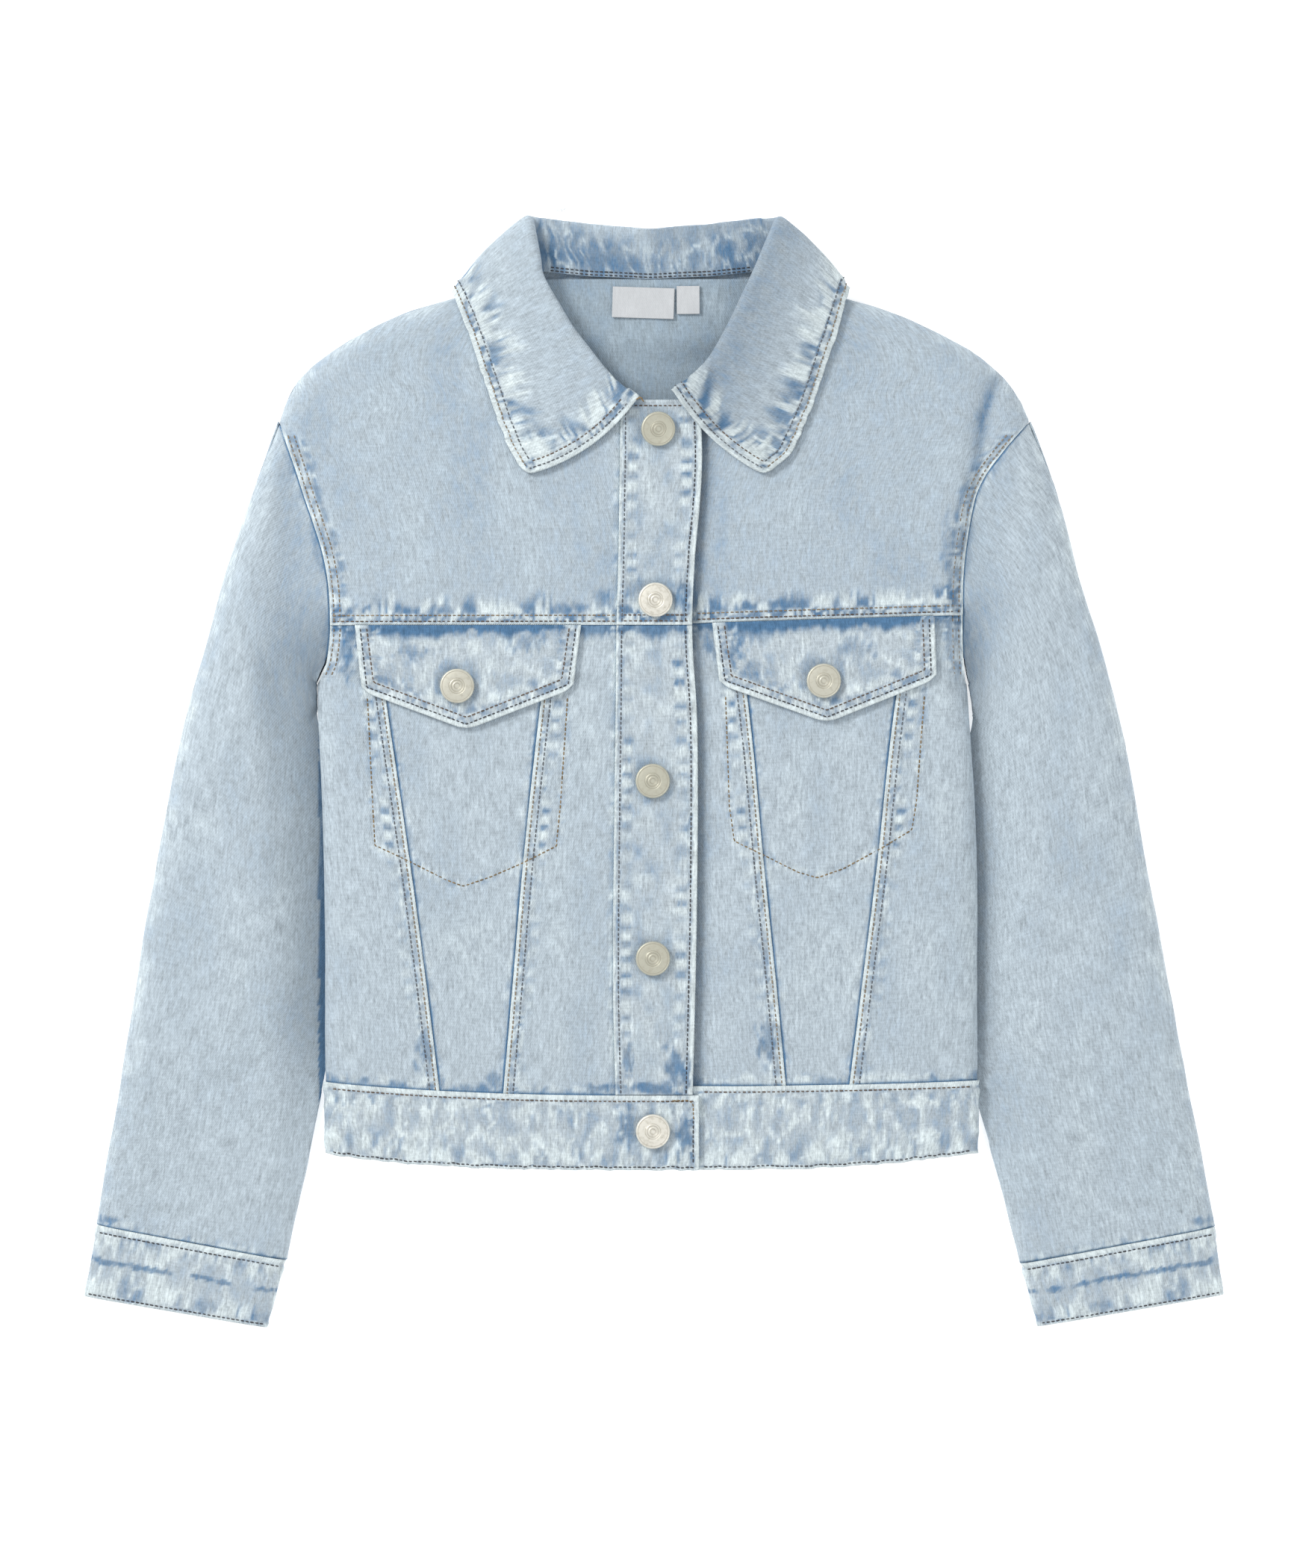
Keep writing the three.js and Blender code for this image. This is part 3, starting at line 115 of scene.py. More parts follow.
# Columns: share, then x and y of right outer, right inner, left outer, left inner
SLEEVE_SECTIONS = [
    (0.0, -187.0, 379, -163.2, 256, 193.0, 379, 159.8, 256),
    (0.06, -195.4, 357, -168.8, 246, 201.6, 358, 163.0, 246),
    (0.1, -201.0, 342, -169.2, 240, 206.8, 344, 164.4, 240),
    (0.15, -207.6, 323, -168.8, 232, 212.4, 324, 165.2, 232),
    (0.2, -213.6, 304, -167.0, 222, 217.2, 304, 164.0, 222),
    (0.32, -226.3, 259, -158.2, 200, 231.0, 259, 156.6, 200),
    (0.45, -238.1, 213, -156.2, 168, 242.4, 213, 157.0, 168),
    (0.58, -248.0, 163, -156.4, 126, 251.0, 163, 158.4, 126),
    (0.72, -257.8, 105, -157.4, 84, 261.4, 106, 159.6, 84),
    (0.84, -268.0, 42, -164.8, 47, 273.6, 43, 163.6, 47),
    (0.92, -274.0, 6, -173.4, 4, 280.6, 7, 176.2, 3),
    (1.0, -279.7, -28.4, -184.4, -46.4, 287.2, -29.6, 189.2, -48.2)]
CUFF_HEMS = {"right": ((-286.2, -64.6), (-193.4, -80.6)), "left": ((291.8, -63.8), (197.4, -80.0))}
CUFF_HEIGHT = 9.6

# Soft folds of the upper layer: from x, y, to x, y, width, height above or below
FOLDS = [
    (-182, 350, -186, 190, 13, -3.4), (-196, 330, -216, 60, 15, 1.6), (-236, 170, -200, 96, 14, -1.8),
    (-228, 30, -232, -20, 12, -1.0), (205, 352, 216, 250, 10, -1.6), (222, 240, 226, 60, 18, 1.4),
    (246, 160, 208, 110, 13, -1.6), (174, 398, 165, 345, 6, -2.6), (158, 392, 152, 322, 13, 1.6),
    (-120, 400, -92, 330, 22, -1.2), (108, 396, 84, 330, 20, -1.1), (-132, 60, -140, 150, 15, 1.0),
    (136, 60, 142, 170, 15, 1.0), (-88, 52, -92, 120, 16, -1.1), (86, 52, 88, 120, 16, -1.1)]
# Smaller creases of the dressed cloth
CREASES = [
    (-214, 296, -190, 250, 5, -0.9), (-206, 240, -222, 196, 6, 0.8), (-178, 150, -196, 128, 6, -0.9),
    (-250, 130, -226, 112, 6, -0.7), (-190, 60, -214, 44, 7, -0.8), (-258, 60, -240, 30, 7, 0.7),
    (-246, 4, -250, -22, 5, -0.7), (-208, 2, -210, -30, 6, 0.6), (182, 230, 196, 196, 7, 0.9),
    (232, 300, 214, 270, 6, -0.8), (188, 150, 206, 132, 6, -0.8), (258, 118, 236, 96, 7, -0.8),
    (186, 66, 208, 40, 7, -0.8), (262, 36, 250, 0, 6, 0.7), (214, 0, 216, -30, 6, -0.6),
    (-146, 246, -112, 300, 9, 0.6), (-64, 300, -46, 340, 8, -0.6), (58, 300, 44, 346, 8, -0.6),
    (132, 262, 118, 306, 8, 0.6), (-44, 60, -40, 120, 9, 0.6), (42, 60, 40, 120, 8, 0.6),
    (-150, 190, -132, 240, 8, -0.6), (150, 196, 134, 240, 8, -0.6)]

# Flaps and pocket bags: top x, corner points and tip, in turn from the photograph's left
FLAPS = {"right": ((-148.4, -34.0), (-145.0, 242.0, -37.8, 243.4), (-92.0, 222.4)),
         "left": ((32.4, 144.6), (36.0, 245.4, 145.6, 248.2), (90.2, 226.0))}
BAGS = {"right": ((-142.4, -40.8), (-138.4, 164.2, -46.6, 163.8), (-93.6, 143.4)),
        "left": ((38.4, 139.2), (42.8, 168.6, 133.4, 171.0), (87.2, 147.6))}
BAG_STITCH = {
    "right": [(-142.2, 238.8), (-140.0, 194.0), (-138.4, 164.1), (-122.4, 156.6), (-102.2, 146.5),
              (-93.7, 143.3), (-79.8, 148.1), (-63.8, 155.0), (-46.7, 163.6), (-44.6, 183.3),
              (-40.9, 238.8)],
    "left": [(39.0, 241.1), (41.0, 183.5), (43.5, 166.2), (59.1, 158.7), (75.6, 150.5), (85.5, 147.6),
             (98.7, 152.2), (118.4, 162.9), (133.3, 171.9), (135.7, 186.8), (139.9, 242.8)]}

# Collar sections: neck x, y, roll x, y, edge x, y, radius of the roll, bow
COLLAR_FRONT = {
    "right": [(-9.4, 387.4, -4.6, 390.4, -62.5, 351.1, 1.5, 6.2),
              (-17.6, 392.6, -11.6, 395.2, -70.2, 364.0, 1.9, 4.2),
              (-31.0, 402.4, -19.2, 401.4, -76.2, 379.0, 2.6, 2.4),
              (-44.0, 412.6, -28.3, 412.8, -81.6, 395.4, 3.0, 1.2),
              (-54.0, 424.0, -40.7, 429.5, -87.0, 411.0, 3.2, 0.6),
              (-65.0, 441.0, -52.6, 451.0, -92.6, 427.4, 3.2, 0.4)],
    "left": [(20.0, 391.6, 12.0, 393.8, 59.4, 350.9, 1.5, -4.4),
             (27.0, 395.0, 17.8, 398.4, 71.6, 361.6, 1.9, -3.0),
             (37.6, 402.4, 25.4, 404.0, 78.4, 375.4, 2.6, -1.8),
             (48.4, 412.6, 32.6, 413.0, 84.4, 390.4, 3.0, -1.0),
             (56.0, 424.0, 42.2, 430.6, 90.6, 409.0, 3.2, -0.5),
             (65.6, 441.0, 52.6, 453.0, 96.8, 427.6, 3.2, -0.4)]}
COLLAR_SHOULDER = {"right": (-67.6, 456.6, -61.1, 483.6, -99.1, 444.4, 2.2, 2.6),
                   "left": (68.6, 456.6, 66.8, 483.0, 101.4, 446.0, 2.2, 2.2)}
COLLAR_BACK = [(-56.0, 455.6, -53.0, 482.0, -84.0, 432.0), (-30.0, 453.0, -30.0, 479.2, -46.0, 428.0),
               (1.0, 451.6, 1.0, 476.8, 1.0, 426.4)]
COLLAR_LEVELS = {"shoulder": 7.6, "back_neck": 3.9, "back_roll": 5.2, "under": 0.95}

# Buttons: x, y, tilt in degrees
FRONT_BUTTONS = [(4.8, 374.8, 7.0), (3.6, 288.2, 0.0), (2.2, 196.6, 0.0), (2.3, 106.8, 0.0), (2.3, 19.2, 0.0)]
BRIGHT_BUTTONS = {"button_front_2": 1.0, "button_front_5": 1.0, "button_flap_right": 0.35,
                  "button_flap_left": 0.25}
FLAP_BUTTONS = {"right": (-96.6, 244.6), "left": (88.6, 247.2)}
# Labels: middle x, y, width, height, turn in degrees
LABELS = {"label_main": (-2.6, 439.4, 31.4, 15.6, -1.8), "label_size": (20.2, 440.8, 11.6, 14.2, 0.4)}

SIDES = ("right", "left")
COLUMN = {"right": 1, "left": 2}
SIGN = {"right": -1.0, "left": 1.0}


def mix(a: Array | float, b: Array | float, t: Array | float) -> Array:
    """Straight blend from a to b by the share t."""
    return a + (b - a) * t


def clamp01(t: Array) -> Array:
    """The share t, kept between 0 and 1."""
    return np.clip(t, 0.0, 1.0)


def smooth(start: float | Array, stop: float | Array, value: Array) -> Array:
    """Soft step: 3t^2 - 2t^3, where t is the value's share of the way from start to stop."""
    t = clamp01((value - start) / (stop - start))
    return t * t * (3 - 2 * t)


def rounded(distance: Array, reach: float = FOLD_REACH) -> Array:
    """Quarter round: 0 at a fold's edge and 1 from the reach on, sqrt(1 - (1 - t)^2)."""
    t = clamp01(distance / reach)
    return np.sqrt(np.maximum(0.0, 1 - (1 - t) ** 2))


def unit(vectors: Array) -> Array:
    """The vectors along the last axis, at length 1."""
    return vectors / np.maximum(np.linalg.norm(vectors, axis=-1, keepdims=True), 1e-9)


class Grain:
    """Smooth random value over a plane, from -1 to 1, always the same for the same seed."""

    def __init__(self, seed: int) -> None:
        """Fill the lattice of random values that the seed picks."""
        self.lattice = np.random.default_rng(seed).random((256, 256)) * 2 - 1

    def __call__(self, a: Array, b: Array | float = 0.0) -> Array:
        """Value at (a, b): the four lattice corners round the point, blended by soft steps.

        Args:
            a: first coordinate, in lattice steps.
            b: second coordinate, in lattice steps.

        Returns:
            The blended value at each point.
        """
        a, b = np.broadcast_arrays(np.asarray(a, float), np.asarray(b, float))
        ia, ib = np.floor(a).astype(int), np.floor(b).astype(int)
        ta, tb = a - ia, b - ib
        ta, tb = ta * ta * (3 - 2 * ta), tb * tb * (3 - 2 * tb)
        at = lambda i, j: self.lattice[(ia + i) & 255, (ib + j) & 255]
        return mix(mix(at(0, 0), at(1, 0), ta), mix(at(0, 1), at(1, 1), ta), tb)


GRAIN = Grain(11)


class Curve:
    """A smooth line through the rows of a table, by cubic pieces with the neighbours' slope at each row."""

    def __init__(self, rows: Sequence[Sequence[float]], column: int = 1) -> None:
        """Keep the key in the first column and the value in the given one.

        Args:
            rows: the table, in rising order of its first column.
            column: which column holds the value.
        """
        table = np.array([[row[0], row[column]] for row in rows], float)
        self.keys, self.values = table[:, 0], table[:, 1]
        before = np.maximum(np.arange(len(table)) - 1, 0)
        after = np.minimum(np.arange(len(table)) + 1, len(table) - 1)
        self.slopes = (self.values[after] - self.values[before]) / (self.keys[after] - self.keys[before])

    def __call__(self, at: Array) -> Array:
        """Value at each key: the cubic through the two rows round it with their slopes."""
        at = np.asarray(at, float)
        i = np.clip(np.searchsorted(self.keys, at) - 1, 0, len(self.keys) - 2)
        span = self.keys[i + 1] - self.keys[i]
        t = clamp01((at - self.keys[i]) / span)
        t2, t3 = t * t, t * t * t
        return ((2 * t3 - 3 * t2 + 1) * self.values[i] + (t3 - 2 * t2 + t) * span * self.slopes[i]
                + (3 * t2 - 2 * t3) * self.values[i + 1] + (t3 - t2) * span * self.slopes[i + 1])


class Track:
    """A line of points in plan, which gives each place's distance to it and the length along it."""

    def __init__(self, points: Sequence[Sequence[float]]) -> None:
        """Keep the points and the running length.

        Args:
            points: x and y of each point.
        """
        self.points = np.array(points, float)
        self.step = np.diff(self.points, axis=0)
        self.length = np.hypot(self.step[:, 0], self.step[:, 1])
        self.start = np.concatenate([[0.0], np.cumsum(self.length)])

    def nearest(self, x: Array, y: Array) -> tuple[Array, Array]:
        """Distance from each place to the line, and how far along the line its nearest point is.

        Args:
            x: places' x.
            y: places' y.

        Returns:
            The distance and the length along the line, in the shape of x.
        """
        x, y = np.broadcast_arrays(np.asarray(x, float), np.asarray(y, float))
        px, py = x.reshape(-1, 1) - self.points[:-1, 0], y.reshape(-1, 1) - self.points[:-1, 1]
        t = clamp01((px * self.step[:, 0] + py * self.step[:, 1]) / self.length ** 2)
        away = np.hypot(px - self.step[:, 0] * t, py - self.step[:, 1] * t)
        best = np.argmin(away, axis=1)
        rows = np.arange(len(best))
        along = self.start[best] + t[rows, best] * self.length[best]
        return away[rows, best].reshape(x.shape), along.reshape(x.shape)

    def distance(self, x: Array, y: Array) -> Array:
        """Distance alone."""
        return self.nearest(x, y)[0]

    def resampled(self, step: float, start: float = 0.0, stop: float | None = None) -> Array:
        """Points at even steps along the line between two lengths."""
        stop = self.start[-1] if stop is None else stop
        at = np.linspace(start, stop, max(2, int(round((stop - start) / step)) + 1))
        return np.stack([np.interp(at, self.start, self.points[:, k]) for k in (0, 1)], axis=1)


def sleeve_edge(side: str, edge: str) -> Callable[[Array], tuple[Array, Array]]:
    """The fold line of a sleeve by its share from the armhole to the cuff.

    Args:
        side: the wearer's side.
        edge: outer or inner.

    Returns:
        A function from the share to x and y.
    """
    column = 1 + 4 * (side == "left") + 2 * (edge == "inner")
    x, y = Curve(SLEEVE_SECTIONS, column), Curve(SLEEVE_SECTIONS, column + 1)
    return lambda at: (x(at), y(at))


class Lay:
    """The laid jacket's main form: edges in plan and the height of each layer."""

    def __init__(self) -> None:
        """Set up the edge curves and the fold lines."""
        self.side = {s: Curve(SIDE_FOLD, COLUMN[s]) for s in SIDES}
        self.armhole = {s: Curve(ARMHOLE, COLUMN[s]) for s in SIDES}
        self.shoulder = {s: Curve(SHOULDER, COLUMN[s]) for s in SIDES}
        self.neck = {s: Curve(NECKLINE, COLUMN[s]) for s in SIDES}
        self.hollow = {s: Curve(ARMHOLE_HOLLOW, COLUMN[s]) for s in SIDES}
        self.outer = {s: sleeve_edge(s, "outer") for s in SIDES}
        self.inner = {s: sleeve_edge(s, "inner") for s in SIDES}
        self.placket_seam, self.placket_front = Curve(PLACKET_EDGES, 1), Curve(PLACKET_EDGES, 2)
        self.body_loft, self.sleeve_loft = Curve(LOFT, 1), Curve(LOFT, 2)
        self.side_lift = Curve(SIDE_LIFT)
        share = np.arange(25) / 24
        self.upper_fold, self.body_fold, self.sleeve_fold = {}, {}, {}
        for s in SIDES:
            hem_outer, hem_inner = CUFF_HEMS[s]
            top = [(row[COLUMN[s]], row[0]) for row in reversed(SHOULDER)]
            arm = list(zip(*self.outer[s](share[1:])))
            self.upper_fold[s] = Track([*top, *arm, hem_outer])
            self.sleeve_fold[s] = Track([*zip(*self.inner[s](mix(0.06, 1.0, share))), hem_inner])
            level = mix(-12.0, UNDERARM_Y, share)
            self.body_fold[s] = Track(list(zip(self.side[s](level), level)))
        self.folds = [(Track([f[:2], f[2:4]]), f[4], f[5]) for f in FOLDS + CREASES]

    def by_side(self, x: Array, pick: Callable[[str], Array]) -> Array:
        """The value for the wearer's right where x is below zero, otherwise the one for the left."""
        return np.where(x < 0, pick("right"), pick("left"))

    def open(self, x: Array, y: Array) -> Array:
        """Height of the upper layer away from its edges.

        The loft of the body or sleeve, plus each fold's height times exp(-(distance / width)^2), less the
        hollow along the armhole, which is a bell narrow on the body and wide on the sleeve.
        """
        share = smooth(150, 196, np.abs(x))
        height = mix(self.body_loft(y), self.sleeve_loft(y), share)
        for track, width, depth in self.folds:
            height = height + depth * np.exp(-(track.distance(x, y) / width) ** 2)
        outward = self.by_side(x, lambda s: (x - self.armhole[s](y)) * SIGN[s])
        width = np.where(outward > 0, HOLLOW_WIDTH["sleeve"], HOLLOW_WIDTH["body"])
        depth = smooth(232, 250, y) * self.by_side(x, lambda s: self.hollow[s](y))
        return height - depth * np.exp(-(outward / width) ** 2)

    def back(self, x: Array, y: Array, thickness: float = DENIM) -> Array:
        """Middle of the back layer: half its thickness, lifted over the tucked sleeves and the collar."""
        inside = self.by_side(x, lambda s: np.abs(self.side[s](y)) - np.abs(x))
        edge = 1 - smooth(14, 44, inside)
        over = smooth(408, 424, y) * (1 - smooth(100, 116, np.abs(x)))
        return thickness / 2 + np.maximum(0, self.side_lift(y)) * edge + 3.3 * over

    def front(self, x: Array, y: Array, side: str, thickness: float = DENIM) -> Array:
        """Middle of the front layer: the open height, turned down to the back layer by a quarter round at
        the folds. The left front also sinks where the placket lies on it."""
        fold = self.back(x, y, thickness) + thickness + GAP
        share = self.by_side(x, lambda s: np.minimum(rounded(self.upper_fold[s].distance(x, y)),
                                                     rounded(self.body_fold[s].distance(x, y))))
        dip = 0.0
        if side == "left":
            dip = UNDER_PLACKET["dip"] * (1 - smooth(UNDER_PLACKET["right"] + 3, UNDER_PLACKET["dip_end"], x))
        return mix(fold, self.open(x, y), share) - dip

    def sleeve(self, x: Array, y: Array, side: str) -> Array:
        """Middle of a sleeve's upper layer: the open height, low at both folds and beside the body."""
        outward = (x - self.side[side](y)) * SIGN[side]
        spread = smooth(0, 12, outward)
        clear = np.maximum(smooth(0, TUCKED_RISE, outward),
                           smooth(mix(232, 204, spread), mix(246, 272, spread), y))
        share = np.minimum(np.minimum(rounded(self.upper_fold[side].distance(x, y)),
                                      rounded(self.sleeve_fold[side].distance(x, y))), clear)
        return mix(DENIM * 1.5 + GAP, self.open(x, y), share)

    def hem(self, x: Array) -> Array:
        """Height in plan of the hem, which curves up to the sides and is a little scalloped."""
        return HEM["rise"] * clamp01(np.abs(x) / HEM["half"]) ** HEM["bend"] - 0.6 + 0.55 * GRAIN(x / 3.3,
                                                                                                  77.5)

    def waist(self, side: str) -> Line:
        """The waistband's upper edge, as y at x."""
        base, rise = WAIST_TOP[side]
        return lambda x: base + rise * clamp01(np.abs(x) / HEM["half"]) ** 2.4

    def yoke_seam(self, side: str) -> Line:
        """The level chest seam, as y at x."""
        centre, outer = YOKE_SEAM[side]
        return lambda x: mix(centre, outer, clamp01(np.abs(x) / HEM["half"]))


LAY = Lay()


@dataclass
class Marks:
    """What has happened to the cloth at each place, and the shade painted on it.

    Attributes:
        relief: height added to the surface.
        pale: how far the colour is rubbed off, from 0 to 1.
        blue: how much more of the colour is left, from 0 to 1; in places it carries painted shade instead.
        soil: painted shade, which greys the cloth, from 0 to 1.
    """

    relief: Array
    pale: Array
    blue: Array
    soil: Array

    @classmethod
    def clean(cls, like: Array) -> "Marks":
        """No marks, for places in the shape of the array."""
        return cls(*(np.zeros(np.shape(like)) for _ in range(4)))

    def add(self, other: "Marks") -> "Marks":
        """Both together: relief adds up, and each tone covers what the other leaves free."""
        cover = lambda a, b: 1 - (1 - clamp01(a)) * (1 - clamp01(b))
        return Marks(self.relief + other.relief, cover(self.pale, other.pale), cover(self.blue, other.blue),
                     cover(self.soil, other.soil))


@dataclass(frozen=True)
class Wear:
    """How the cloth beside one line of sewing has drawn up, faded and kept its blue.

    Attributes:
        period: from one pucker to the next.
        reach: how far the puckers run into the cloth, from the sewn-down strip on.
        depth: height of a pucker.
        pale: whiteness of the raised parts.
        blue: depth of colour of the sunk parts.
        bias: above zero, more of the cloth is pale than blue.
        edge: width of the white rubbed edge.
        felled: width of the sewn-down strip, which has small marks of its own.
        line: width of the dark line beside the edge.
        band: depth of colour of an even band as wide as band_width.
        check: strength of a row of blue and white squares, between the distances check_from and check_to.
        check_above: length along the line below which the squares are faint.
        lift: height of the layers turned in along the edge, as wide as lift_width.
        seed: picks the pattern.
    """

    period: float = 7.0
    reach: float = 12.0
    depth: float = 0.3
    pale: float = 0.8
    blue: float = 0.5
    bias: float = 0.0
    edge: float = 0.0
    felled: float = 0.0
    line: float = 0.0
    band: float = 0.0
    band_width: float = 5.0
    check: float = 0.0
    check_from: float = 6.6
    check_to: float = 11.0
    check_above: float = -200.0
    lift: float = 0.0
    lift_width: float = 6.5
    seed: int = 1

    def marks(self, away: Array, along: Array) -> Marks:
        """Marks at a distance from the line and a length along it.

        The pucker wave is tanh of two layers of smooth noise, stretched away from the line, and it fades out
        by a ragged soft step at the reach. Raised parts turn pale and sunk parts blue. In the sewn-down strip
        the wave is a finer noise. The squares follow a sine along the line with an uneven beat.

        Args:
            away: distance from the line, below zero beyond it.
            along: length along the line.

        Returns:
            The marks.
        """
        inside = np.maximum(away, 0.0)
        beyond = np.maximum(inside - self.felled, 0.0)
        shift = 13.7 * self.seed
        plain_along = along
        along = along + 0.3 * self.period * GRAIN(along / (1.7 * self.period), shift)
        broad = GRAIN(1.5 * along / self.period + shift, beyond / (0.9 * self.reach) + shift)
        narrow = GRAIN(6.2 * along / self.period - shift, beyond / (0.6 * self.reach) + 2 * shift)
        wave = np.tanh(2.6 * (broad + 0.85 * narrow + self.bias))
        ragged = self.reach * (0.8 + 0.35 * GRAIN(1.6 * along / self.period, shift + 5.1) + 0.25 * narrow)
        fade = 1 - smooth(0.3, 1.0, beyond / np.maximum(ragged, 1.0))
        if self.felled > 0:
            sewn = 1 - smooth(self.felled - 0.5, self.felled + 0.5, inside)
            wave = mix(wave, 0.9 * np.tanh(3 * GRAIN(along / 1.7 + shift, inside / 2.4)) - 0.1, sewn)
        relief = self.depth * wave * fade * smooth(-1.0, 2.5, away)
        pale = self.pale * np.maximum(wave, 0) * fade
        blue = self.blue * np.maximum(-wave, 0) * fade
        if self.check > 0:
            swing = 2.2 * GRAIN(plain_along / 13.0, shift + 2.7)
            beat = np.sin(2 * math.pi * plain_along / SQUARE_BEAT + swing) + 0.3 * narrow
            strip = smooth(self.check_from - 0.7, self.check_from + 0.5, inside)
            strip = strip * (1 - smooth(self.check_to - 0.6, self.check_to + 0.9, inside + 0.9 * narrow))
            strength = clamp01(0.75 + 0.9 * GRAIN(plain_along / 15.0, shift + 8.8)) * self.check
            strip = strip * strength * mix(0.3, 1.0, smooth(-8.0, 8.0, plain_along - self.check_above))
            square = 0.8 * strip * smooth(0.15, 0.95, beat)
            pale = np.maximum(pale * (1 - strip), 0.85 * strip * smooth(0.0, 0.7, -beat))
            blue = np.maximum(blue * (1 - strip), square)
            relief = relief - 0.25 * strip * beat
        if self.edge > 0:
            worn = 1 - smooth(self.edge - 0.5, self.edge + 0.7, inside + 0.5 * narrow)
            pale = np.maximum(pale, 0.97 * worn)
            blue = blue * smooth(self.edge - 0.5, self.edge + 0.8, inside)
        if self.line > 0:
            blue = np.maximum(blue, 1 - smooth(self.line * 0.6, self.line * 1.6, inside))
            pale = pale * smooth(self.line * 0.6, self.line * 1.8, inside)
        if self.band > 0:
            deep = self.band_width * (1 + 0.5 * broad + 0.5 * narrow)
            kept = self.band * (1 - smooth(0.4, 1.1, inside / np.maximum(deep, 0.5)))
            blue, pale = np.maximum(blue, kept), pale * (1 - kept)
        if self.lift > 0:
            relief = relief + self.lift * (1 - smooth(self.lift_width - 1.0, self.lift_width + 1.0, inside))
        return Marks(relief, pale, blue, np.zeros(np.shape(inside)))


@dataclass(frozen=True)
class Whiskers:
    """Branching pale ridges with blue between them.

    Attributes:
        width: usual gap between two ridges.
        length: usual length of a ridge.
        pale: whiteness of the ridges.
        blue: depth of colour between them.
        seed: picks the pattern.
    """

    width: float
    length: float
    pale: float
    blue: float
    seed: int

    def marks(self, away: Array, along: Array, share: Array | float = 1.0) -> Marks:
        """Ridges where a stretched smooth noise passes through zero, and blue where it is far from zero.

        Args:
            away: distance across the ridges' ends.
            along: distance across the ridges.
            share: how much of the pattern there is.

        Returns:
            The marks.
        """
        sway = GRAIN(along / (2 * self.width), away / (0.6 * self.length) + self.seed)
        bent = along + 0.5 * self.width * sway
        wave = GRAIN(bent / self.width + 7.3 * self.seed, away / self.length + 3.1 * self.seed)
        wave = np.abs(wave + 0.35 * GRAIN(2.9 * bent / self.width, 2.2 * away / self.length + self.seed))
        ridge, sunk = 1 - smooth(0.03, 0.26, wave), smooth(0.2, 0.7, wave)
        return Marks(0.22 * ridge * share, self.pale * ridge * share, self.blue * sunk * share,
                     np.zeros(np.shape(ridge)))


# Blue kept in corners and creases: x, y, half width, half height, strength
PATCHES = [(-152, 262, 4, 14, 0.95), (153, 266, 4, 11, 0.6), (17, 289, 5, 11, 1.0), (-9, 291, 4, 9, 0.6),
           (-24, 286, 5, 9, 0.7), (30, 267, 4, 8, 0.7), (44, 264, 7, 8, 1.0), (52, 251, 6, 5, 0.7),
           (104, 262, 9, 6, 0.6), (-60, 266, 10, 5, 0.7), (-118, 262, 9, 4, 0.6), (-10, 54, 3, 8, 0.9),
           (13, 51, 7, 11, 1.0), (19, 46, 4, 9, 0.9), (1, 41, 12, 3, 1.0), (-22, 41, 9, 2.5, 0.9),
           (-10, 22, 5, 12, 0.9), (17, 14, 5, 12, 1.0), (6, 7, 5, 4, 0.7), (-113, 60, 5, 10, 0.75),
           (61, 66, 6, 10, 0.85), (-78, 44, 4, 5, 0.7), (108, 52, 4, 6, 0.5), (-272, -26, 7, 2.2, 0.9),
           (281, -26, 7, 2.4, 0.8), (-167, 316, 3, 12, 0.6), (-172, 340, 2.5, 9, 0.5),
           (150, 318, 4, 14, 0.4)]


def patches(x: Array, y: Array) -> Array:
    """Blue of all patches: exp(-(dx / half width)^2 - (dy / half height)^2), torn by noise."""
    total = np.zeros(np.shape(x))
    for px, py, wide, tall, strength in PATCHES:
        near = np.exp(-((x - px) / wide) ** 2 - ((y - py) / tall) ** 2)
        torn = near + 0.3 * GRAIN(x / 3.1 + px, y / 5.2) + 0.45 * GRAIN(x / 1.25 + px, y / 3.6)
        total = np.maximum(total, 0.85 * strength * smooth(0.15, 0.9, torn) * smooth(0.03, 0.2, near))
    return total


def with_patches(made: Marks, x: Array, y: Array) -> Marks:
    """The marks with the patches over them, which also take away the pale parts."""
    kept = patches(x, y)
    return Marks(made.relief, made.pale * (1 - 0.85 * kept), np.maximum(made.blue, kept), made.soil)


class Lap(Enum):
    """How a piece ends: over its neighbour, under it, free, or at a fold."""

    OVER = "over"
    UNDER = "under"
    FREE = "free"
    FOLD = "fold"


class End(Enum):
    """Which end of a panel: two given as x at y, and two as y at x."""

    START = "start"
    STOP = "stop"
    BOTTOM = "bottom"
    TOP = "top"


def steps_along(length: float, first: Lap, last: Lap, coarse: float = 1.9, fine: float = 0.85) -> Array:
    """Shares from 0 to 1 along a length, close beside seams and closest at folds.

    Args:
        length: the length to cover.
        first: how the piece ends at 0.
        last: how it ends at 1.
        coarse: step in the open cloth.
        fine: step beside a seam.

    Returns:
        The shares.
    """
    def run(kind: Lap) -> Array:
        """Places in from one end."""
        reach = min(13.0, length * 0.4)
        if kind is Lap.FOLD:
            return (FOLD_REACH if length > 40 else reach) * np.linspace(0, 1, 18) ** 2
        return np.arange(0, reach, fine)

    start, stop = run(first), length - run(last)[::-1]
    count = max(1, int(round((stop[0] - start[-1]) / coarse)))
    middle = np.linspace(start[-1], stop[0], count + 1)[1:-1]
    return np.concatenate([start, middle, stop]) / length


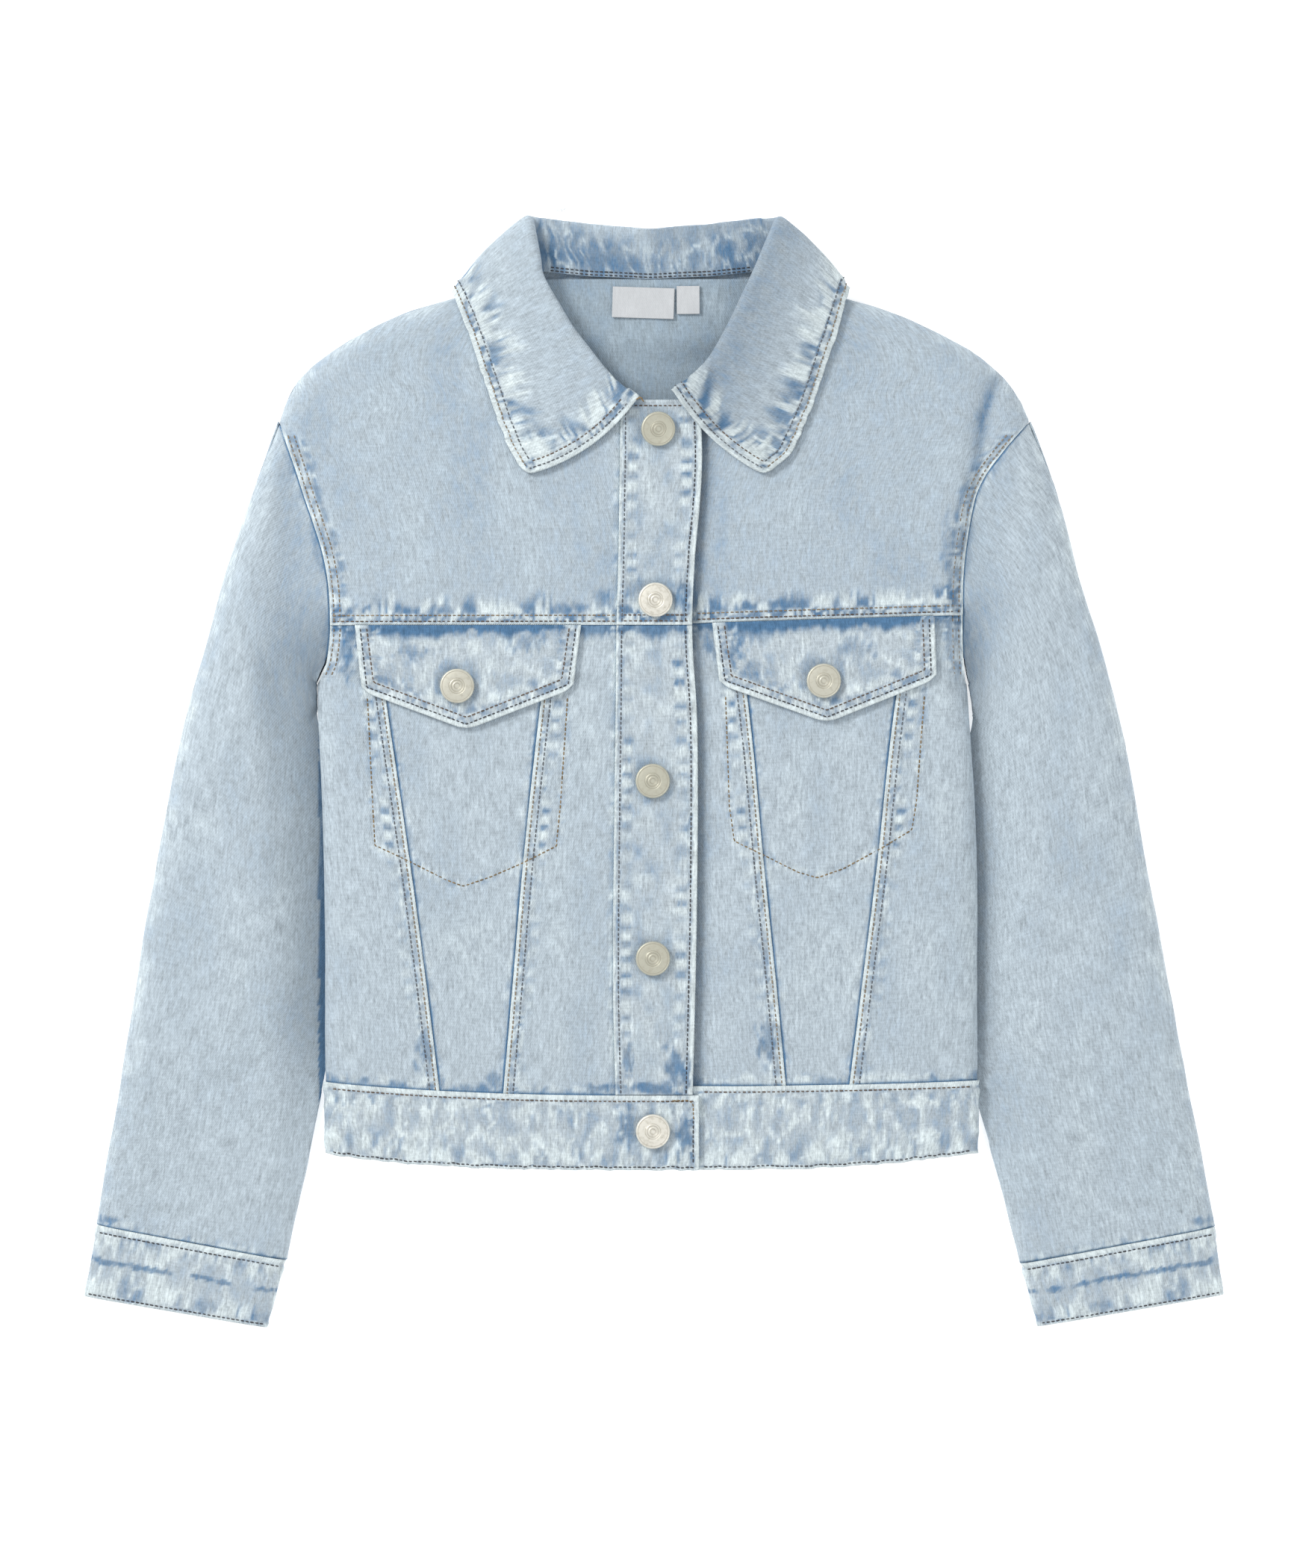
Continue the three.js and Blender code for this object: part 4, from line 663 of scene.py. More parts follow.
@dataclass
class Shell:
    """A wall of cloth as a grid of points on its outer skin and one on its inner skin.

    Attributes:
        outer: outer skin, rows by columns by 3.
        inner: inner skin.
        marks: marks at each grid point.
        ring: whether the columns close into a ring.
    """

    outer: Array
    inner: Array
    marks: Marks
    ring: bool = False

    def faces(self) -> Array:
        """Corner numbers of every quad: both skins and the rims."""
        rows, columns = self.outer.shape[:2]
        number = np.arange(rows * columns).reshape(rows, columns)
        if self.ring:
            number = np.concatenate([number, number[:, :1]], axis=1)
        below = number + rows * columns
        quads = lambda a: np.stack([a[:-1, :-1], a[:-1, 1:], a[1:, 1:], a[1:, :-1]], axis=-1).reshape(-1, 4)
        rim = lambda a, b: np.stack([a[:-1], b[:-1], b[1:], a[1:]], axis=-1)
        parts = [quads(number), quads(below)[:, ::-1],
                 rim(number[0], below[0]), rim(below[-1], number[-1])]
        if not self.ring:
            parts += [rim(below[:, 0], number[:, 0]), rim(number[:, -1], below[:, -1])]
        return np.concatenate(parts)

    def cut(self) -> tuple[Array, Array]:
        """Lengths across and along the cloth at each grid point, as measured on its outer skin."""
        across = np.linalg.norm(np.diff(self.outer, axis=1), axis=2)
        along = np.linalg.norm(np.diff(self.outer, axis=0), axis=2)
        u = np.pad(np.cumsum(across, axis=1), ((0, 0), (1, 0)))
        v = np.pad(np.cumsum(along, axis=0), ((1, 0), (0, 0)))
        middle = v.shape[1] // 2
        return u - np.median(u, axis=1, keepdims=True), np.broadcast_to(v[:, middle:middle + 1], v.shape)

    def area(self) -> float:
        """Area of the outer skin, from the cross products of each cell's sides."""
        a = np.diff(self.outer[:-1], axis=1)
        b = np.diff(self.outer[:, :-1], axis=0)
        return float(np.linalg.norm(np.cross(a, b), axis=2).sum())


def grid_normals(points: Array, ring: bool = False) -> Array:
    """Unit normal at each grid point: the cross product of the differences to its neighbours."""
    if ring:
        across = np.roll(points, -1, axis=1) - np.roll(points, 1, axis=1)
    else:
        across = np.gradient(points, axis=1)
    return unit(np.cross(across, np.gradient(points, axis=0)))


def wall(middle: Array, thickness: float, marks: Marks, shell: float | None = None, ring: bool = False,
         facing: Array | None = None) -> Shell:
    """Close a wall round a grid of mid-surface points, with the marks' relief on its outer skin.

    Args:
        middle: grid of points.
        thickness: thickness of the plain wall, whose outer skin is kept.
        marks: marks at each grid point.
        shell: thickness of the dressed wall, the same as the plain one if left out.
        ring: whether the columns close into a ring.
        facing: for each grid point or for all, the way that the outer skin faces.

    Returns:
        The wall.
    """
    normal = grid_normals(middle, ring)
    way = np.array([0.0, 0.0, 1.0]) if facing is None else facing
    if np.sum(normal * way) < 0:
        normal = -normal
    outer = middle + normal * (thickness / 2 + marks.relief)[..., None]
    inner = outer - normal * (thickness if shell is None else shell)
    outer[..., 2] = np.maximum(outer[..., 2], 0.0)
    inner[..., 2] = np.maximum(inner[..., 2], 0.05)
    return Shell(outer, inner, marks, ring)


class Finish(Enum):
    """The finishes of the jacket."""

    DENIM = "denim"
    DOUBLED = "denim_doubled"
    PLAIN = "denim_plain"
    LABEL = "label"
    METAL = "button_metal"


class Thread(Enum):
    """Sewing threads, by the colour that they have faded to."""

    TAN = "thread_tan"
    GOLD = "thread_gold"
    BROWN = "thread_brown"
    GREY = "thread_grey"
    DARK = "thread_dark"


@dataclass(frozen=True)
class ClothFinish:
    """A washed twill.

    Attributes:
        base: colour of the evenly worn cloth.
        pale: colour of the rubbed ridges.
        deep: colour of the sunk places.
        slub: strength of the streaks along the grain.
        weave: height of the twill lines.
        roughness: of the surface.
    """

    base: Rgb
    pale: Rgb = (0.745, 0.823, 0.825)
    deep: Rgb = (0.092, 0.200, 0.345)
    slub: float = 1.15
    weave: float = 0.35
    roughness: float = 0.92


@dataclass(frozen=True)
class ThreadFinish:
    """A matt twisted thread: its colour, and how much the colour changes along it."""

    colour: Rgb
    change: float = 0.25


CLOTHS = {
    Finish.DENIM: ClothFinish(base=(0.522, 0.598, 0.648), slub=1.35),
    Finish.DOUBLED: ClothFinish(base=(0.552, 0.622, 0.662), slub=1.4),
    Finish.PLAIN: ClothFinish(base=(0.390, 0.470, 0.525)),
    Finish.LABEL: ClothFinish(base=(0.640, 0.650, 0.655), pale=(0.70, 0.71, 0.715), slub=0.25, weave=0.15,
                              roughness=0.6),
}
THREADS = {
    Thread.TAN: ThreadFinish((0.230, 0.175, 0.115)),
    Thread.GOLD: ThreadFinish((0.215, 0.140, 0.060)),
    Thread.BROWN: ThreadFinish((0.120, 0.080, 0.055)),
    Thread.GREY: ThreadFinish((0.110, 0.115, 0.125)),
    Thread.DARK: ThreadFinish((0.045, 0.043, 0.046)),
}


class NodeSheet:
    """Small helper that lays nodes in a tree and links them."""

    def __init__(self, tree: bpy.types.NodeTree) -> None:
        """Keep the tree."""
        self.tree = tree

    def node(self, kind: str, links: dict | None = None, **settings: object) -> bpy.types.Node:
        """Add a node, give it settings, and link or fill its inputs.

        Args:
            kind: the node's type name.
            links: input names or numbers, each with a socket to link or a value to set.
            settings: attributes of the node.

        Returns:
            The node.
        """
        made = self.tree.nodes.new(kind)
        for name, value in settings.items():
            setattr(made, name, value)
        for key, value in (links or {}).items():
            socket = made.inputs[key]
            if isinstance(value, bpy.types.NodeSocket):
                self.tree.links.new(value, socket)
            else:
                socket.default_value = value
        return made

    def math(self, operation: str, a: object, b: object = 0.0, clamp: bool = False) -> bpy.types.NodeSocket:
        """Result of one sum of two values."""
        return self.node("ShaderNodeMath", {0: a, 1: b}, operation=operation, use_clamp=clamp).outputs[0]

    def blend(self, share: object, a: object, b: object, way: str = "MIX") -> bpy.types.NodeSocket:
        """Colour a mixed with colour b by a share."""
        full = lambda value: (*value, 1.0) if isinstance(value, tuple) and len(value) == 3 else value
        return self.node("ShaderNodeMix", {0: share, 6: full(a), 7: full(b)}, data_type="RGBA",
                         blend_type=way, clamp_factor=True).outputs[2]

    def noise(self, place: object, scale: float, detail: float = 2.0,
              rough: float = 0.5) -> bpy.types.NodeSocket:
        """Smooth noise from 0 to 1."""
        return self.node("ShaderNodeTexNoise", {"Vector": place, "Scale": scale, "Detail": detail,
                                                "Roughness": rough}).outputs[0]

    def stretch(self, value: object, low: float, gain: float) -> bpy.types.NodeSocket:
        """What a value has above the low one, times the gain, kept between 0 and 1."""
        return self.math("MULTIPLY", self.math("SUBTRACT", value, low, clamp=True), gain, clamp=True)

    def bump(self, strength: float, distance: float, height: object) -> bpy.types.NodeSocket:
        """Surface direction turned by a height."""
        return self.node("ShaderNodeBump", {"Strength": strength, "Distance": distance,
                                            "Height": height}).outputs[0]

    def place(self) -> bpy.types.NodeSocket:
        """The object's own coordinates."""
        return self.node("ShaderNodeTexCoord").outputs["Object"]

    def masks(self) -> bpy.types.bpy_prop_collection:
        """The mesh's colour attribute in its parts: rubbed, kept blue, painted shade."""
        wash_and_shade = self.node("ShaderNodeAttribute", attribute_name="wash_and_shade")
        return self.node("ShaderNodeSeparateColor", {0: wash_and_shade.outputs["Color"]}).outputs

    def give(self, out: dict, **made: bpy.types.NodeSocket) -> bpy.types.NodeTree:
        """Link the results to a group's outputs, and hand back the group."""
        for name, socket in made.items():
            self.tree.links.new(socket, out[name])
        return self.tree

    def shader(self, links: dict) -> None:
        """The surface shader with its inputs, and the material's output."""
        surface = self.node("ShaderNodeBsdfPrincipled", links).outputs[0]
        self.node("ShaderNodeOutputMaterial", {"Surface": surface})


def new_group(name: str, inputs: dict[str, tuple[str, object]], outputs: dict[str, str]) -> tuple[NodeSheet,
                                                                                                  dict, dict]:
    """Start a shader node group with named sockets.

    Args:
        name: the group's name.
        inputs: for each input, its kind and starting value.
        outputs: for each output, its kind.

    Returns:
        The sheet to lay nodes in, the input sockets by name, and the output sockets by name.
    """
    kinds = {"value": "NodeSocketFloat", "colour": "NodeSocketColor", "vector": "NodeSocketVector"}
    tree = bpy.data.node_groups.new(name, "ShaderNodeTree")
    for key, (kind, start) in inputs.items():
        socket = tree.interface.new_socket(name=key, in_out="INPUT", socket_type=kinds[kind])
        if start is not None:
            socket.default_value = start
    for key, kind in outputs.items():
        tree.interface.new_socket(name=key, in_out="OUTPUT", socket_type=kinds[kind])
    sheet = NodeSheet(tree)
    source, target = sheet.node("NodeGroupInput"), sheet.node("NodeGroupOutput")
    return sheet, {k: source.outputs[k] for k in inputs}, {k: target.inputs[k] for k in outputs}


class Dyehouse:
    """Makes the materials and the node groups that they share."""

    def __init__(self) -> None:
        """Build the groups, then the materials."""
        self.slub = self.slub_group()
        self.twill = self.twill_group()
        self.wash_and_shade = self.wash_and_shade_group()
        self.cloths = {finish: self.cloth(finish, look) for finish, look in CLOTHS.items()}
        self.threads = {thread: self.thread(thread.value, look) for thread, look in THREADS.items()}
        self.yarn = self.thread("loose_yarn", ThreadFinish((0.56, 0.63, 0.66), 0.1))
        self.metal = self.button_metal()

    def slub_group(self) -> bpy.types.NodeTree:
        """Yarn streaks: noise stretched along the grain, mottle, and small bright specks."""
        sheet, given, out = new_group("Slub yarn", {"Cut": ("vector", None), "Strength": ("value", 1.0)},
                                      {"Tone": "value", "Ragged": "value"})

        def layer(across: float, along: float, detail: float, rough: float) -> bpy.types.NodeSocket:
            """One layer of noise on the cut, scaled across and along the grain."""
            scaled = sheet.node("ShaderNodeMapping", {"Vector": given["Cut"], "Scale": (across, along, 1.0)})
            return sheet.noise(scaled.outputs[0], 1.0, detail, rough)

        streak, mottle = layer(760.0, 120.0, 2.0, 0.6), layer(150.0, 110.0, 3.0, 0.6)
        fine, cross = layer(1500.0, 420.0, 1.0, 0.5), layer(240.0, 1150.0, 1.0, 0.5)
        total = 0.0
        for noise, weight in ((streak, 0.62), (mottle, 0.34), (fine, 0.42), (cross, 0.24)):
            total = sheet.math("ADD", total,
                               sheet.math("MULTIPLY", sheet.math("SUBTRACT", noise, 0.5), weight))
        ragged = sheet.math("ADD", sheet.math("MULTIPLY", mottle, 0.6), sheet.math("MULTIPLY", streak, 0.4))
        return sheet.give(out, Tone=sheet.math("MULTIPLY", total, given["Strength"]), Ragged=ragged)

    def twill_group(self) -> bpy.types.NodeTree:
        """Twill: diagonal ridges, one for each yarn, as a height and a faint tone."""
        sheet, given, out = new_group("Twill weave", {"Cut": ("vector", None), "Pitch": ("value", 0.0011)},
                                      {"Height": "value", "Tone": "value"})
        parts = sheet.node("ShaderNodeSeparateXYZ", {0: given["Cut"]}).outputs
        diagonal = sheet.math("ADD", parts[0], sheet.math("MULTIPLY", parts[1], 0.62))
        turns = sheet.math("MULTIPLY", sheet.math("DIVIDE", diagonal, given["Pitch"]), 2 * math.pi)
        ridge = sheet.math("SINE", turns)
        return sheet.give(out, Height=sheet.math("ADD", sheet.math("MULTIPLY", ridge, 0.5), 0.5),
                          Tone=sheet.math("MULTIPLY", ridge, 0.02))

    def wash_and_shade_group(self) -> bpy.types.NodeTree:
        """Stone wash and painted shade: the base colour goes to the deep one and the pale one by ragged
        masks, is greyed by the painted shade mask, and is toned.
        """
        sheet, given, out = new_group(
            "Stone wash",
            {**{name: ("colour", (0.5, 0.5, 0.5, 1)) for name in ("Base", "Pale", "Deep")},
             **{name: ("value", 0.0) for name in ("Rubbed", "Kept", "Soil", "Tone", "Ragged")}},
            {"Color": "colour", "Height": "value"})

        def torn(mask: bpy.types.NodeSocket, amount: float) -> bpy.types.NodeSocket:
            """The mask, made uneven by the yarns: m + amount * (ragged - 1/2) * 4 m (1 - m)."""
            spread = sheet.math("MULTIPLY", sheet.math("MULTIPLY", mask, sheet.math("SUBTRACT", 1.0, mask)),
                                4.0)
            push = sheet.math("MULTIPLY", sheet.math("SUBTRACT", given["Ragged"], 0.5), amount)
            return sheet.math("ADD", mask, sheet.math("MULTIPLY", spread, push), clamp=True)

        rubbed = torn(given["Rubbed"], 2.6)
        colour = sheet.blend(torn(given["Kept"], 2.4), given["Base"], given["Deep"])
        colour = sheet.blend(rubbed, colour, given["Pale"])
        # Painted shade: the colour is pulled towards a dark blue-grey by the painted shade mask.
        colour = sheet.blend(given["Soil"], colour, (0.06, 0.085, 0.11))
        gain = sheet.math("ADD", given["Tone"], 1.0)
        grey = sheet.node("ShaderNodeCombineColor", {0: gain, 1: gain, 2: gain}).outputs[0]
        return sheet.give(out, Color=sheet.blend(1.0, colour, grey, "MULTIPLY"),
                          Height=sheet.math("ADD", given["Tone"], sheet.math("MULTIPLY", rubbed, 0.4)))

    @staticmethod
    def begin(name: str) -> tuple[bpy.types.Material, NodeSheet]:
        """A new material with an empty node tree."""
        made = bpy.data.materials.new(name)
        made.use_nodes = True
        made.node_tree.nodes.clear()
        return made, NodeSheet(made.node_tree)

    def cloth(self, finish: Finish, look: ClothFinish) -> bpy.types.Material:
        """A washed cloth.

        Args:
            finish: which finish it is.
            look: its colours and strengths.

        Returns:
            The material.
        """
        made, sheet = self.begin(finish.value + "_cloth")
        cut, masks = sheet.node("ShaderNodeUVMap", uv_map="cut").outputs[0], sheet.masks()
        slub = sheet.node("ShaderNodeGroup", {"Cut": cut, "Strength": look.slub}, node_tree=self.slub).outputs
        twill = sheet.node("ShaderNodeGroup", {"Cut": cut}, node_tree=self.twill).outputs
        washed_and_shaded = sheet.node("ShaderNodeGroup", {
            "Base": (*look.base, 1.0), "Pale": (*look.pale, 1.0), "Deep": (*look.deep, 1.0),
            "Rubbed": masks[0], "Kept": masks[1], "Soil": masks[2], "Ragged": slub["Ragged"],
            "Tone": sheet.math("ADD", slub["Tone"], twill["Tone"])}, node_tree=self.wash_and_shade).outputs
        height = sheet.math("ADD", sheet.math("MULTIPLY", twill["Height"], look.weave), washed_and_shaded["Height"])
        sheet.shader({"Base Color": washed_and_shaded["Color"], "Normal": sheet.bump(0.55, 0.00035, height),
                      "Roughness": look.roughness, "Specular IOR Level": 0.15, "Sheen Weight": 0.12,
                      "Sheen Roughness": 0.6})
        return made

    def thread(self, name: str, look: ThreadFinish) -> bpy.types.Material:
        """A sewing thread whose tone changes along the row, from noise on the object's coordinates."""
        made, sheet = self.begin(name)
        place = sheet.place()
        light = tuple(min(1.0, c * (1 + 3.2 * look.change) + 0.03) for c in look.colour)
        share = sheet.stretch(sheet.noise(place, 160.0), 0.38, 2.6)
        twist = sheet.node("ShaderNodeTexWave",
                           {"Vector": place, "Scale": 900.0, "Distortion": 1.0}).outputs[1]
        sheet.shader({"Base Color": sheet.blend(share, look.colour, light),
                      "Normal": sheet.bump(0.4, 0.0001, twist), "Roughness": 0.8})
        return made

    def button_metal(self) -> bpy.types.Material:
        """Antique nickel: warm, darker in the sunk rings, and paler on the buttons that are rubbed most."""
        made, sheet = self.begin("button_nickel")
        masks, noise = sheet.masks(), sheet.noise(sheet.place(), 500.0, 4.0)
        colour = sheet.blend(masks[0], (0.640, 0.620, 0.500), (0.960, 0.915, 0.800))
        colour = sheet.blend(masks[1], colour, (0.30, 0.265, 0.19))
        colour = sheet.blend(sheet.stretch(noise, 0.48, 2.2), colour, (0.50, 0.46, 0.36))
        rough = sheet.math("ADD", sheet.math("MULTIPLY", noise, 0.2), 0.36)
        sheet.shader({"Base Color": colour, "Roughness": rough, "Metallic": 0.45,
                      "Normal": sheet.bump(0.2, 0.0001, noise)})
        return made


def make_mesh(name: str, points: Array, faces: Array, material: bpy.types.Material, wash_and_shade: Array | None = None,
              cut: tuple[Array, Array] | None = None) -> bpy.types.Object:
    """Put points and faces into a mesh object at the origin, facing outwards.

    Args:
        name: the object's name.
        points: points in the pattern's plan, in millimetres.
        faces: corner numbers, all of one count.
        material: its finish.
        wash_and_shade: for each point, how rubbed and how blue it is, and how much shade is painted on it.
        cut: for each point, its place on the flat cloth, across and along, in millimetres.

    Returns:
        The object.
    """
    first = points[faces[:, 0]]
    volume = sum(np.einsum("ij,ij->", first, np.cross(points[faces[:, k]], points[faces[:, k + 1]]))
                 for k in range(1, faces.shape[1] - 1))
    if volume < 0:
        faces = faces[:, ::-1]
    mesh = bpy.data.meshes.new(name)
    mesh.from_pydata((points + FRAME_SHIFT) * MILLIMETRE, [], np.ascontiguousarray(faces))
    mesh.polygons.foreach_set("use_smooth", np.ones(len(mesh.polygons), dtype=bool))
    if wash_and_shade is not None:
        layer = mesh.color_attributes.new("wash_and_shade", "FLOAT_COLOR", "POINT")
        layer.data.foreach_set("color",
                               np.column_stack([wash_and_shade, np.ones(len(wash_and_shade))]).astype(np.float32).ravel())
    if cut is not None:
        corner = np.zeros(len(mesh.loops), dtype=np.int32)
        mesh.loops.foreach_get("vertex_index", corner)
        flat = np.stack([np.ravel(part) for part in cut], axis=1) * MILLIMETRE
        mesh.uv_layers.new(name="cut").data.foreach_set("uv", flat[corner].astype(np.float32).ravel())
    mesh.update()
    mesh.materials.append(material)
    made = bpy.data.objects.new(name, mesh)
    bpy.context.scene.collection.objects.link(made)
    return made


def capped_tube(rings: int, around: int) -> Array:
    """Triangles of a tube of rings of points, closed at each end by a point that comes after all rings.

    Args:
        rings: number of rings.
        around: points in each ring.

    Returns:
        Corner numbers of every triangle.
    """
    near = np.arange(around)
    after = (near + 1) % around
    sides = []
    for a in range(0, (rings - 1) * around, around):
        b = a + around
        sides += [np.stack([a + near, a + after, b + after], 1), np.stack([a + near, b + after, b + near], 1)]
    last, end = (rings - 1) * around, np.full(around, rings * around)
    caps = [np.stack([end, after, near], 1), np.stack([end + 1, last + near, last + after], 1)]
    return np.concatenate(sides + caps)


class Workroom:
    """Turns shells into cloth pieces, sews the stitches, and hangs every piece on the root body."""

    def __init__(self) -> None:
        """Make the materials and start with no stitches."""
        self.dyes = Dyehouse()
        self.rows: dict[tuple[str, Thread], list[tuple[Array, Array]]] = {}

    def piece(self, node: str, shell: Shell, finish: Finish,
              turned: bool = False) -> bpy.types.Object:
        """Make one cloth piece, in place of its solid.

        Args:
            node: the solid's name.
            shell: the piece's wall.
            finish: its cloth.
            turned: whether the grain runs across instead of along.

        Returns:
            The object.
        """
        rows, columns = shell.outer.shape[:2]
        points = np.concatenate([shell.outer.reshape(-1, 3), shell.inner.reshape(-1, 3)])
        wash_and_shade = np.stack([clamp01(part).ravel() for part in (shell.marks.pale, shell.marks.blue,
                                                            shell.marks.soil)], axis=1)
        inside = np.zeros_like(wash_and_shade)
        inside[:, 1] = 0.25
        u, v = shell.cut()
        cut = (v, u) if turned else (u, v)
        cut = tuple(np.concatenate([part.ravel(), part.ravel()]) for part in cut)
        made = make_mesh("cloth_" + node, points, shell.faces(), self.dyes.cloths[finish],
                         np.concatenate([wash_and_shade, inside]), cut)
        width, length, area = float(np.ptp(u, axis=1).max()), float(np.ptp(v, axis=0).max()), shell.area()
        if shell.ring:
            width += float(np.linalg.norm(shell.outer[:, 0] - shell.outer[:, -1], axis=1).max())
        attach(made, "root")
        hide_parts(node)
        log.info("%s: %d by %d points, cut %.0f x %.0f mm", node, rows, columns, width, length)
        return made

    def sew(self, owner: str, thread: Thread, points: Array, pitch: float = STITCH_PITCH,
            up: Array | None = None) -> None:
        """Lay one row of stitches along a line on the cloth.

        Args:
            owner: the assembly that the row belongs to.
            thread: its thread.
            points: points of the line, already at the cloth's surface.
            pitch: from one stitch to the next.
            up: the cloth's normal at each point, straight up if left out.
        """
        length = np.concatenate([[0.0], np.cumsum(np.linalg.norm(np.diff(points, axis=0), axis=1))])
        count = max(1, int(length[-1] / pitch))
        at = (np.arange(count) + 0.5) * length[-1] / count
        along = lambda values, where: np.stack([np.interp(where, length, values[:, k]) for k in range(3)],
                                               axis=1)
        ahead, behind = along(points, at + 1.0), along(points, at - 1.0)
        way = unit(ahead - behind)
        normal = along(up, at) if up is not None else np.broadcast_to([0.0, 0.0, 1.0], way.shape)
        side = unit(np.cross(normal, way))
        frame_of = np.stack([way, side, np.cross(way, side)], axis=1)
        self.rows.setdefault((owner, thread), []).append((along(points, at), frame_of))

    def finish_stitches(self) -> None:
        """Make one mesh of each assembly's rows in each thread.

        A stitch is a spindle, 2.1 mm long and 0.7 mm wide: three rings of five points, and a point at
        each end.
        """
        angle = np.arange(5) * 2 * math.pi / 5
        rings = [(-0.68, 0.29), (0.0, 0.36), (0.68, 0.29)]
        form = [(a, r * math.cos(t), r * math.sin(t) + 0.1) for a, r in rings for t in angle]
        form = np.array(form + [(-1.05, 0.0, -0.14), (1.05, 0.0, -0.14)])
        spindle = capped_tube(3, 5)
        for number, ((owner, thread), rows) in enumerate(self.rows.items()):
            place = np.concatenate([row[0] for row in rows])
            turn = np.concatenate([row[1] for row in rows])
            size = np.random.default_rng(90 + number).uniform(0.85, 1.12, (len(place), 1, 1))
            points = place[:, None] + np.einsum("pk,nkj->npj", form, turn) * size
            faces = spindle[None] + (np.arange(len(place)) * len(form))[:, None, None]
            made = make_mesh(f"stitches_{owner}_{thread.name.lower()}", points.reshape(-1, 3),
                             faces.reshape(-1, 3), self.dyes.threads[thread])
            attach(made, "root")
            log.info("%s: %d stitches", made.name, len(place))


@dataclass
class Panel:
    """One flat-cut piece of the body between two edges given as x at y and two ends given as y at x.

    Attributes:
        node: the solid that it dresses.
        start: first side edge.
        stop: second side edge.
        bottom: lower end.
        top: upper end.
        height: height of the mid-surface at x and y.
        thickness: the plain wall's thickness.
        laps: how it ends on each of its four sides.
        wear: the wear beside some of its ends.
        extra: more marks, as a function of x and y.
        shell: the dressed wall's thickness.
    """

    node: str
    start: Line
    stop: Line
    bottom: Line
    top: Line
    height: Callable[[Array, Array], Array]
    thickness: float = DENIM
    laps: dict[End, Lap] = field(default_factory=dict)
    wear: dict[End, Wear] = field(default_factory=dict)
    extra: Callable[[Array, Array], Marks] | None = None
    shell: float = CLOTH_SHELL

    def away(self, end: End, x: Array, y: Array) -> Array:
        """Distance in from an end: the gap in x or y times the cosine of the edge's slope."""
        if end in (End.START, End.STOP):
            edge = self.start if end is End.START else self.stop
            way = np.sign(np.mean(self.stop(y)) - np.mean(self.start(y))) * (1 if end is End.START else -1)
            slope = (edge(y + 1.0) - edge(y - 1.0)) / 2
            return (x - edge(y)) * way / np.sqrt(1 + slope ** 2)
        return (y - self.bottom(x)) if end is End.BOTTOM else (self.top(x) - y)

    def marks(self, x: Array, y: Array) -> Marks:
        """All marks at x and y: open ripples, wear beside each end, the drop of tucked ends, and extras."""
        total = Marks.clean(x)
        total.relief = 0.34 * GRAIN(x / 21.0 + 3, y / 27.0) + 0.12 * GRAIN(x / 8.0, y / 12.0 + 9)
        total.blue = 0.12 * clamp01(GRAIN(x / 17.0, y / 34.0 + 40) + 0.2)
        total.pale = 0.14 * clamp01(GRAIN(x / 15.0 + 70, y / 30.0))
        for end, wear in self.wear.items():
            along = y if end in (End.START, End.STOP) else x
            total = total.add(wear.marks(self.away(end, x, y), along))
        for end, lap in self.laps.items():
            if lap is Lap.UNDER:
                total.relief = total.relief - LAP_DROP * (1 - smooth(-1.1, 0.5, self.away(end, x, y)))
        return with_patches(total.add(self.extra(x, y)) if self.extra else total, x, y)

    def grid(self) -> tuple[Array, Array]:
        """Grid of places in plan: x between the side edges and y between the ends, settled in four passes."""
        out = lambda end: TUCK if self.laps.get(end) is Lap.UNDER else 0.0
        middle_y = (self.bottom(self.start(np.array(0.0))) + self.top(self.start(np.array(0.0)))) / 2
        way = float(np.sign(self.stop(middle_y) - self.start(middle_y)))
        start = lambda y: self.start(y) - way * out(End.START)
        stop = lambda y: self.stop(y) + way * out(End.STOP)
        bottom = lambda x: self.bottom(x) - out(End.BOTTOM)
        top = lambda x: self.top(x) + out(End.TOP)
        lap = lambda end: self.laps.get(end, Lap.FREE)
        width = float(np.max(np.abs(stop(middle_y) - start(middle_y))))
        length = float(np.max(top(start(middle_y)) - bottom(start(middle_y))))
        u = steps_along(width, lap(End.START), lap(End.STOP))[None, :]
        v = steps_along(length, lap(End.BOTTOM), lap(End.TOP))[:, None]
        y = mix(bottom(start(middle_y)), top(start(middle_y)), v) + 0 * u
        x = mix(start(y), stop(y), u)
        for _ in range(4):
            y = mix(bottom(x), top(x), v)
            x = mix(start(y), stop(y), u)
        return x, y

    def build(self) -> Shell:
        """The dressed wall."""
        x, y = self.grid()
        middle = np.stack([x, y, self.height(x, y)], axis=-1)
        return wall(middle, self.thickness, self.marks(x, y), self.shell)

    def surface(self, x: Array, y: Array) -> Array:
        """Points on the outer skin over a line in plan."""
        z = self.height(x, y) + self.thickness / 2 + self.marks(x, y).relief
        return np.stack([x, y, z], axis=-1)

    def row(self, end: End, inset: float, start: float, stop: float) -> Array:
        """A line on the skin that runs beside an end at a distance, between two lengths along it."""
        at = np.linspace(start, stop, max(8, int(abs(stop - start) / 1.5)))
        if end in (End.START, End.STOP):
            edge = self.start if end is End.START else self.stop
            way = np.sign(np.mean(self.stop(at)) - np.mean(self.start(at))) * (1 if end is End.START else -1)
            return self.surface(edge(at) + way * inset, at)
        return self.surface(at, self.bottom(at) + inset if end is End.BOTTOM else self.top(at) - inset)


def shifted(line: Line, by: float) -> Line:
    """The same edge, moved by a distance."""
    return lambda at: line(at) + by


def level(at: float) -> Line:
    """An edge that stays at one value."""
    return lambda x: np.full(np.shape(x), float(at)) if np.ndim(x) else np.array(float(at))


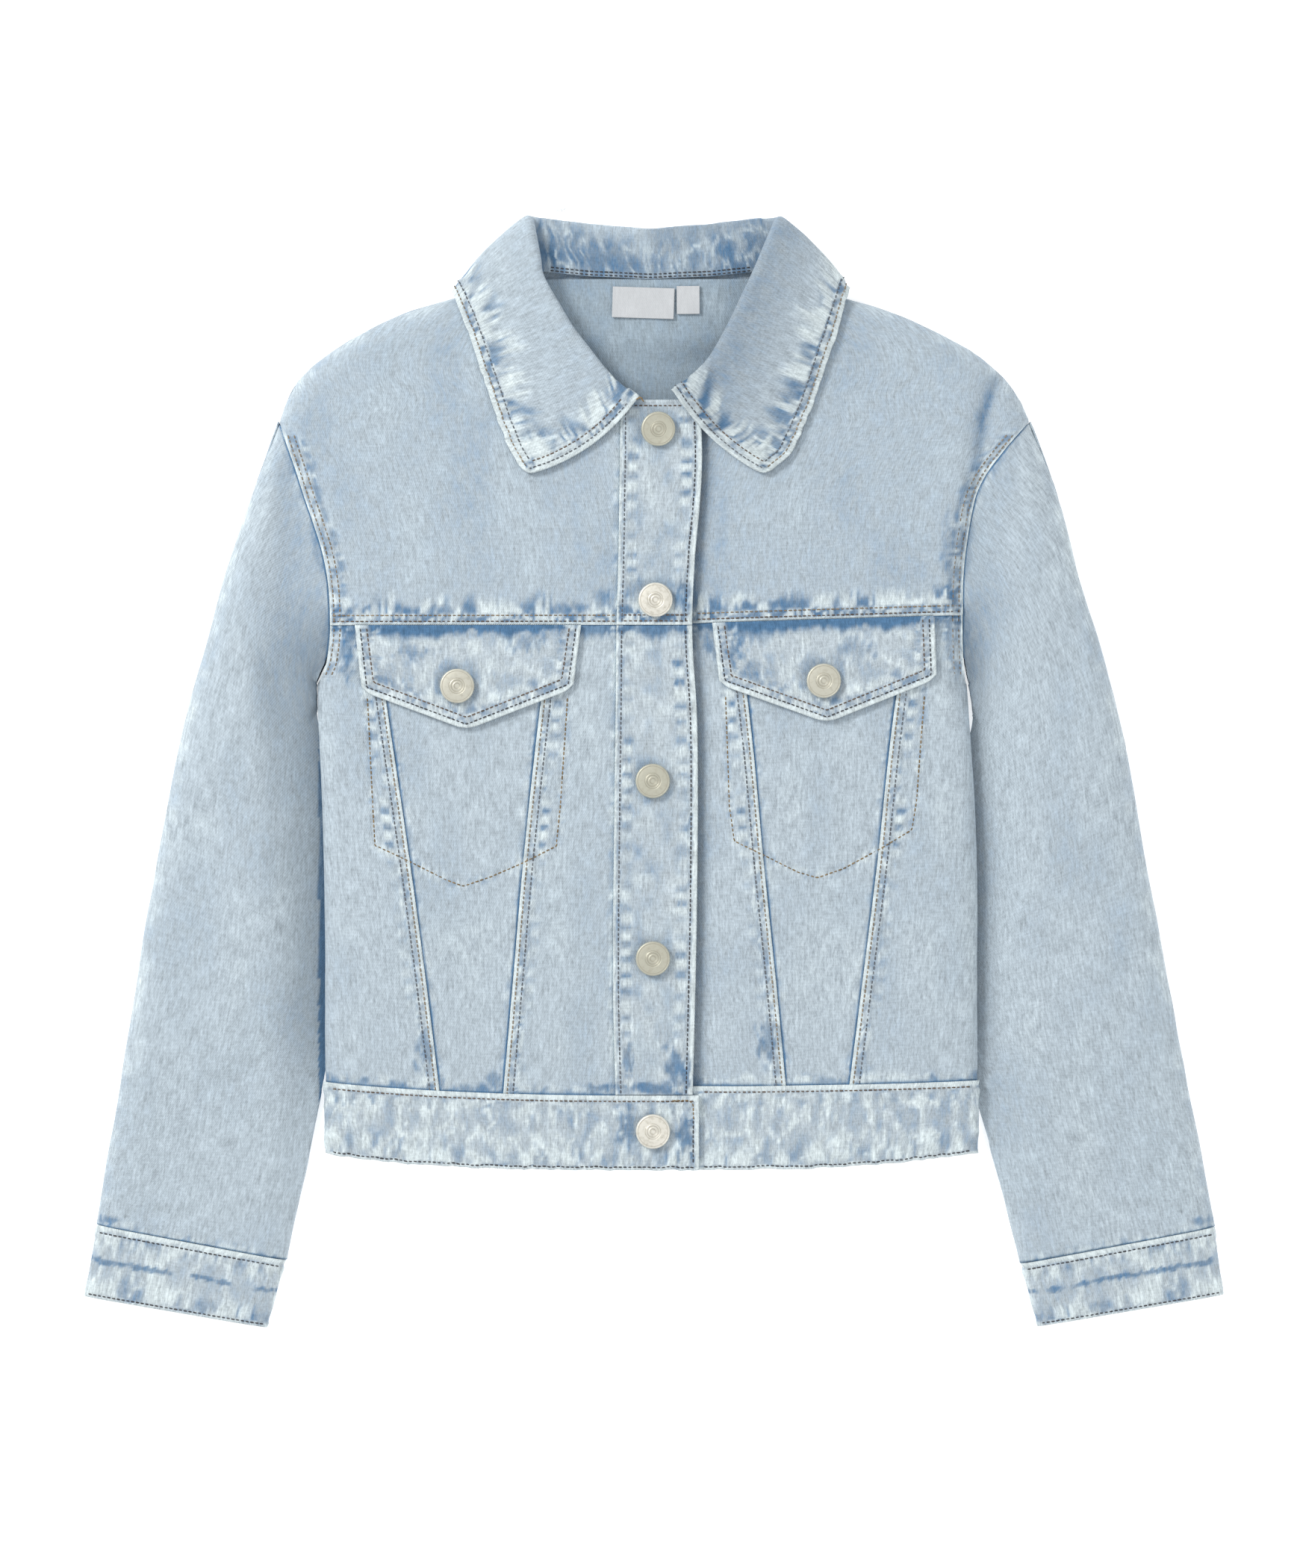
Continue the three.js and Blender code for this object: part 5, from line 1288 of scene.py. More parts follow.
# Wear beside each kind of seam, from the photograph's main marks
YOKE_FOOT = Wear(period=11, reach=13, depth=0.35, pale=0.9, blue=0.9, bias=0.05, edge=1.1, felled=5.8,
                 lift=0.45, seed=3)
UNDER_YOKE = Wear(period=8, reach=13, pale=0.5, blue=0.5, band=0.95, band_width=6.5, line=0.8, seed=5)
FELLED_OVER = Wear(reach=3, pale=0.7, blue=0.4, edge=1.9, felled=6.0, lift=0.45, check=0.95, check_above=160,
                   seed=7)
FELLED_UNDER = Wear(period=9, reach=5, pale=0.3, blue=0.35, line=1.0, seed=9)
ABOVE_WAIST = Wear(period=7, reach=8, pale=0.7, blue=0.7, line=0.9, band=0.3, band_width=2.5, seed=11)
WAIST_EDGE = Wear(period=8, reach=7, pale=0.8, blue=0.4, bias=0.1, edge=2.2, felled=3.8, lift=0.3, check=0.6,
                  check_from=4.2, check_to=9.5, seed=13)
HEM_EDGE = Wear(period=8, reach=15, depth=0.4, pale=0.9, blue=0.4, bias=0.12, edge=0.8, felled=2.2, seed=15)
PLACKET_SEAM = Wear(reach=1.5, pale=0.3, blue=0.3, edge=0.9, felled=3.4, lift=0.25, check=0.8, check_from=4,
                    check_to=9, seed=17)
PLACKET_FRONT = Wear(reach=2, depth=0.35, pale=0.6, blue=0.4, edge=2.2, felled=4.2, lift=0.3, lift_width=9,
                     check=1.0, check_from=5, check_to=10.5, seed=19)
BESIDE_PLACKET = Wear(period=9, reach=5, depth=0.2, pale=0.4, blue=0.3, seed=21)
ARMHOLE_EDGE = Wear(period=9, reach=6, pale=0.5, blue=0.6, bias=-0.05, edge=1.0, felled=5.8, lift=0.3,
                    seed=23)
ARMHOLE_UNDER = Wear(period=12, reach=6, depth=0.2, pale=0.2, blue=0.3, line=0.7, seed=25)
CUFF_UNDER = Wear(period=5, reach=6, depth=0.2, pale=0.35, blue=0.45, line=0.7, seed=27)
CUFF_EDGE = Wear(period=11, reach=11, depth=0.35, pale=0.8, blue=0.5, bias=0.12, edge=2.2, felled=3.6,
                 lift=0.3, seed=29)
CUFF_HEM = Wear(period=12, reach=15, depth=0.4, pale=0.8, blue=0.5, bias=0.12, edge=0.6, felled=2.2, seed=31)
COLLAR_EDGE = Wear(period=10, reach=20, depth=0.45, pale=0.95, blue=0.85, bias=-0.02, edge=2.4, felled=7.2,
                   lift=0.3, lift_width=7.5, seed=33)
FLAP_EDGE = Wear(period=9, reach=8, pale=0.7, blue=0.5, edge=2.2, felled=7.0, lift=0.25, lift_width=7.5,
                 seed=35)
FLAP_TOP = Wear(period=14, reach=17, pale=0.9, blue=0.35, bias=0.25, band=1.0, band_width=8.0, seed=37)
BAG_LINE = Wear(period=7, reach=4, pale=0.4, blue=0.35, seed=39)
SHOULDER_FOLD = Wear(period=24, reach=9, depth=0.1, pale=0.25, blue=0.1, bias=0.3, seed=41)
TAB_EDGE = Wear(period=6.0, reach=3.0, depth=0.2, pale=0.7, blue=0.6, edge=2.0, felled=3.6, seed=43)
WAIST_WHISKERS = Whiskers(width=4.6, length=15, pale=0.75, blue=0.3, seed=3)
STAND_WHISKERS = Whiskers(width=4.6, length=13, pale=0.4, blue=0.3, seed=5)
FLAP_WHISKERS = Whiskers(width=5.0, length=12, pale=0.35, blue=0.25, seed=8)
CUFF_WHISKERS = Whiskers(width=6.0, length=17, pale=0.6, blue=0.2, seed=9)


def pocket_outline(side: str) -> Callable[[Array, Array], Marks]:
    """The pocket bag's line of sewing, which shows on the front over it.

    Args:
        side: the wearer's side.

    Returns:
        A function from x and y to the marks beside the line.
    """
    track = Track(Track(BAG_STITCH[side]).resampled(6.0))

    def marks(x: Array, y: Array) -> Marks:
        """Puckers on both sides of the line, and a shallow groove along it."""
        away, along = track.nearest(x, y)
        made = BAG_LINE.marks(away, along)
        made.relief = made.relief - 0.3 * np.exp(-(away / 1.2) ** 2)
        return made

    return marks


class Back:
    """The back of the body and its waistband, seen through the neck."""

    def build(self, room: Workroom) -> None:
        """Make both pieces."""
        bottom = shifted(LAY.hem, BAND_HEIGHT)
        inset = lambda y: 0.2 + 15.0 * smooth(423, 439.5, y)
        edge = lambda s: (lambda y: np.where(y < UNDERARM_Y, LAY.side[s](y),
                                             np.where(y < SHOULDER_POINT_Y, LAY.armhole[s](y),
                                                      LAY.shoulder[s](y))))
        u = np.linspace(0, 1, 120)[None, :]
        v = np.concatenate([np.linspace(0, 0.86, 60), np.linspace(0.86, 1, 44)[1:]])[:, None]
        y = mix(bottom(np.array(0.0)) + 0.2, NECK_TOP_Y + 3.0, v) + 0 * u
        for _ in range(3):
            x = mix(edge("right")(y) + inset(y), edge("left")(y) - inset(y), u)
            y = mix(bottom(x) + 0.2, NECK_TOP_Y + 1.6, v)
        marks = Marks.clean(x)
        marks.relief = 0.25 * GRAIN(x / 19.0, y / 25.0 + 11) * smooth(395, 415, y)
        # The bluer band towards the top, under the collar, is painted shade.
        marks.blue = 0.08 + 0.1 * smooth(440, 452, y) + 0.08 * GRAIN(x / 14.0, y / 20.0)
        marks.pale = 0.15 * clamp01(GRAIN(x / 9.0 + 6, y / 20.0))
        shell = wall(np.stack([x, y, LAY.back(x, y)], axis=-1), DENIM, marks)
        room.piece("back_panel", shell, Finish.PLAIN)
        band = Panel("waistband_back", shifted(LAY.side["right"], SEAM), shifted(LAY.side["left"], -SEAM),
                     LAY.hem, shifted(bottom, -SEAM), lambda x, y: LAY.back(x, y, BAND), BAND, shell=BAND)
        u = np.linspace(0, 1, 110)[None, :]
        v = np.linspace(0, 1, 16)[:, None]
        y = mix(LAY.hem(np.array(0.0)), bottom(np.array(0.0)) - SEAM, v) + 0 * u
        for _ in range(3):
            x = mix(band.start(y), band.stop(y), u)
            y = mix(band.bottom(x), band.top(x), v)
        marks = Marks.clean(x)
        marks.pale = 0.4 * clamp01(GRAIN(x / 3.0, y / 12.0))
        marks.blue = 0.3 * clamp01(GRAIN(x / 3.0 + 9, y / 14.0))
        room.piece("waistband_back", wall(np.stack([x, y, band.height(x, y)], axis=-1), BAND, marks),
                   Finish.DOUBLED)


@dataclass
class Front:
    """One front: yoke, the three panels under it, pocket and waistband.

    Attributes:
        side: the wearer's side.
    """

    side: str

    def __post_init__(self) -> None:
        """Set up the seams and the panels."""
        s, sign = self.side, SIGN[self.side]
        outer_column, inner_column = (1, 2) if s == "right" else (4, 3)
        self.outer_seam, self.inner_seam = Curve(V_SEAMS, outer_column), Curve(V_SEAMS, inner_column)
        front_edge = LAY.placket_seam if s == "right" else level(UNDER_PLACKET["right"])
        edge = lambda y: np.where(y < UNDERARM_Y, LAY.side[s](y), LAY.armhole[s](y))
        neck_edge = lambda y: np.where(y < NECKLINE[0][0], front_edge(y), LAY.neck[s](y))
        yoke_edge = lambda y: np.where(y < SHOULDER_POINT_Y, LAY.armhole[s](y), LAY.shoulder[s](y))
        height = lambda x, y: LAY.front(x, y, s)
        seam, waist = LAY.yoke_seam(s), LAY.waist(s)
        beside = Lap.UNDER if s == "right" else Lap.FREE
        self.yoke = Panel("front_yoke_" + s, neck_edge, yoke_edge, seam, level(NECK_TOP_Y), height,
                          laps={End.START: beside, End.STOP: Lap.FOLD, End.BOTTOM: Lap.OVER},
                          wear={End.BOTTOM: YOKE_FOOT, End.START: BESIDE_PLACKET}, extra=self.yoke_marks)
        shared = {End.BOTTOM: Lap.UNDER, End.TOP: Lap.UNDER}
        ends = {End.TOP: UNDER_YOKE, End.BOTTOM: ABOVE_WAIST}
        self.centre = Panel("front_centre_" + s, front_edge, self.inner_seam, waist, seam, height,
                            laps={**shared, End.START: beside, End.STOP: Lap.OVER},
                            wear={**ends, End.STOP: FELLED_OVER, End.START: BESIDE_PLACKET},
                            extra=self.pocket_marks)
        self.middle = Panel("front_middle_" + s, self.inner_seam, self.outer_seam, waist, seam, height,
                            laps={**shared, End.START: Lap.UNDER, End.STOP: Lap.UNDER},
                            wear={**ends, End.START: FELLED_UNDER, End.STOP: FELLED_UNDER},
                            extra=self.pocket_marks)
        self.outer = Panel("front_side_" + s, self.outer_seam, edge, waist, seam, height,
                           laps={**shared, End.START: Lap.OVER, End.STOP: Lap.FOLD},
                           wear={**ends, End.START: FELLED_OVER}, extra=self.side_marks)
        band_edge = (LAY.side[s], level(WAIST_TAB_X)) if s == "right" else (level(WAIST_UNDER_X), LAY.side[s])
        self.band = Panel("waistband_front_" + s, *band_edge, LAY.hem, shifted(waist, -0.1),
                          lambda x, y: LAY.front(x, y, s, BAND), BAND,
                          laps={End.START: Lap.FOLD, End.STOP: Lap.FREE} if s == "right"
                          else {End.START: Lap.FREE, End.STOP: Lap.FOLD},
                          wear={End.TOP: WAIST_EDGE, End.BOTTOM: HEM_EDGE}, extra=self.band_marks, shell=BAND)
        self.sign = sign

    def armhole_marks(self, x: Array, y: Array) -> Marks:
        """Wear along the armhole: the distance in from it, from the underarm to the shoulder point."""
        away = (LAY.armhole[self.side](y) - x) * self.sign * 0.92
        made = ARMHOLE_EDGE.marks(away, y)
        gate = smooth(244, 256, y) * (1 - smooth(366, 378, y))
        return Marks(made.relief * gate, made.pale * gate, made.blue * gate, made.soil)

    def yoke_marks(self, x: Array, y: Array) -> Marks:
        """Armhole wear, a pale shoulder fold, and painted shade in the crease beside the sleeve."""
        away, along = LAY.upper_fold[self.side].nearest(x, y)
        made = self.armhole_marks(x, y).add(SHOULDER_FOLD.marks(away, along))
        made.blue = clamp01(made.blue + 0.1)
        if self.side == "left":
            # Painted shade in the crease beside the sleeve: bluer and greyer along it.
            crease, _ = Track([(176, 400), (168.8, 380.8), (164.6, 345.3), (161.4, 305)]).nearest(x, y)
            made.blue = clamp01(made.blue + 0.5 * np.exp(-(crease / 3.0) ** 2) * smooth(300, 330, y))
            made.soil = made.soil + 0.1 * np.exp(-(crease / 2.4) ** 2) * smooth(310, 340, y)
        return self.placket_shade(made, x, y)

    def placket_shade(self, made: Marks, x: Array, y: Array) -> Marks:
        """The grey shade that falls on the left front beside the placket's edge."""
        if self.side == "left":
            close = 1 - smooth(0.5, 9.0, x - LAY.placket_front(y))
            made.blue = clamp01(made.blue + 0.25 * close)
            made.soil = clamp01(made.soil + 0.42 * close)
            made.pale = made.pale * (1 - 0.8 * close)
        return made

    def pocket_marks(self, x: Array, y: Array) -> Marks:
        """The pocket bag's outline, and the placket's shade."""
        return self.placket_shade(pocket_outline(self.side)(x, y), x, y)

    def side_marks(self, x: Array, y: Array) -> Marks:
        """The pocket bag's outline and the armhole's wear."""
        return pocket_outline(self.side)(x, y).add(self.armhole_marks(x, y))

    def band_marks(self, x: Array, y: Array) -> Marks:
        """The waistband's whiskers and its tab end."""
        slant = x + 5.0 * GRAIN(x / 26.0, 4.4) * (y - 18) / 12
        inner = smooth(2.0, 6.0, y - self.band.bottom(x)) * smooth(4.0, 8.0, self.band.top(x) - y)
        made = WAIST_WHISKERS.marks(y, slant, inner)
        if self.side == "right":
            made = made.add(TAB_EDGE.marks(WAIST_TAB_X - x, y))
        return made

    def build(self, room: Workroom) -> None:
        """Make this front's pieces and sew them."""
        for panel in (self.yoke, self.centre, self.middle, self.outer):
            room.piece(panel.node, panel.build(), Finish.DENIM)
        room.piece(self.band.node, self.band.build(), Finish.DOUBLED)
        self.build_bag(room)
        self.build_flap(room)
        self.sew(room)

    def build_bag(self, room: Workroom) -> None:
        """The pocket bag inside the front."""
        x, y = pointed_grid(BAGS[self.side], level(270.0), 3.0)
        height = LAY.front(x, y, self.side) - DENIM - LAID - 0.25
        marks = Marks.clean(x)
        room.piece("pocket_bag_" + self.side, wall(np.stack([x, y, height], axis=-1), DENIM, marks, 0.7),
                   Finish.PLAIN)

    def flap_height(self, x: Array, y: Array) -> Array:
        """Middle of the flap: on the front, a little proud over its puckers."""
        return LAY.front(x, y, self.side) + (DENIM + FACED) / 2 + LAID + 0.15

    def flap_marks(self, x: Array, y: Array) -> Marks:
        """Wear along the flap's free edges and under the chest seam, and a soft rise round the button."""
        (x0, x1), (cx0, cy0, cx1, cy1), tip = FLAPS[self.side]
        track = Track([(x0, 274), (cx0, cy0), tip, (cx1, cy1), (x1, 274)])
        away, along = track.nearest(x, y)
        top = LAY.yoke_seam(self.side)(x) - y
        free = smooth(6.0, 8.5, away)
        upper = FLAP_TOP.marks(top, x)
        upper = Marks(upper.relief * free, upper.pale * free, upper.blue * mix(0.5, 1.0, free), upper.soil)
        radial = FLAP_WHISKERS.marks(away, along, free * smooth(14, 20, top))
        made = FLAP_EDGE.marks(away, along).add(upper).add(radial)
        bx, by = FLAP_BUTTONS[self.side]
        near = np.hypot(x - bx, (y - by))
        made.relief = made.relief - 0.5 * np.exp(-(near / 9.0) ** 2) + 0.14 * GRAIN(x / 10.0, y / 10.0)
        made.blue = clamp01(made.blue + 0.25 * np.exp(-((near - 9.5) / 3.0) ** 2))
        return with_patches(made, x, y)

    def build_flap(self, room: Workroom) -> None:
        """The pointed pocket flap and its two rows of stitches."""
        seam = LAY.yoke_seam(self.side)
        x, y = pointed_grid(FLAPS[self.side], shifted(seam, -0.1), 1.1)
        marks = self.flap_marks(x, y)
        shell = wall(np.stack([x, y, self.flap_height(x, y)], axis=-1), FACED, marks, FACED_SHELL)
        room.piece("pocket_flap_" + self.side, shell, Finish.DOUBLED)
        (x0, x1), (cx0, cy0, cx1, cy1), tip = FLAPS[self.side]
        for inset in (2.7, 6.0):
            line = Track([(x0 + inset, seam(x0) - 1.5), (cx0 + inset, cy0 + inset * 0.75),
                          (tip[0], tip[1] + inset * 1.06), (cx1 - inset, cy1 + inset * 0.75),
                          (x1 - inset, seam(x1) - 1.5)]).resampled(1.6)
            px, py = line[:, 0], line[:, 1]
            z = self.flap_height(px, py) + FACED / 2 + self.flap_marks(px, py).relief
            room.sew("flap_" + self.side, Thread.DARK if inset < 4 else Thread.BROWN,
                     np.stack([px, py, z], axis=1))

    def sew(self, room: Workroom) -> None:
        """Every row of stitches on this front."""
        s, sign = self.side, self.sign
        own = "front_" + s
        inner = -15.0 if s == "right" else 23.0
        outer_x = float(LAY.armhole[s](np.array(280.0)))
        for inset, thread in ((1.9, Thread.BROWN), (4.9, Thread.TAN)):
            room.sew(own, thread, self.yoke.row(End.BOTTOM, inset, inner + sign * 1.5, outer_x - sign * 1.0))
            room.sew(own, Thread.TAN if inset < 3 else Thread.GREY,
                     self.centre.row(End.STOP, inset, 41.0 if s == "left" else 37.0, 272.0))
            room.sew(own, Thread.TAN if inset < 3 else Thread.GREY,
                     self.outer.row(End.START, inset, 43.0 if s == "left" else 39.5, 273.0))
        for inset in (2.0, 5.2):
            room.sew(own, Thread.TAN, self.outer.row(End.STOP, inset, 250.0, 274.0))
            room.sew(own, Thread.TAN, self.yoke.row(End.STOP, inset, 277.0, 372.0))
        self.sew_bag(room)
        ends = (-160.0, WAIST_TAB_X - 2.5) if s == "right" else (28.0, 163.0)
        room.sew("waist_" + s, Thread.BROWN, self.band.row(End.TOP, 3.0, *ends))
        room.sew("waist_" + s, Thread.DARK, self.band.row(End.BOTTOM, 1.5, *ends))
        if s == "right":
            at = np.linspace(3.0, 25.0, 20)
            room.sew("waist_" + s, Thread.DARK, self.band.surface(np.full(20, WAIST_TAB_X - 3.0), at))
            corner = np.array([(12.0, 34.6), (20.5, 34.8), (22.6, 33.0), (22.9, 25.0)])
            line = Track(corner).resampled(1.2)
            room.sew("waist_" + s, Thread.GOLD, self.band.surface(line[:, 0], line[:, 1]), 2.0)

    def sew_bag(self, room: Workroom) -> None:
        """The tan row round the pocket bag, on whichever panel lies over it."""
        line = Track(BAG_STITCH[self.side]).resampled(1.5)
        x, y = line[:, 0], line[:, 1]
        keep = y < 240.0
        x, y = x[keep], y[keep]
        inner = (self.inner_seam(y) - x) * self.sign > 0
        outer = (x - self.outer_seam(y)) * self.sign > 0
        z = np.where(inner, self.centre.surface(x, y)[:, 2],
                     np.where(outer, self.outer.surface(x, y)[:, 2], self.middle.surface(x, y)[:, 2]))
        room.sew("bag_" + self.side, Thread.GOLD, np.stack([x, y, z], axis=1))


def pointed_grid(shape: tuple, top: Line, step: float) -> tuple[Array, Array]:
    """Grid of a flap or pocket bag: straight top, slanting sides and a pointed lower edge.

    Each column runs from the lower edge, two straight lines that meet at the tip, up to the top.

    Args:
        shape: the top's two x, the lower corners and the tip.
        top: the top edge, as y at x.
        step: usual grid step.

    Returns:
        x and y of the grid.
    """
    (t0, t1), (x0, y0, x1, y1), (tx, ty) = shape
    left = np.linspace(x0, tx, max(3, int((tx - x0) / step)))
    foot = np.concatenate([left, np.linspace(tx, x1, max(3, int((x1 - tx) / step)))[1:]])[None, :]
    share = (foot - x0) / (x1 - x0)
    low = np.interp(foot, [x0, tx, x1], [y0, ty, y1])
    for at, lift in ((x0, 2.0), (tx, 1.0), (x1, 2.0)):
        low = low + lift * np.exp(-((foot - at) / 2.6) ** 2)
    v = np.linspace(0, 1, max(4, int((float(top(np.array(tx))) - ty) / step)))[:, None]
    x = mix(foot, mix(t0, t1, share), v)
    return x, mix(low, top(x), v)


class Placket:
    """The front strip with its buttonhole edge, and the strip under it."""

    def __init__(self) -> None:
        """Set up the three panels."""
        chest = level(YOKE_SEAM["right"][0])
        height = lambda x, y: LAY.front(x, y, "right") + PLACKET_LIFT
        def strip(node: str, bottom: Line, top: Line, wear: dict[End, Wear]) -> Panel:
            """One length of the top strip."""
            return Panel(node, LAY.placket_seam, LAY.placket_front, bottom, top, height, FACED,
                         laps={End.START: Lap.OVER, End.STOP: Lap.FREE},
                         wear={End.START: PLACKET_SEAM, End.STOP: PLACKET_FRONT, **wear}, extra=self.marks,
                         shell=FACED_SHELL)
        self.lower = strip("placket_lower", shifted(LAY.waist("right"), SEAM), shifted(chest, -SEAM),
                           {End.TOP: UNDER_YOKE})
        self.upper = strip("placket_upper", chest, level(PLACKET_TOP_Y), {End.BOTTOM: YOKE_FOOT})
        self.under = Panel("placket_under", level(UNDER_PLACKET["left"]),
                           level(UNDER_PLACKET["right"] - SEAM), shifted(LAY.waist("left"), SEAM),
                           level(PLACKET_TOP_Y - 2.5), lambda x, y: LAY.front(x, y, "left"), shell=DENIM)

    def marks(self, x: Array, y: Array) -> Marks:
        """Mottle, and a dish round each button."""
        made = Marks.clean(x)
        made.pale = 0.35 * clamp01(GRAIN(x / 6.0 + 2, y / 7.0))
        made.blue = 0.3 * clamp01(GRAIN(x / 5.0 + 33, y / 9.0) + 0.1)
        for bx, by, _ in FRONT_BUTTONS:
            near = np.hypot(x - bx, y - by)
            made.relief = made.relief - 0.35 * np.exp(-(near / 8.0) ** 2)
            made.blue = made.blue + 0.25 * np.exp(-((near - 10.0) / 2.5) ** 2)
        made.blue = clamp01(made.blue)
        return made

    def build(self, room: Workroom) -> None:
        """Make and sew the strips."""
        for panel in (self.lower, self.upper):
            room.piece(panel.node, panel.build(), Finish.DOUBLED)
        room.piece(self.under.node, self.under.build(), Finish.DOUBLED)
        for panel, low, high in ((self.lower, 38.0, 273.0), (self.upper, 277.0, 386.0)):
            room.sew("placket", Thread.GREY, panel.row(End.START, 2.7, low, high))
            room.sew("placket", Thread.DARK, panel.row(End.STOP, 3.4, low, high))
        seam = LAY.yoke_seam("right")
        for inset in (2.0, 5.0):
            x = np.linspace(-13.0, 20.5, 24)
            room.sew("placket", Thread.BROWN, self.upper.surface(x, seam(x) + inset))
        x = np.linspace(-10.0, 22.0, 22)
        room.sew("placket", Thread.BROWN, self.upper.surface(x, np.full(22, 386.6)))


@dataclass
class Sleeve:
    """One sleeve: upper and under piece, and its cuff.

    Attributes:
        side: the wearer's side.
    """

    side: str

    def plan(self, u: Array, v: Array, tuck: float) -> tuple[Array, Array]:
        """Place on the sleeve: u runs from its outer fold to its inner one and v from armhole to cuff.

        A straight blend between the two folds, bent to the armhole's curve near the seam.
        """
        s, sign = self.side, SIGN[self.side]
        (ox, oy), (ix, iy) = LAY.outer[s](v), LAY.inner[s](v)
        seam_y = mix(SHOULDER_POINT_Y, SLEEVE_SEAM_END_Y, u)
        (ax, _), (bx, _) = LAY.outer[s](np.array(0.0)), LAY.inner[s](np.array(0.0))
        bow = LAY.armhole[s](seam_y) - mix(ax, bx, u)
        blend = 1 - smooth(0, mix(0.3, 0.05, smooth(0.8, 1.0, u)), v)
        free = smooth(0.90, 1.0, u) + 1 - smooth(0.0, 0.06, u)
        under = sign * mix(-tuck, 0.9, clamp01(free))
        gone = 1 - smooth(0, 0.12, v)
        return mix(ox, ix, u) + bow * blend + under * gone * blend, mix(oy, iy, u)

    def marks(self, x: Array, y: Array) -> Marks:
        """Wear at the armhole and cuff, pale outer fold, ripples, and painted shade in the hollows and beside
        the body.
        """
        s, sign = self.side, SIGN[self.side]
        made = Marks.clean(x)
        made.relief = 0.4 * GRAIN(x / 17.0 + 31, y / 30.0) + 0.15 * GRAIN(x / 7.0, y / 13.0 + 3)
        made.blue = 0.12 * clamp01(GRAIN(x / 15.0, y / 40.0 + 40) + 0.2)
        made.pale = 0.14 * clamp01(GRAIN(x / 13.0 + 70, y / 34.0))
        seam = Track([(row[COLUMN[s]], row[0]) for row in ARMHOLE])
        away, along = seam.nearest(x, y)
        outward = (x - LAY.armhole[s](y)) * sign
        made = made.add(ARMHOLE_UNDER.marks(np.where(outward < 0, -away, away), along))
        sunk = 1 - smooth(-1.2, 0.6, outward * 0.9)
        made.relief = made.relief - LAP_DROP * sunk * smooth(250, 262, y)
        ends = Track([LAY.outer[s](np.array(1.0)), LAY.inner[s](np.array(1.0))])
        made = made.add(CUFF_UNDER.marks(*ends.nearest(x, y)))
        fold, along = LAY.upper_fold[s].nearest(x, y)
        made = made.add(SHOULDER_FOLD.marks(fold, along))
        # Painted shade: bluer and greyer where the laid sleeve sinks below its loft.
        low = clamp01((LAY.sleeve_loft(y) - 1.2 - LAY.open(x, y)) / 4.5)
        # Painted shadow of the body's edge: bluer and greyer on the sleeve beside it.
        reach, shade = (15.0, 0.5) if s == "left" else (34.0, 0.4)
        beside = 1 - smooth(-1.0, reach, (x - LAY.side[s](y)) * sign)
        beside = beside * smooth(0, 90, y) * (1 - smooth(255, 300, y))
        made.blue = clamp01(made.blue + 0.16 * low + 0.15 * beside)
        made.soil = clamp01(made.soil + 0.05 * low + shade * beside)
        return with_patches(made, x, y)

    def build(self, room: Workroom) -> None:
        """Make the upper piece, the under piece and the cuff."""
        s = self.side
        u = steps_along(112.0, Lap.FOLD, Lap.FOLD, 1.7)[None, :]
        v = steps_along(420.0, Lap.UNDER, Lap.UNDER, 2.2)[:, None]
        x, y = self.plan(u, v, TUCK)
        marks = self.marks(x, y)
        shell = wall(np.stack([x, y, LAY.sleeve(x, y, s)], axis=-1), DENIM, marks, CLOTH_SHELL)
        room.piece("sleeve_top_" + s, shell, Finish.DENIM)
        x, y = self.plan(np.linspace(0, 1, 30)[None, :], np.linspace(0, 1, 90)[:, None], 0.0)
        flat = wall(np.stack([x, y, np.full(x.shape, DENIM / 2)], axis=-1), DENIM, Marks.clean(x), DENIM)
        room.piece("sleeve_under_" + s, flat, Finish.PLAIN)
        self.build_cuff(room)

    def cuff_points(self, share: Array, across: Array, upper: Array) -> Array:
        """Mid-surface of the cuff, a flattened ring.

        Across runs from -1 to 1 between its folds. The height over its middle is the square root, or below it
        a lower power, of sqrt(1 - |across|^4.76).

        Args:
            share: from the seam to the hem.
            across: place between the folds.
            upper: 1 on the upper half and 0 on the lower half.

        Returns:
            The points.
        """
        s = self.side
        (hem_outer, hem_inner) = (np.array(p, float) for p in CUFF_HEMS[s])
        outer = mix(np.array(LAY.outer[s](np.array(1.0)), float), hem_outer, share[..., None])
        inner = mix(np.array(LAY.inner[s](np.array(1.0)), float), hem_inner, share[..., None])
        width = np.linalg.norm(inner - outer, axis=-1)
        at = 0.5 + 0.5 * (1 - BAND / width) * across
        full = np.sqrt(np.maximum(0.0, 1 - np.abs(across) ** (2 / 0.42)))
        middle, bottom = CUFF_HEIGHT / 2, BAND / 2
        z = np.where(upper > 0.5, middle + (CUFF_HEIGHT - middle) * full ** 0.5,
                     middle - (middle - bottom) * full ** 0.3)
        return np.concatenate([mix(outer, inner, at[..., None]), z[..., None]], axis=-1)

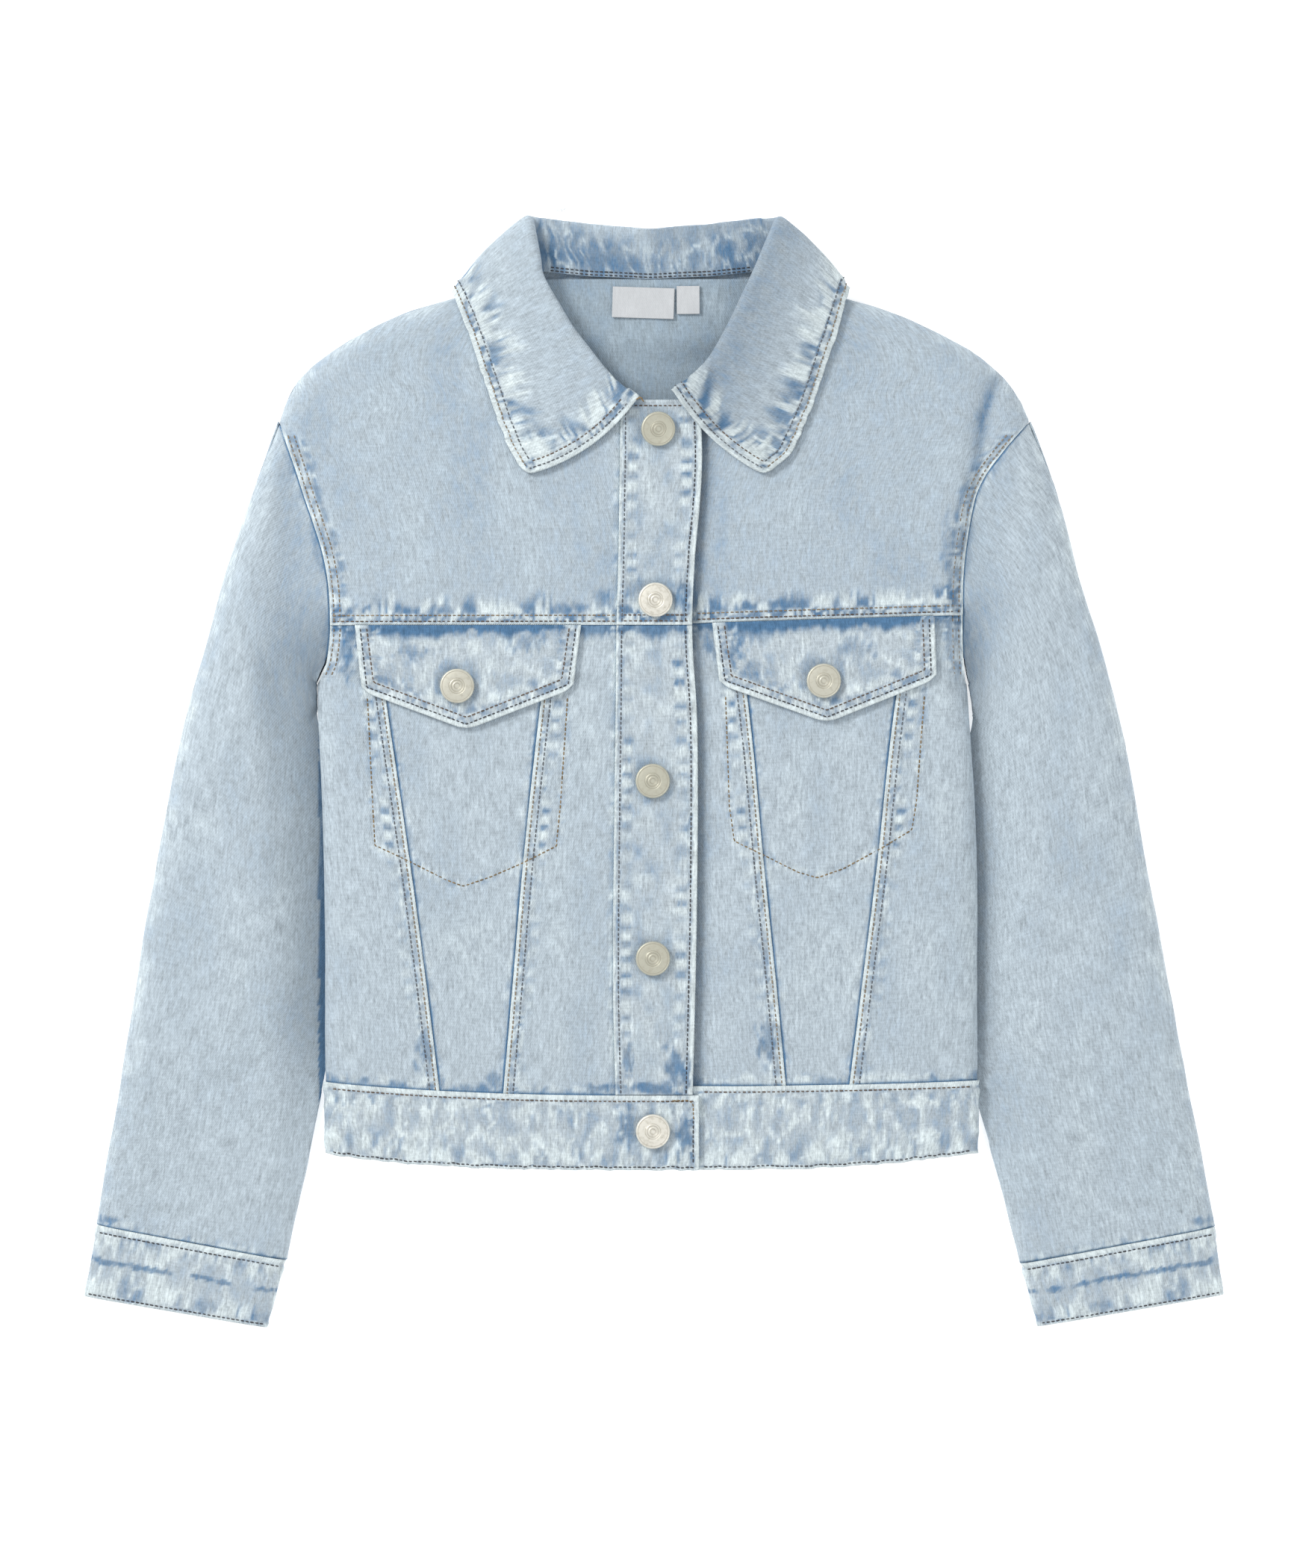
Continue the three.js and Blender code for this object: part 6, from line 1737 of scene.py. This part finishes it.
    def build_cuff(self, room: Workroom) -> None:
        """The cuff: a ring of doubled cloth, worn along both edges."""
        angle = np.linspace(0, math.pi, 76)
        across = np.concatenate([np.cos(angle)[:-1], -np.cos(np.linspace(0, math.pi, 40))[:-1]])[None, :]
        upper = np.concatenate([np.ones(75), np.zeros(39)])[None, :]
        share = np.linspace(0.004, 1, 36)[:, None]
        share, across, upper = np.broadcast_arrays(share, across, upper)
        middle = self.cuff_points(share, across, upper)
        length = CUFF_LENGTH
        span = CUFF_HALF_WIDTH * across
        edge, hem = CUFF_EDGE.marks(share * length, span), CUFF_HEM.marks((1 - share) * length, span + 7)
        marks = edge.add(hem).add(CUFF_WHISKERS.marks(share * length, span, smooth(0.1, 0.25, share)))
        bar = np.exp(-((share * length - BAR_PLACE - GRAIN(span / 9.0)) / 1.9) ** 2)
        bar = smooth(0.3, 0.9, bar + 0.5 * GRAIN(span / 1.1, share * length / 2.6))
        bar = 0.8 * bar * smooth(-0.4, -0.15, GRAIN(span / 7.0, 3.3 if self.side == "right" else 9.3))
        marks.pale = marks.pale * (1 - bar)
        marks.blue = np.maximum(marks.blue, bar)
        centre = middle.mean(axis=1, keepdims=True)
        shell = wall(middle, BAND, marks, ring=True, facing=middle - centre)
        room.piece("cuff_" + self.side, shell, Finish.DOUBLED)
        for inset, thread in ((3.4 / length, Thread.DARK), (1 - 1.6 / length, Thread.DARK)):
            reach = np.linspace(-0.97, 0.97, 70)
            index = inset * 35
            low, part = int(index), index - int(index)
            skin = mix(shell.outer[low, :75], shell.outer[low + 1, :75], part)
            at = across[0, :75]
            line = np.stack([np.interp(reach, at[::-1], skin[::-1, k]) for k in range(3)], axis=1)
            room.sew("cuff_" + self.side, thread, line)


def spline_weights(count: int, at: Array) -> Array:
    """Weights that carry a table of rows to places between them, by cubics through the rows.

    Args:
        count: number of rows.
        at: places, counted in rows.

    Returns:
        A matrix, places by rows.
    """
    i = np.clip(np.floor(at).astype(int), 0, count - 2)
    t = at - i
    parts = {-1: -0.5 * t + t ** 2 - 0.5 * t ** 3, 0: 1 - 2.5 * t ** 2 + 1.5 * t ** 3,
             1: 0.5 * t + 2 * t ** 2 - 1.5 * t ** 3, 2: -0.5 * t ** 2 + 0.5 * t ** 3}
    weights = np.zeros((len(at), count))
    for shift, part in parts.items():
        np.add.at(weights, (np.arange(len(at)), np.clip(i + shift, 0, count - 1)), part)
    return weights


def refined(lengths: Array, step: float) -> Array:
    """Places between rows, counted in rows, so that none is further from the next than the step."""
    parts = [i + np.arange(n) / n for i, n in enumerate(np.maximum(1, np.ceil(lengths / step)).astype(int))]
    return np.concatenate([*parts, [float(len(lengths))]])


class Collar:
    """The turned collar: a row of sections from the right front, round the neck, to the left front."""

    TURN = np.radians([-90.0, -35.0, 35.0, 90.0])
    FALL = np.array([0.12, 0.3, 0.5, 0.7, 0.86, 1.0])
    FOLD = np.radians([20.0, 45.0, 70.0])

    def front(self, row: Sequence[float]) -> Array:
        """A section on the front: up the stand, round the roll and down the fall, which rests on the yoke."""
        n, r, e = (np.array(row[k:k + 2], float) for k in (0, 2, 4))
        roll, bow = row[6], row[7]
        to_neck, to_edge = unit(n - r), unit(e - r)
        base = float(LAY.open(np.array(n[0]), np.array(n[1]))) + 0.9
        stand = [(*mix(n, r + to_neck * roll, w), mix(base - 0.9, base, w)) for w in (0.0, 0.5)]
        turn = []
        for angle in self.TURN:
            way = unit(mix(to_neck, to_edge, (angle / math.pi) + 0.5))
            turn.append((*(r + way * roll * (1 - math.cos(angle))), base + roll * (1 + math.sin(angle))))
        start = r + to_edge * roll
        w = self.FALL[:, None]
        p = mix(start, e, w) + np.array([-to_edge[1], to_edge[0]]) * bow * 4 * w * (1 - w)
        spare = base + 2 * roll - float(self.on_yoke(start[0:1], start[1:2])[0])
        z = self.on_yoke(p[:, 0], p[:, 1]) + spare * (1 - self.FALL) ** 1.4
        return np.array([*stand, *turn, *np.column_stack([p, z])])

    @staticmethod
    def on_yoke(x: Array, y: Array) -> Array:
        """Middle of a fall that rests on the yoke, or on the placket between its edges."""
        placket = 1.1 * smooth(-22, -16, x) * (1 - smooth(27, 34, x))
        return LAY.front(x, y, "right") + (DENIM + COLLAR) / 2 + 0.45 + placket

    def shoulder(self, row: Sequence[float], side: str) -> Array:
        """The section at the shoulder, where the collar stands on edge round the fold."""
        n, r, e = (np.array(row[k:k + 2], float) for k in (0, 2, 4))
        roll, bow = row[6], row[7]
        up = unit(r - e)
        out = np.array([-up[1], up[0]]) * (1 if side == "right" else -1)
        centre = r - out * roll - up * roll
        plan = [mix(n, centre - out * roll, w) for w in (0.0, 0.5)]
        plan += [centre + out * roll * math.sin(a) + up * roll * math.cos(a) for a in self.TURN]
        start = centre + out * roll
        plan += [mix(start, e, w) + out * bow * 4 * w * (1 - w) for w in self.FALL]
        return np.column_stack([np.array(plan), np.full(12, COLLAR_LEVELS["shoulder"])])

    def back(self, row: Sequence[float]) -> Array:
        """A section at the back: the stand faces up and the fall lies under the back."""
        n, r, e = (np.array(row[k:k + 2], float) for k in (0, 2, 4))
        low, high = COLLAR_LEVELS["under"], COLLAR_LEVELS["back_roll"]
        roll = (high - low) / 2
        to_neck, to_edge = unit(n - r), unit(e - r)
        points = [(*mix(n, r + to_neck * roll, w), mix(COLLAR_LEVELS["back_neck"], high, w)) for w in (0.0,
                                                                                                       0.5)]
        for angle in self.TURN:
            way = unit(mix(to_neck, to_edge, (angle / math.pi) + 0.5))
            points.append((*(r + way * roll * (1 - math.cos(angle))), high - roll * (1 + math.sin(angle))))
        points += [(*mix(r + to_edge * roll, e, w), low) for w in self.FALL]
        return np.array(points)

    @staticmethod
    def turned(a: Array, b: Array, plan: float, rise: float) -> Array:
        """Quarter turn between two sections: the plan follows one share and the height the other."""
        return np.column_stack([mix(a[:, :2], b[:, :2], plan), mix(a[:, 2], b[:, 2], rise)])

    def half(self, side: str) -> list[Array]:
        """Sections from one front to just before the middle of the back."""
        rows = COLLAR_FRONT[side]
        between = lambda a, b: tuple(mix(p, q, 0.5) for p, q in zip(a, b))
        sections = []
        for i, row in enumerate(rows):
            sections.append(self.front(row))
            if i < 2:
                sections.append(self.front(between(row, rows[i + 1])))
        backs = COLLAR_BACK
        if side == "left":
            backs = [tuple(2 - v if k % 2 == 0 else v for k, v in enumerate(row)) for row in COLLAR_BACK]
        last, edge, first = sections[-1], self.shoulder(COLLAR_SHOULDER[side], side), self.back(backs[0])
        sections += [self.turned(last, edge, math.sin(a), 1 - math.cos(a)) for a in self.FOLD]
        sections.append(edge)
        sections += [self.turned(edge, first, 1 - math.sin(a), math.cos(a)) for a in self.FOLD[::-1]]
        sections += [first, self.back(between(backs[0], backs[1])), self.back(backs[1]),
                     self.back(between(backs[1], backs[2]))]
        return sections

    def build(self, room: Workroom) -> None:
        """Make the collar and sew its edge."""
        coarse = np.array([*self.half("right"), self.back(COLLAR_BACK[2]), *reversed(self.half("left"))])
        row_steps = np.linalg.norm(np.diff(coarse, axis=0), axis=2).max(axis=1)
        column_steps = np.linalg.norm(np.diff(coarse, axis=1), axis=2).max(axis=0)
        rows = spline_weights(len(coarse), refined(row_steps, 1.7))
        columns = spline_weights(coarse.shape[1], refined(column_steps, 1.3))
        middle = np.einsum("ir,rck,jc->ijk", rows, coarse, columns)
        down = np.cumsum(np.linalg.norm(np.diff(middle, axis=1), axis=2)[:, ::-1], axis=1)[:, ::-1]
        down = np.pad(down, ((0, 0), (0, 1)))
        over = np.pad(np.cumsum(np.linalg.norm(np.diff(middle, axis=0), axis=2), axis=0), ((1, 0), (0, 0)))
        from_end = np.minimum(over, over[-1] - over)
        along_edge = np.broadcast_to(over[:, -1:], over.shape)
        edge = COLLAR_EDGE.marks(down, along_edge)
        end = COLLAR_EDGE.marks(from_end, down + 500 * (over > over[-1] / 2))
        marks = edge.add(end)
        stand = smooth(54, 66, down) * smooth(440, 462, middle[..., 1])
        marks = marks.add(STAND_WHISKERS.marks(down, over, stand))
        left = smooth(-4, 4, middle[..., 0]) * (1 - stand)
        near_roll = smooth(16, 52, down)
        stand_blue = stand * mix(0.3, 0.55, smooth(66, 80, down))
        # Painted shade: blue near the roll, stronger over the left half, and grey over the left half and on
        # the stand.
        marks.blue = clamp01(marks.blue + stand_blue + (0.08 + 0.2 * left) * near_roll)
        marks.soil = marks.soil + 0.12 * left + 0.1 * left * near_roll + 0.1 * stand
        marks.pale = marks.pale + 0.12 * clamp01(GRAIN(along_edge / 8.0, down / 10.0 + 4)) * (1 - stand)
        marks.relief = marks.relief + 0.25 * GRAIN(along_edge / 14.0, down / 12.0) * (1 - stand)
        puckered = 0.5 * GRAIN(along_edge / 3.4, 31.5) * (1 - smooth(0, 9, down))
        outward = unit(middle[:, -1, :2] - middle[:, -4, :2])
        middle[..., :2] += outward[:, None] * puckered[..., None]
        self.round_corners(middle, down, from_end)
        facing = np.zeros_like(middle)
        third = middle.shape[1] // 2
        facing[: middle.shape[0] // 6, third:, 2] = 1.0
        shell = wall(middle, COLLAR, marks, facing=facing)
        room.piece("collar", shell, Finish.DENIM,
                   turned=True)
        self.sew(room, shell, down, from_end)

    @staticmethod
    def round_corners(middle: Array, down: Array, from_end: Array, radius: float = 5.0) -> None:
        """Draw each pointed tip in to a quarter circle.

        Args:
            middle: grid of points, changed in place.
            down: distance from the long free edge.
            from_end: distance from the nearer front end.
            radius: of the rounded corner.
        """
        a, b = np.maximum(radius - from_end, 0.0), np.maximum(radius - down, 0.0)
        far = np.maximum(np.hypot(a, b), radius)
        pull = (1 - radius / far)[..., None]
        to_edge = unit(middle[:, -1] - middle[:, -4])[:, None]
        half = len(middle) // 2
        for part, end, inner in ((slice(0, half), 0, 4), (slice(half, None), -1, -5)):
            to_end = unit(middle[end] - middle[inner])
            middle[part] -= pull[part] * (a[part][..., None] * to_end + b[part][..., None] * to_edge[part])

    def sew(self, room: Workroom, shell: Shell, down: Array, from_end: Array) -> None:
        """Two rows of stitches round the collar's free edge, found where the distances reach each inset."""
        normal = grid_normals(shell.outer)
        if normal[2, -4, 2] < 0:
            normal = -normal
        rows, columns = down.shape
        for inset, thread in ((2.9, Thread.TAN), (6.3, Thread.GREY)):
            keep = np.flatnonzero(from_end[:, -1] > inset)
            column = np.array([np.interp(-inset, -down[r], np.arange(columns)) for r in keep])
            low = np.minimum(column.astype(int), columns - 2)
            part = (column - low)[:, None]
            line = mix(shell.outer[keep, low], shell.outer[keep, low + 1], part)
            up = mix(normal[keep, low], normal[keep, low + 1], part)
            room.sew("collar", thread, line, up=up)
            for first in (True, False):
                count = rows // 6
                part_rows = np.arange(count) if first else np.arange(rows - 1, rows - 1 - count, -1)
                cols = np.flatnonzero((down[part_rows[0]] > inset) & (down[part_rows[0]] < 66))
                row = np.array([np.interp(inset, from_end[part_rows, c], np.arange(count)) for c in cols])
                low = row.astype(int)
                part = (row - low)[:, None]
                line = mix(shell.outer[part_rows[low], cols],
                           shell.outer[part_rows[np.minimum(low + 1, count - 1)], cols], part)
                room.sew("collar", Thread.GREY if inset < 5 else Thread.BROWN, line,
                         up=normal[part_rows[low], cols])
        back = np.flatnonzero((np.abs(shell.outer[:, 0, 0] - 1) < 52) & (shell.outer[:, 0, 1] > 448))
        for column in (0, 2):
            line = shell.outer[back, column] + [0.0, 0.9, 0.1]
            room.sew("collar", Thread.DARK, line, up=np.abs(normal[back, column]))
        knot = np.array([(-7.5, 388.9, 16.6), (-4.0, 390.4, 16.9), (-2.4, 388.4, 16.6)])
        room.sew("collar", Thread.GOLD, knot, 1.5)


class Hardware:
    """The seven shank buttons."""

    SPOKES, RIM = 56, 8.7
    GROOVES = (1.5, 3.0, 3.9, 7.55)
    # Radius and height of the button's outline, from its foot over the rim to the middle
    PROFILE = [(0.05, 0), (3.4, 0), (3.4, 0.8), (8.1, 0.8), (8.5, 1.0), (8.7, 1.4), (8.7, 1.8), (8.5, 2.2),
               (8.15, 2.5), (7.8, 2.55), (7.55, 2.5), (7.3, 2.56), (6.0, 2.76), (4.6, 2.84), (4.2, 2.84),
               (4.0, 2.66), (3.8, 2.66), (3.6, 2.9), (3.2, 2.92), (3.0, 2.74), (2.2, 2.72), (2.0, 2.9),
               (1.7, 2.94), (1.5, 2.78), (0.8, 2.84), (0.05, 2.86)]

    def button(self, room: Workroom, node: str, x: float, y: float, seat: float, tilt: float = 0.0) -> None:
        """Turn the outline round its axis, tilt it and set it down.

        Args:
            room: where it is made.
            node: the solid that it dresses.
            x: place in plan.
            y: place in plan.
            seat: height that it rests at.
            tilt: turn towards the camera's upper left, in degrees.
        """
        profile = np.array(self.PROFILE)
        angle = np.arange(self.SPOKES) * 2 * math.pi / self.SPOKES
        radius, height = profile[:, 0][:, None], profile[:, 1][:, None]
        ring = np.stack([radius * np.cos(angle), radius * np.sin(angle), height + 0 * angle], axis=-1)
        turn = math.radians(tilt)
        c, s = math.cos(turn), math.sin(turn)
        spin = np.array([[1, 0, 0], [0, c, -s], [0, s, c]]) @ np.array([[c, 0, s], [0, 1, 0], [-s, 0, c]])
        lift = LAID + 0.1 + self.RIM * s * 0.9
        points = ring @ spin.T + [x, y, seat + lift]
        ends = np.concatenate([points.reshape(-1, 3), points[0].mean(0)[None], points[-1].mean(0)[None]])
        groove = sum(np.exp(-((profile[:, 0] - r) / 0.16) ** 2) for r in self.GROOVES)
        tone = np.zeros((len(ends), 3))
        tone[:, 0] = BRIGHT_BUTTONS.get(node, 0.0)
        tone[:-2, 1] = np.repeat(np.where(profile[:, 1] > 1.2, 0.55 * clamp01(groove), 0.8), self.SPOKES)
        tris = capped_tube(len(profile), self.SPOKES)
        made = make_mesh("metal_" + node, ends, tris, room.dyes.metal, tone)
        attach(made, "root")
        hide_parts(node)
        log.info("%s set", node)

    def build(self, room: Workroom) -> None:
        """Set every button on the cloth under it."""
        for number, (x, y, tilt) in enumerate(FRONT_BUTTONS, 1):
            at = (np.array(x), np.array(y))
            on_band = y < WAIST_TOP["right"][0]
            seat = LAY.front(*at, "right", BAND if on_band else DENIM)
            seat = seat + (BAND / 2 if on_band else PLACKET_LIFT + FACED / 2)
            self.button(room, f"button_front_{number}", x, y, float(seat), tilt)
        for side in SIDES:
            x, y = FLAP_BUTTONS[side]
            seat = LAY.front(np.array(x), np.array(y), side) + DENIM / 2 + LAID + FACED
            self.button(room, "button_flap_" + side, x, y, float(seat))


class Labels:
    """The two bare woven labels inside the back neck."""

    def build(self, room: Workroom) -> None:
        """Lay both labels on the back, folded in at their ends."""
        for node, (cx, cy, width, height, turn) in LABELS.items():
            u = np.linspace(-0.5, 0.5, 60)[None, :] * width
            v = np.linspace(-0.5, 0.5, 40)[:, None] * height
            u, v = np.broadcast_arrays(u, v)
            angle = math.radians(turn)
            x = cx + u * math.cos(angle) - v * math.sin(angle)
            y = cy + u * math.sin(angle) + v * math.cos(angle)
            marks = Marks.clean(x)
            ends = 0.1 * np.exp(-((width / 2 - np.abs(u)) / 1.2) ** 2)
            marks.relief = 0.12 * GRAIN(x / 7.0, y / 6.0) + ends
            marks.pale = 0.3 * clamp01(GRAIN(x / 4.0, y / 4.0))
            z = LAY.back(x, y) + (DENIM + LABEL) / 2 + GAP + 0.1
            room.piece(node, wall(np.stack([x, y, z], axis=-1), LABEL, marks), Finish.LABEL)


class Fray:
    """Loose yarn ends at worn edges."""

    # Place x, y and height, spread along x and y, heading in degrees, number, length
    TUFTS = [(100.6, 427.5, 11.0, 1.5, 5.0, 8, 16, 2.6), (99.0, 420.0, 11.5, 1.0, 2.0, -10, 6, 2.0),
             (-43.0, 485.2, 7.2, 5.0, 0.8, 80, 14, 2.6), (-19.0, 372.6, 14.0, 7.0, 4.5, -60, 12, 1.5),
             (161.2, 256.5, 7.0, 1.0, 5.0, -20, 14, 2.8), (-162.6, 251.5, 7.0, 0.8, 4.0, 200, 8, 2.2),
             (-78.0, 0.4, 6.0, 9.0, 0.5, -80, 10, 1.4), (22.0, 0.8, 8.6, 3.0, 0.5, -60, 8, 1.5),
             (-59.0, 350.4, 14.4, 3.0, 1.5, -100, 8, 1.4), (57.0, 231.0, 15.2, 7.0, 3.0, -70, 8, 1.4),
             (-70.0, 229.0, 15.2, 8.0, 3.0, -80, 8, 1.4), (166.4, 60.0, 6.5, 0.5, 5.0, 0, 6, 1.6)]

    def build(self, room: Workroom) -> None:
        """Make every tuft: each yarn end is a thin bent tube with three sides that narrows to its tip."""
        random = np.random.default_rng(23)
        share = np.linspace(0, 1, 6)
        around = np.arange(3) * 2 * math.pi / 3
        points, faces, number = [], [], 0
        near = np.arange(3)
        after = (near + 1) % 3
        tube = np.concatenate([np.stack([3 * k + near, 3 * k + after, 3 * k + 3 + after, 3 * k + 3 + near], 1)
                               for k in range(5)])
        for x, y, z, along_x, along_y, heading, count, length in self.TUFTS:
            for _ in range(count):
                root = np.array([x, y, z]) + random.normal(0, 1, 3) * [along_x / 2, along_y / 2, 0.25]
                turn = np.radians(heading + random.normal(0, 35) + random.normal(0, 70) * share)
                step = length * random.uniform(0.5, 1.4) / 5
                path = root + step * np.cumsum(np.stack([np.cos(turn), np.sin(turn),
                                                         random.normal(0, 0.25) + 0 * turn], 1), 0)
                radius = 0.14 * (1 - 0.7 * share)[:, None]
                across = np.stack([-np.sin(turn), np.cos(turn), 0 * turn], 1)
                ring = (path[:, None] + radius[..., None] * (np.cos(around)[:, None] * across[:, None]
                                                             + np.sin(around)[:, None] * [0, 0, 1]))
                points.append(ring.reshape(-1, 3))
                faces.append(tube + number)
                faces.append(np.array([[0, 2, 1, 1], [15, 16, 17, 17]]) + number)
                number += 18
        quads = np.concatenate(faces)
        tris = np.concatenate([quads[:, [0, 1, 2]], quads[:, [0, 2, 3]][quads[:, 2] != quads[:, 3]]])
        made = make_mesh("yarn_ends", np.concatenate(points), tris, room.dyes.yarn)
        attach(made, "root")
        log.info("yarn ends: %d", number // 18)


class Studio:
    """Floor, light and camera."""

    HALF_FLOOR = 3.0
    # Name, place, diameter and power in watts
    LIGHTS = [("key", (-1.5, 1.2, 1.5), 0.7, 30.0), ("fill", (1.4, -1.2, 1.6), 1.6, 11.0)]
    SURROUND, SURROUND_STRENGTH = (0.93, 0.96, 1.0, 1), 0.62
    # Camera's place, and the height of what it frames at the floor
    PLACE, FRAMED, SENSOR = (-0.00275, -0.0063, 2.4), 0.798, 36.0

    def build(self) -> None:
        """Set the pale floor, the soft lights and the camera straight above."""
        self.floor()
        self.lights()
        self.camera()

    def floor(self) -> None:
        """A white sheet of floor, a little lit from within so that shadows stay faint."""
        mesh = bpy.data.meshes.new("floor")
        far = self.HALF_FLOOR
        mesh.from_pydata([(-far, -far, 0), (far, -far, 0), (far, far, 0), (-far, far, 0)], [], [(0, 1, 2, 3)])
        floor = bpy.data.objects.new("floor", mesh)
        bpy.context.scene.collection.objects.link(floor)
        paint = bpy.data.materials.new("floor_white")
        paint.use_nodes = True
        shader = paint.node_tree.nodes["Principled BSDF"]
        shader.inputs["Base Color"].default_value = (0.9, 0.9, 0.9, 1)
        shader.inputs["Roughness"].default_value = 0.9
        shader.inputs["Emission Color"].default_value = (1, 1, 1, 1)
        shader.inputs["Emission Strength"].default_value = 0.6
        mesh.materials.append(paint)

    def lights(self) -> None:
        """A large soft light from the upper left and an even white surround."""
        world = bpy.data.worlds.new("surround")
        world.use_nodes = True
        backdrop = world.node_tree.nodes["Background"]
        backdrop.inputs[0].default_value = self.SURROUND
        backdrop.inputs[1].default_value = self.SURROUND_STRENGTH
        bpy.context.scene.world = world
        for name, place, size, power in self.LIGHTS:
            light = bpy.data.lights.new(name, "AREA")
            light.shape, light.size, light.energy = "DISK", size, power
            made = bpy.data.objects.new(name, light)
            made.location = place
            aim = math.atan2(math.hypot(place[0], place[1]), place[2])
            made.rotation_euler = (aim, 0.0, math.atan2(place[0], -place[1]))
            bpy.context.scene.collection.objects.link(made)

    def camera(self) -> None:
        """A long lens straight above."""
        data = bpy.data.cameras.new("camera")
        data.sensor_width, data.lens = self.SENSOR, self.SENSOR * self.PLACE[2] / self.FRAMED
        made = bpy.data.objects.new("camera", data)
        made.location = self.PLACE
        bpy.context.scene.collection.objects.link(made)
        bpy.context.scene.camera = made
        bpy.context.scene.view_settings.view_transform = "Standard"


def main() -> None:
    """Build the jacket piece by piece, then the studio."""
    logging.basicConfig(level=logging.INFO, format="%(message)s")
    room = Workroom()
    Back().build(room)
    for side in SIDES:
        Front(side).build(room)
        Sleeve(side).build(room)
    Placket().build(room)
    Collar().build(room)
    Hardware().build(room)
    Labels().build(room)
    Fray().build(room)
    room.finish_stitches()
    Studio().build()


if __name__ == "__main__":
    main()
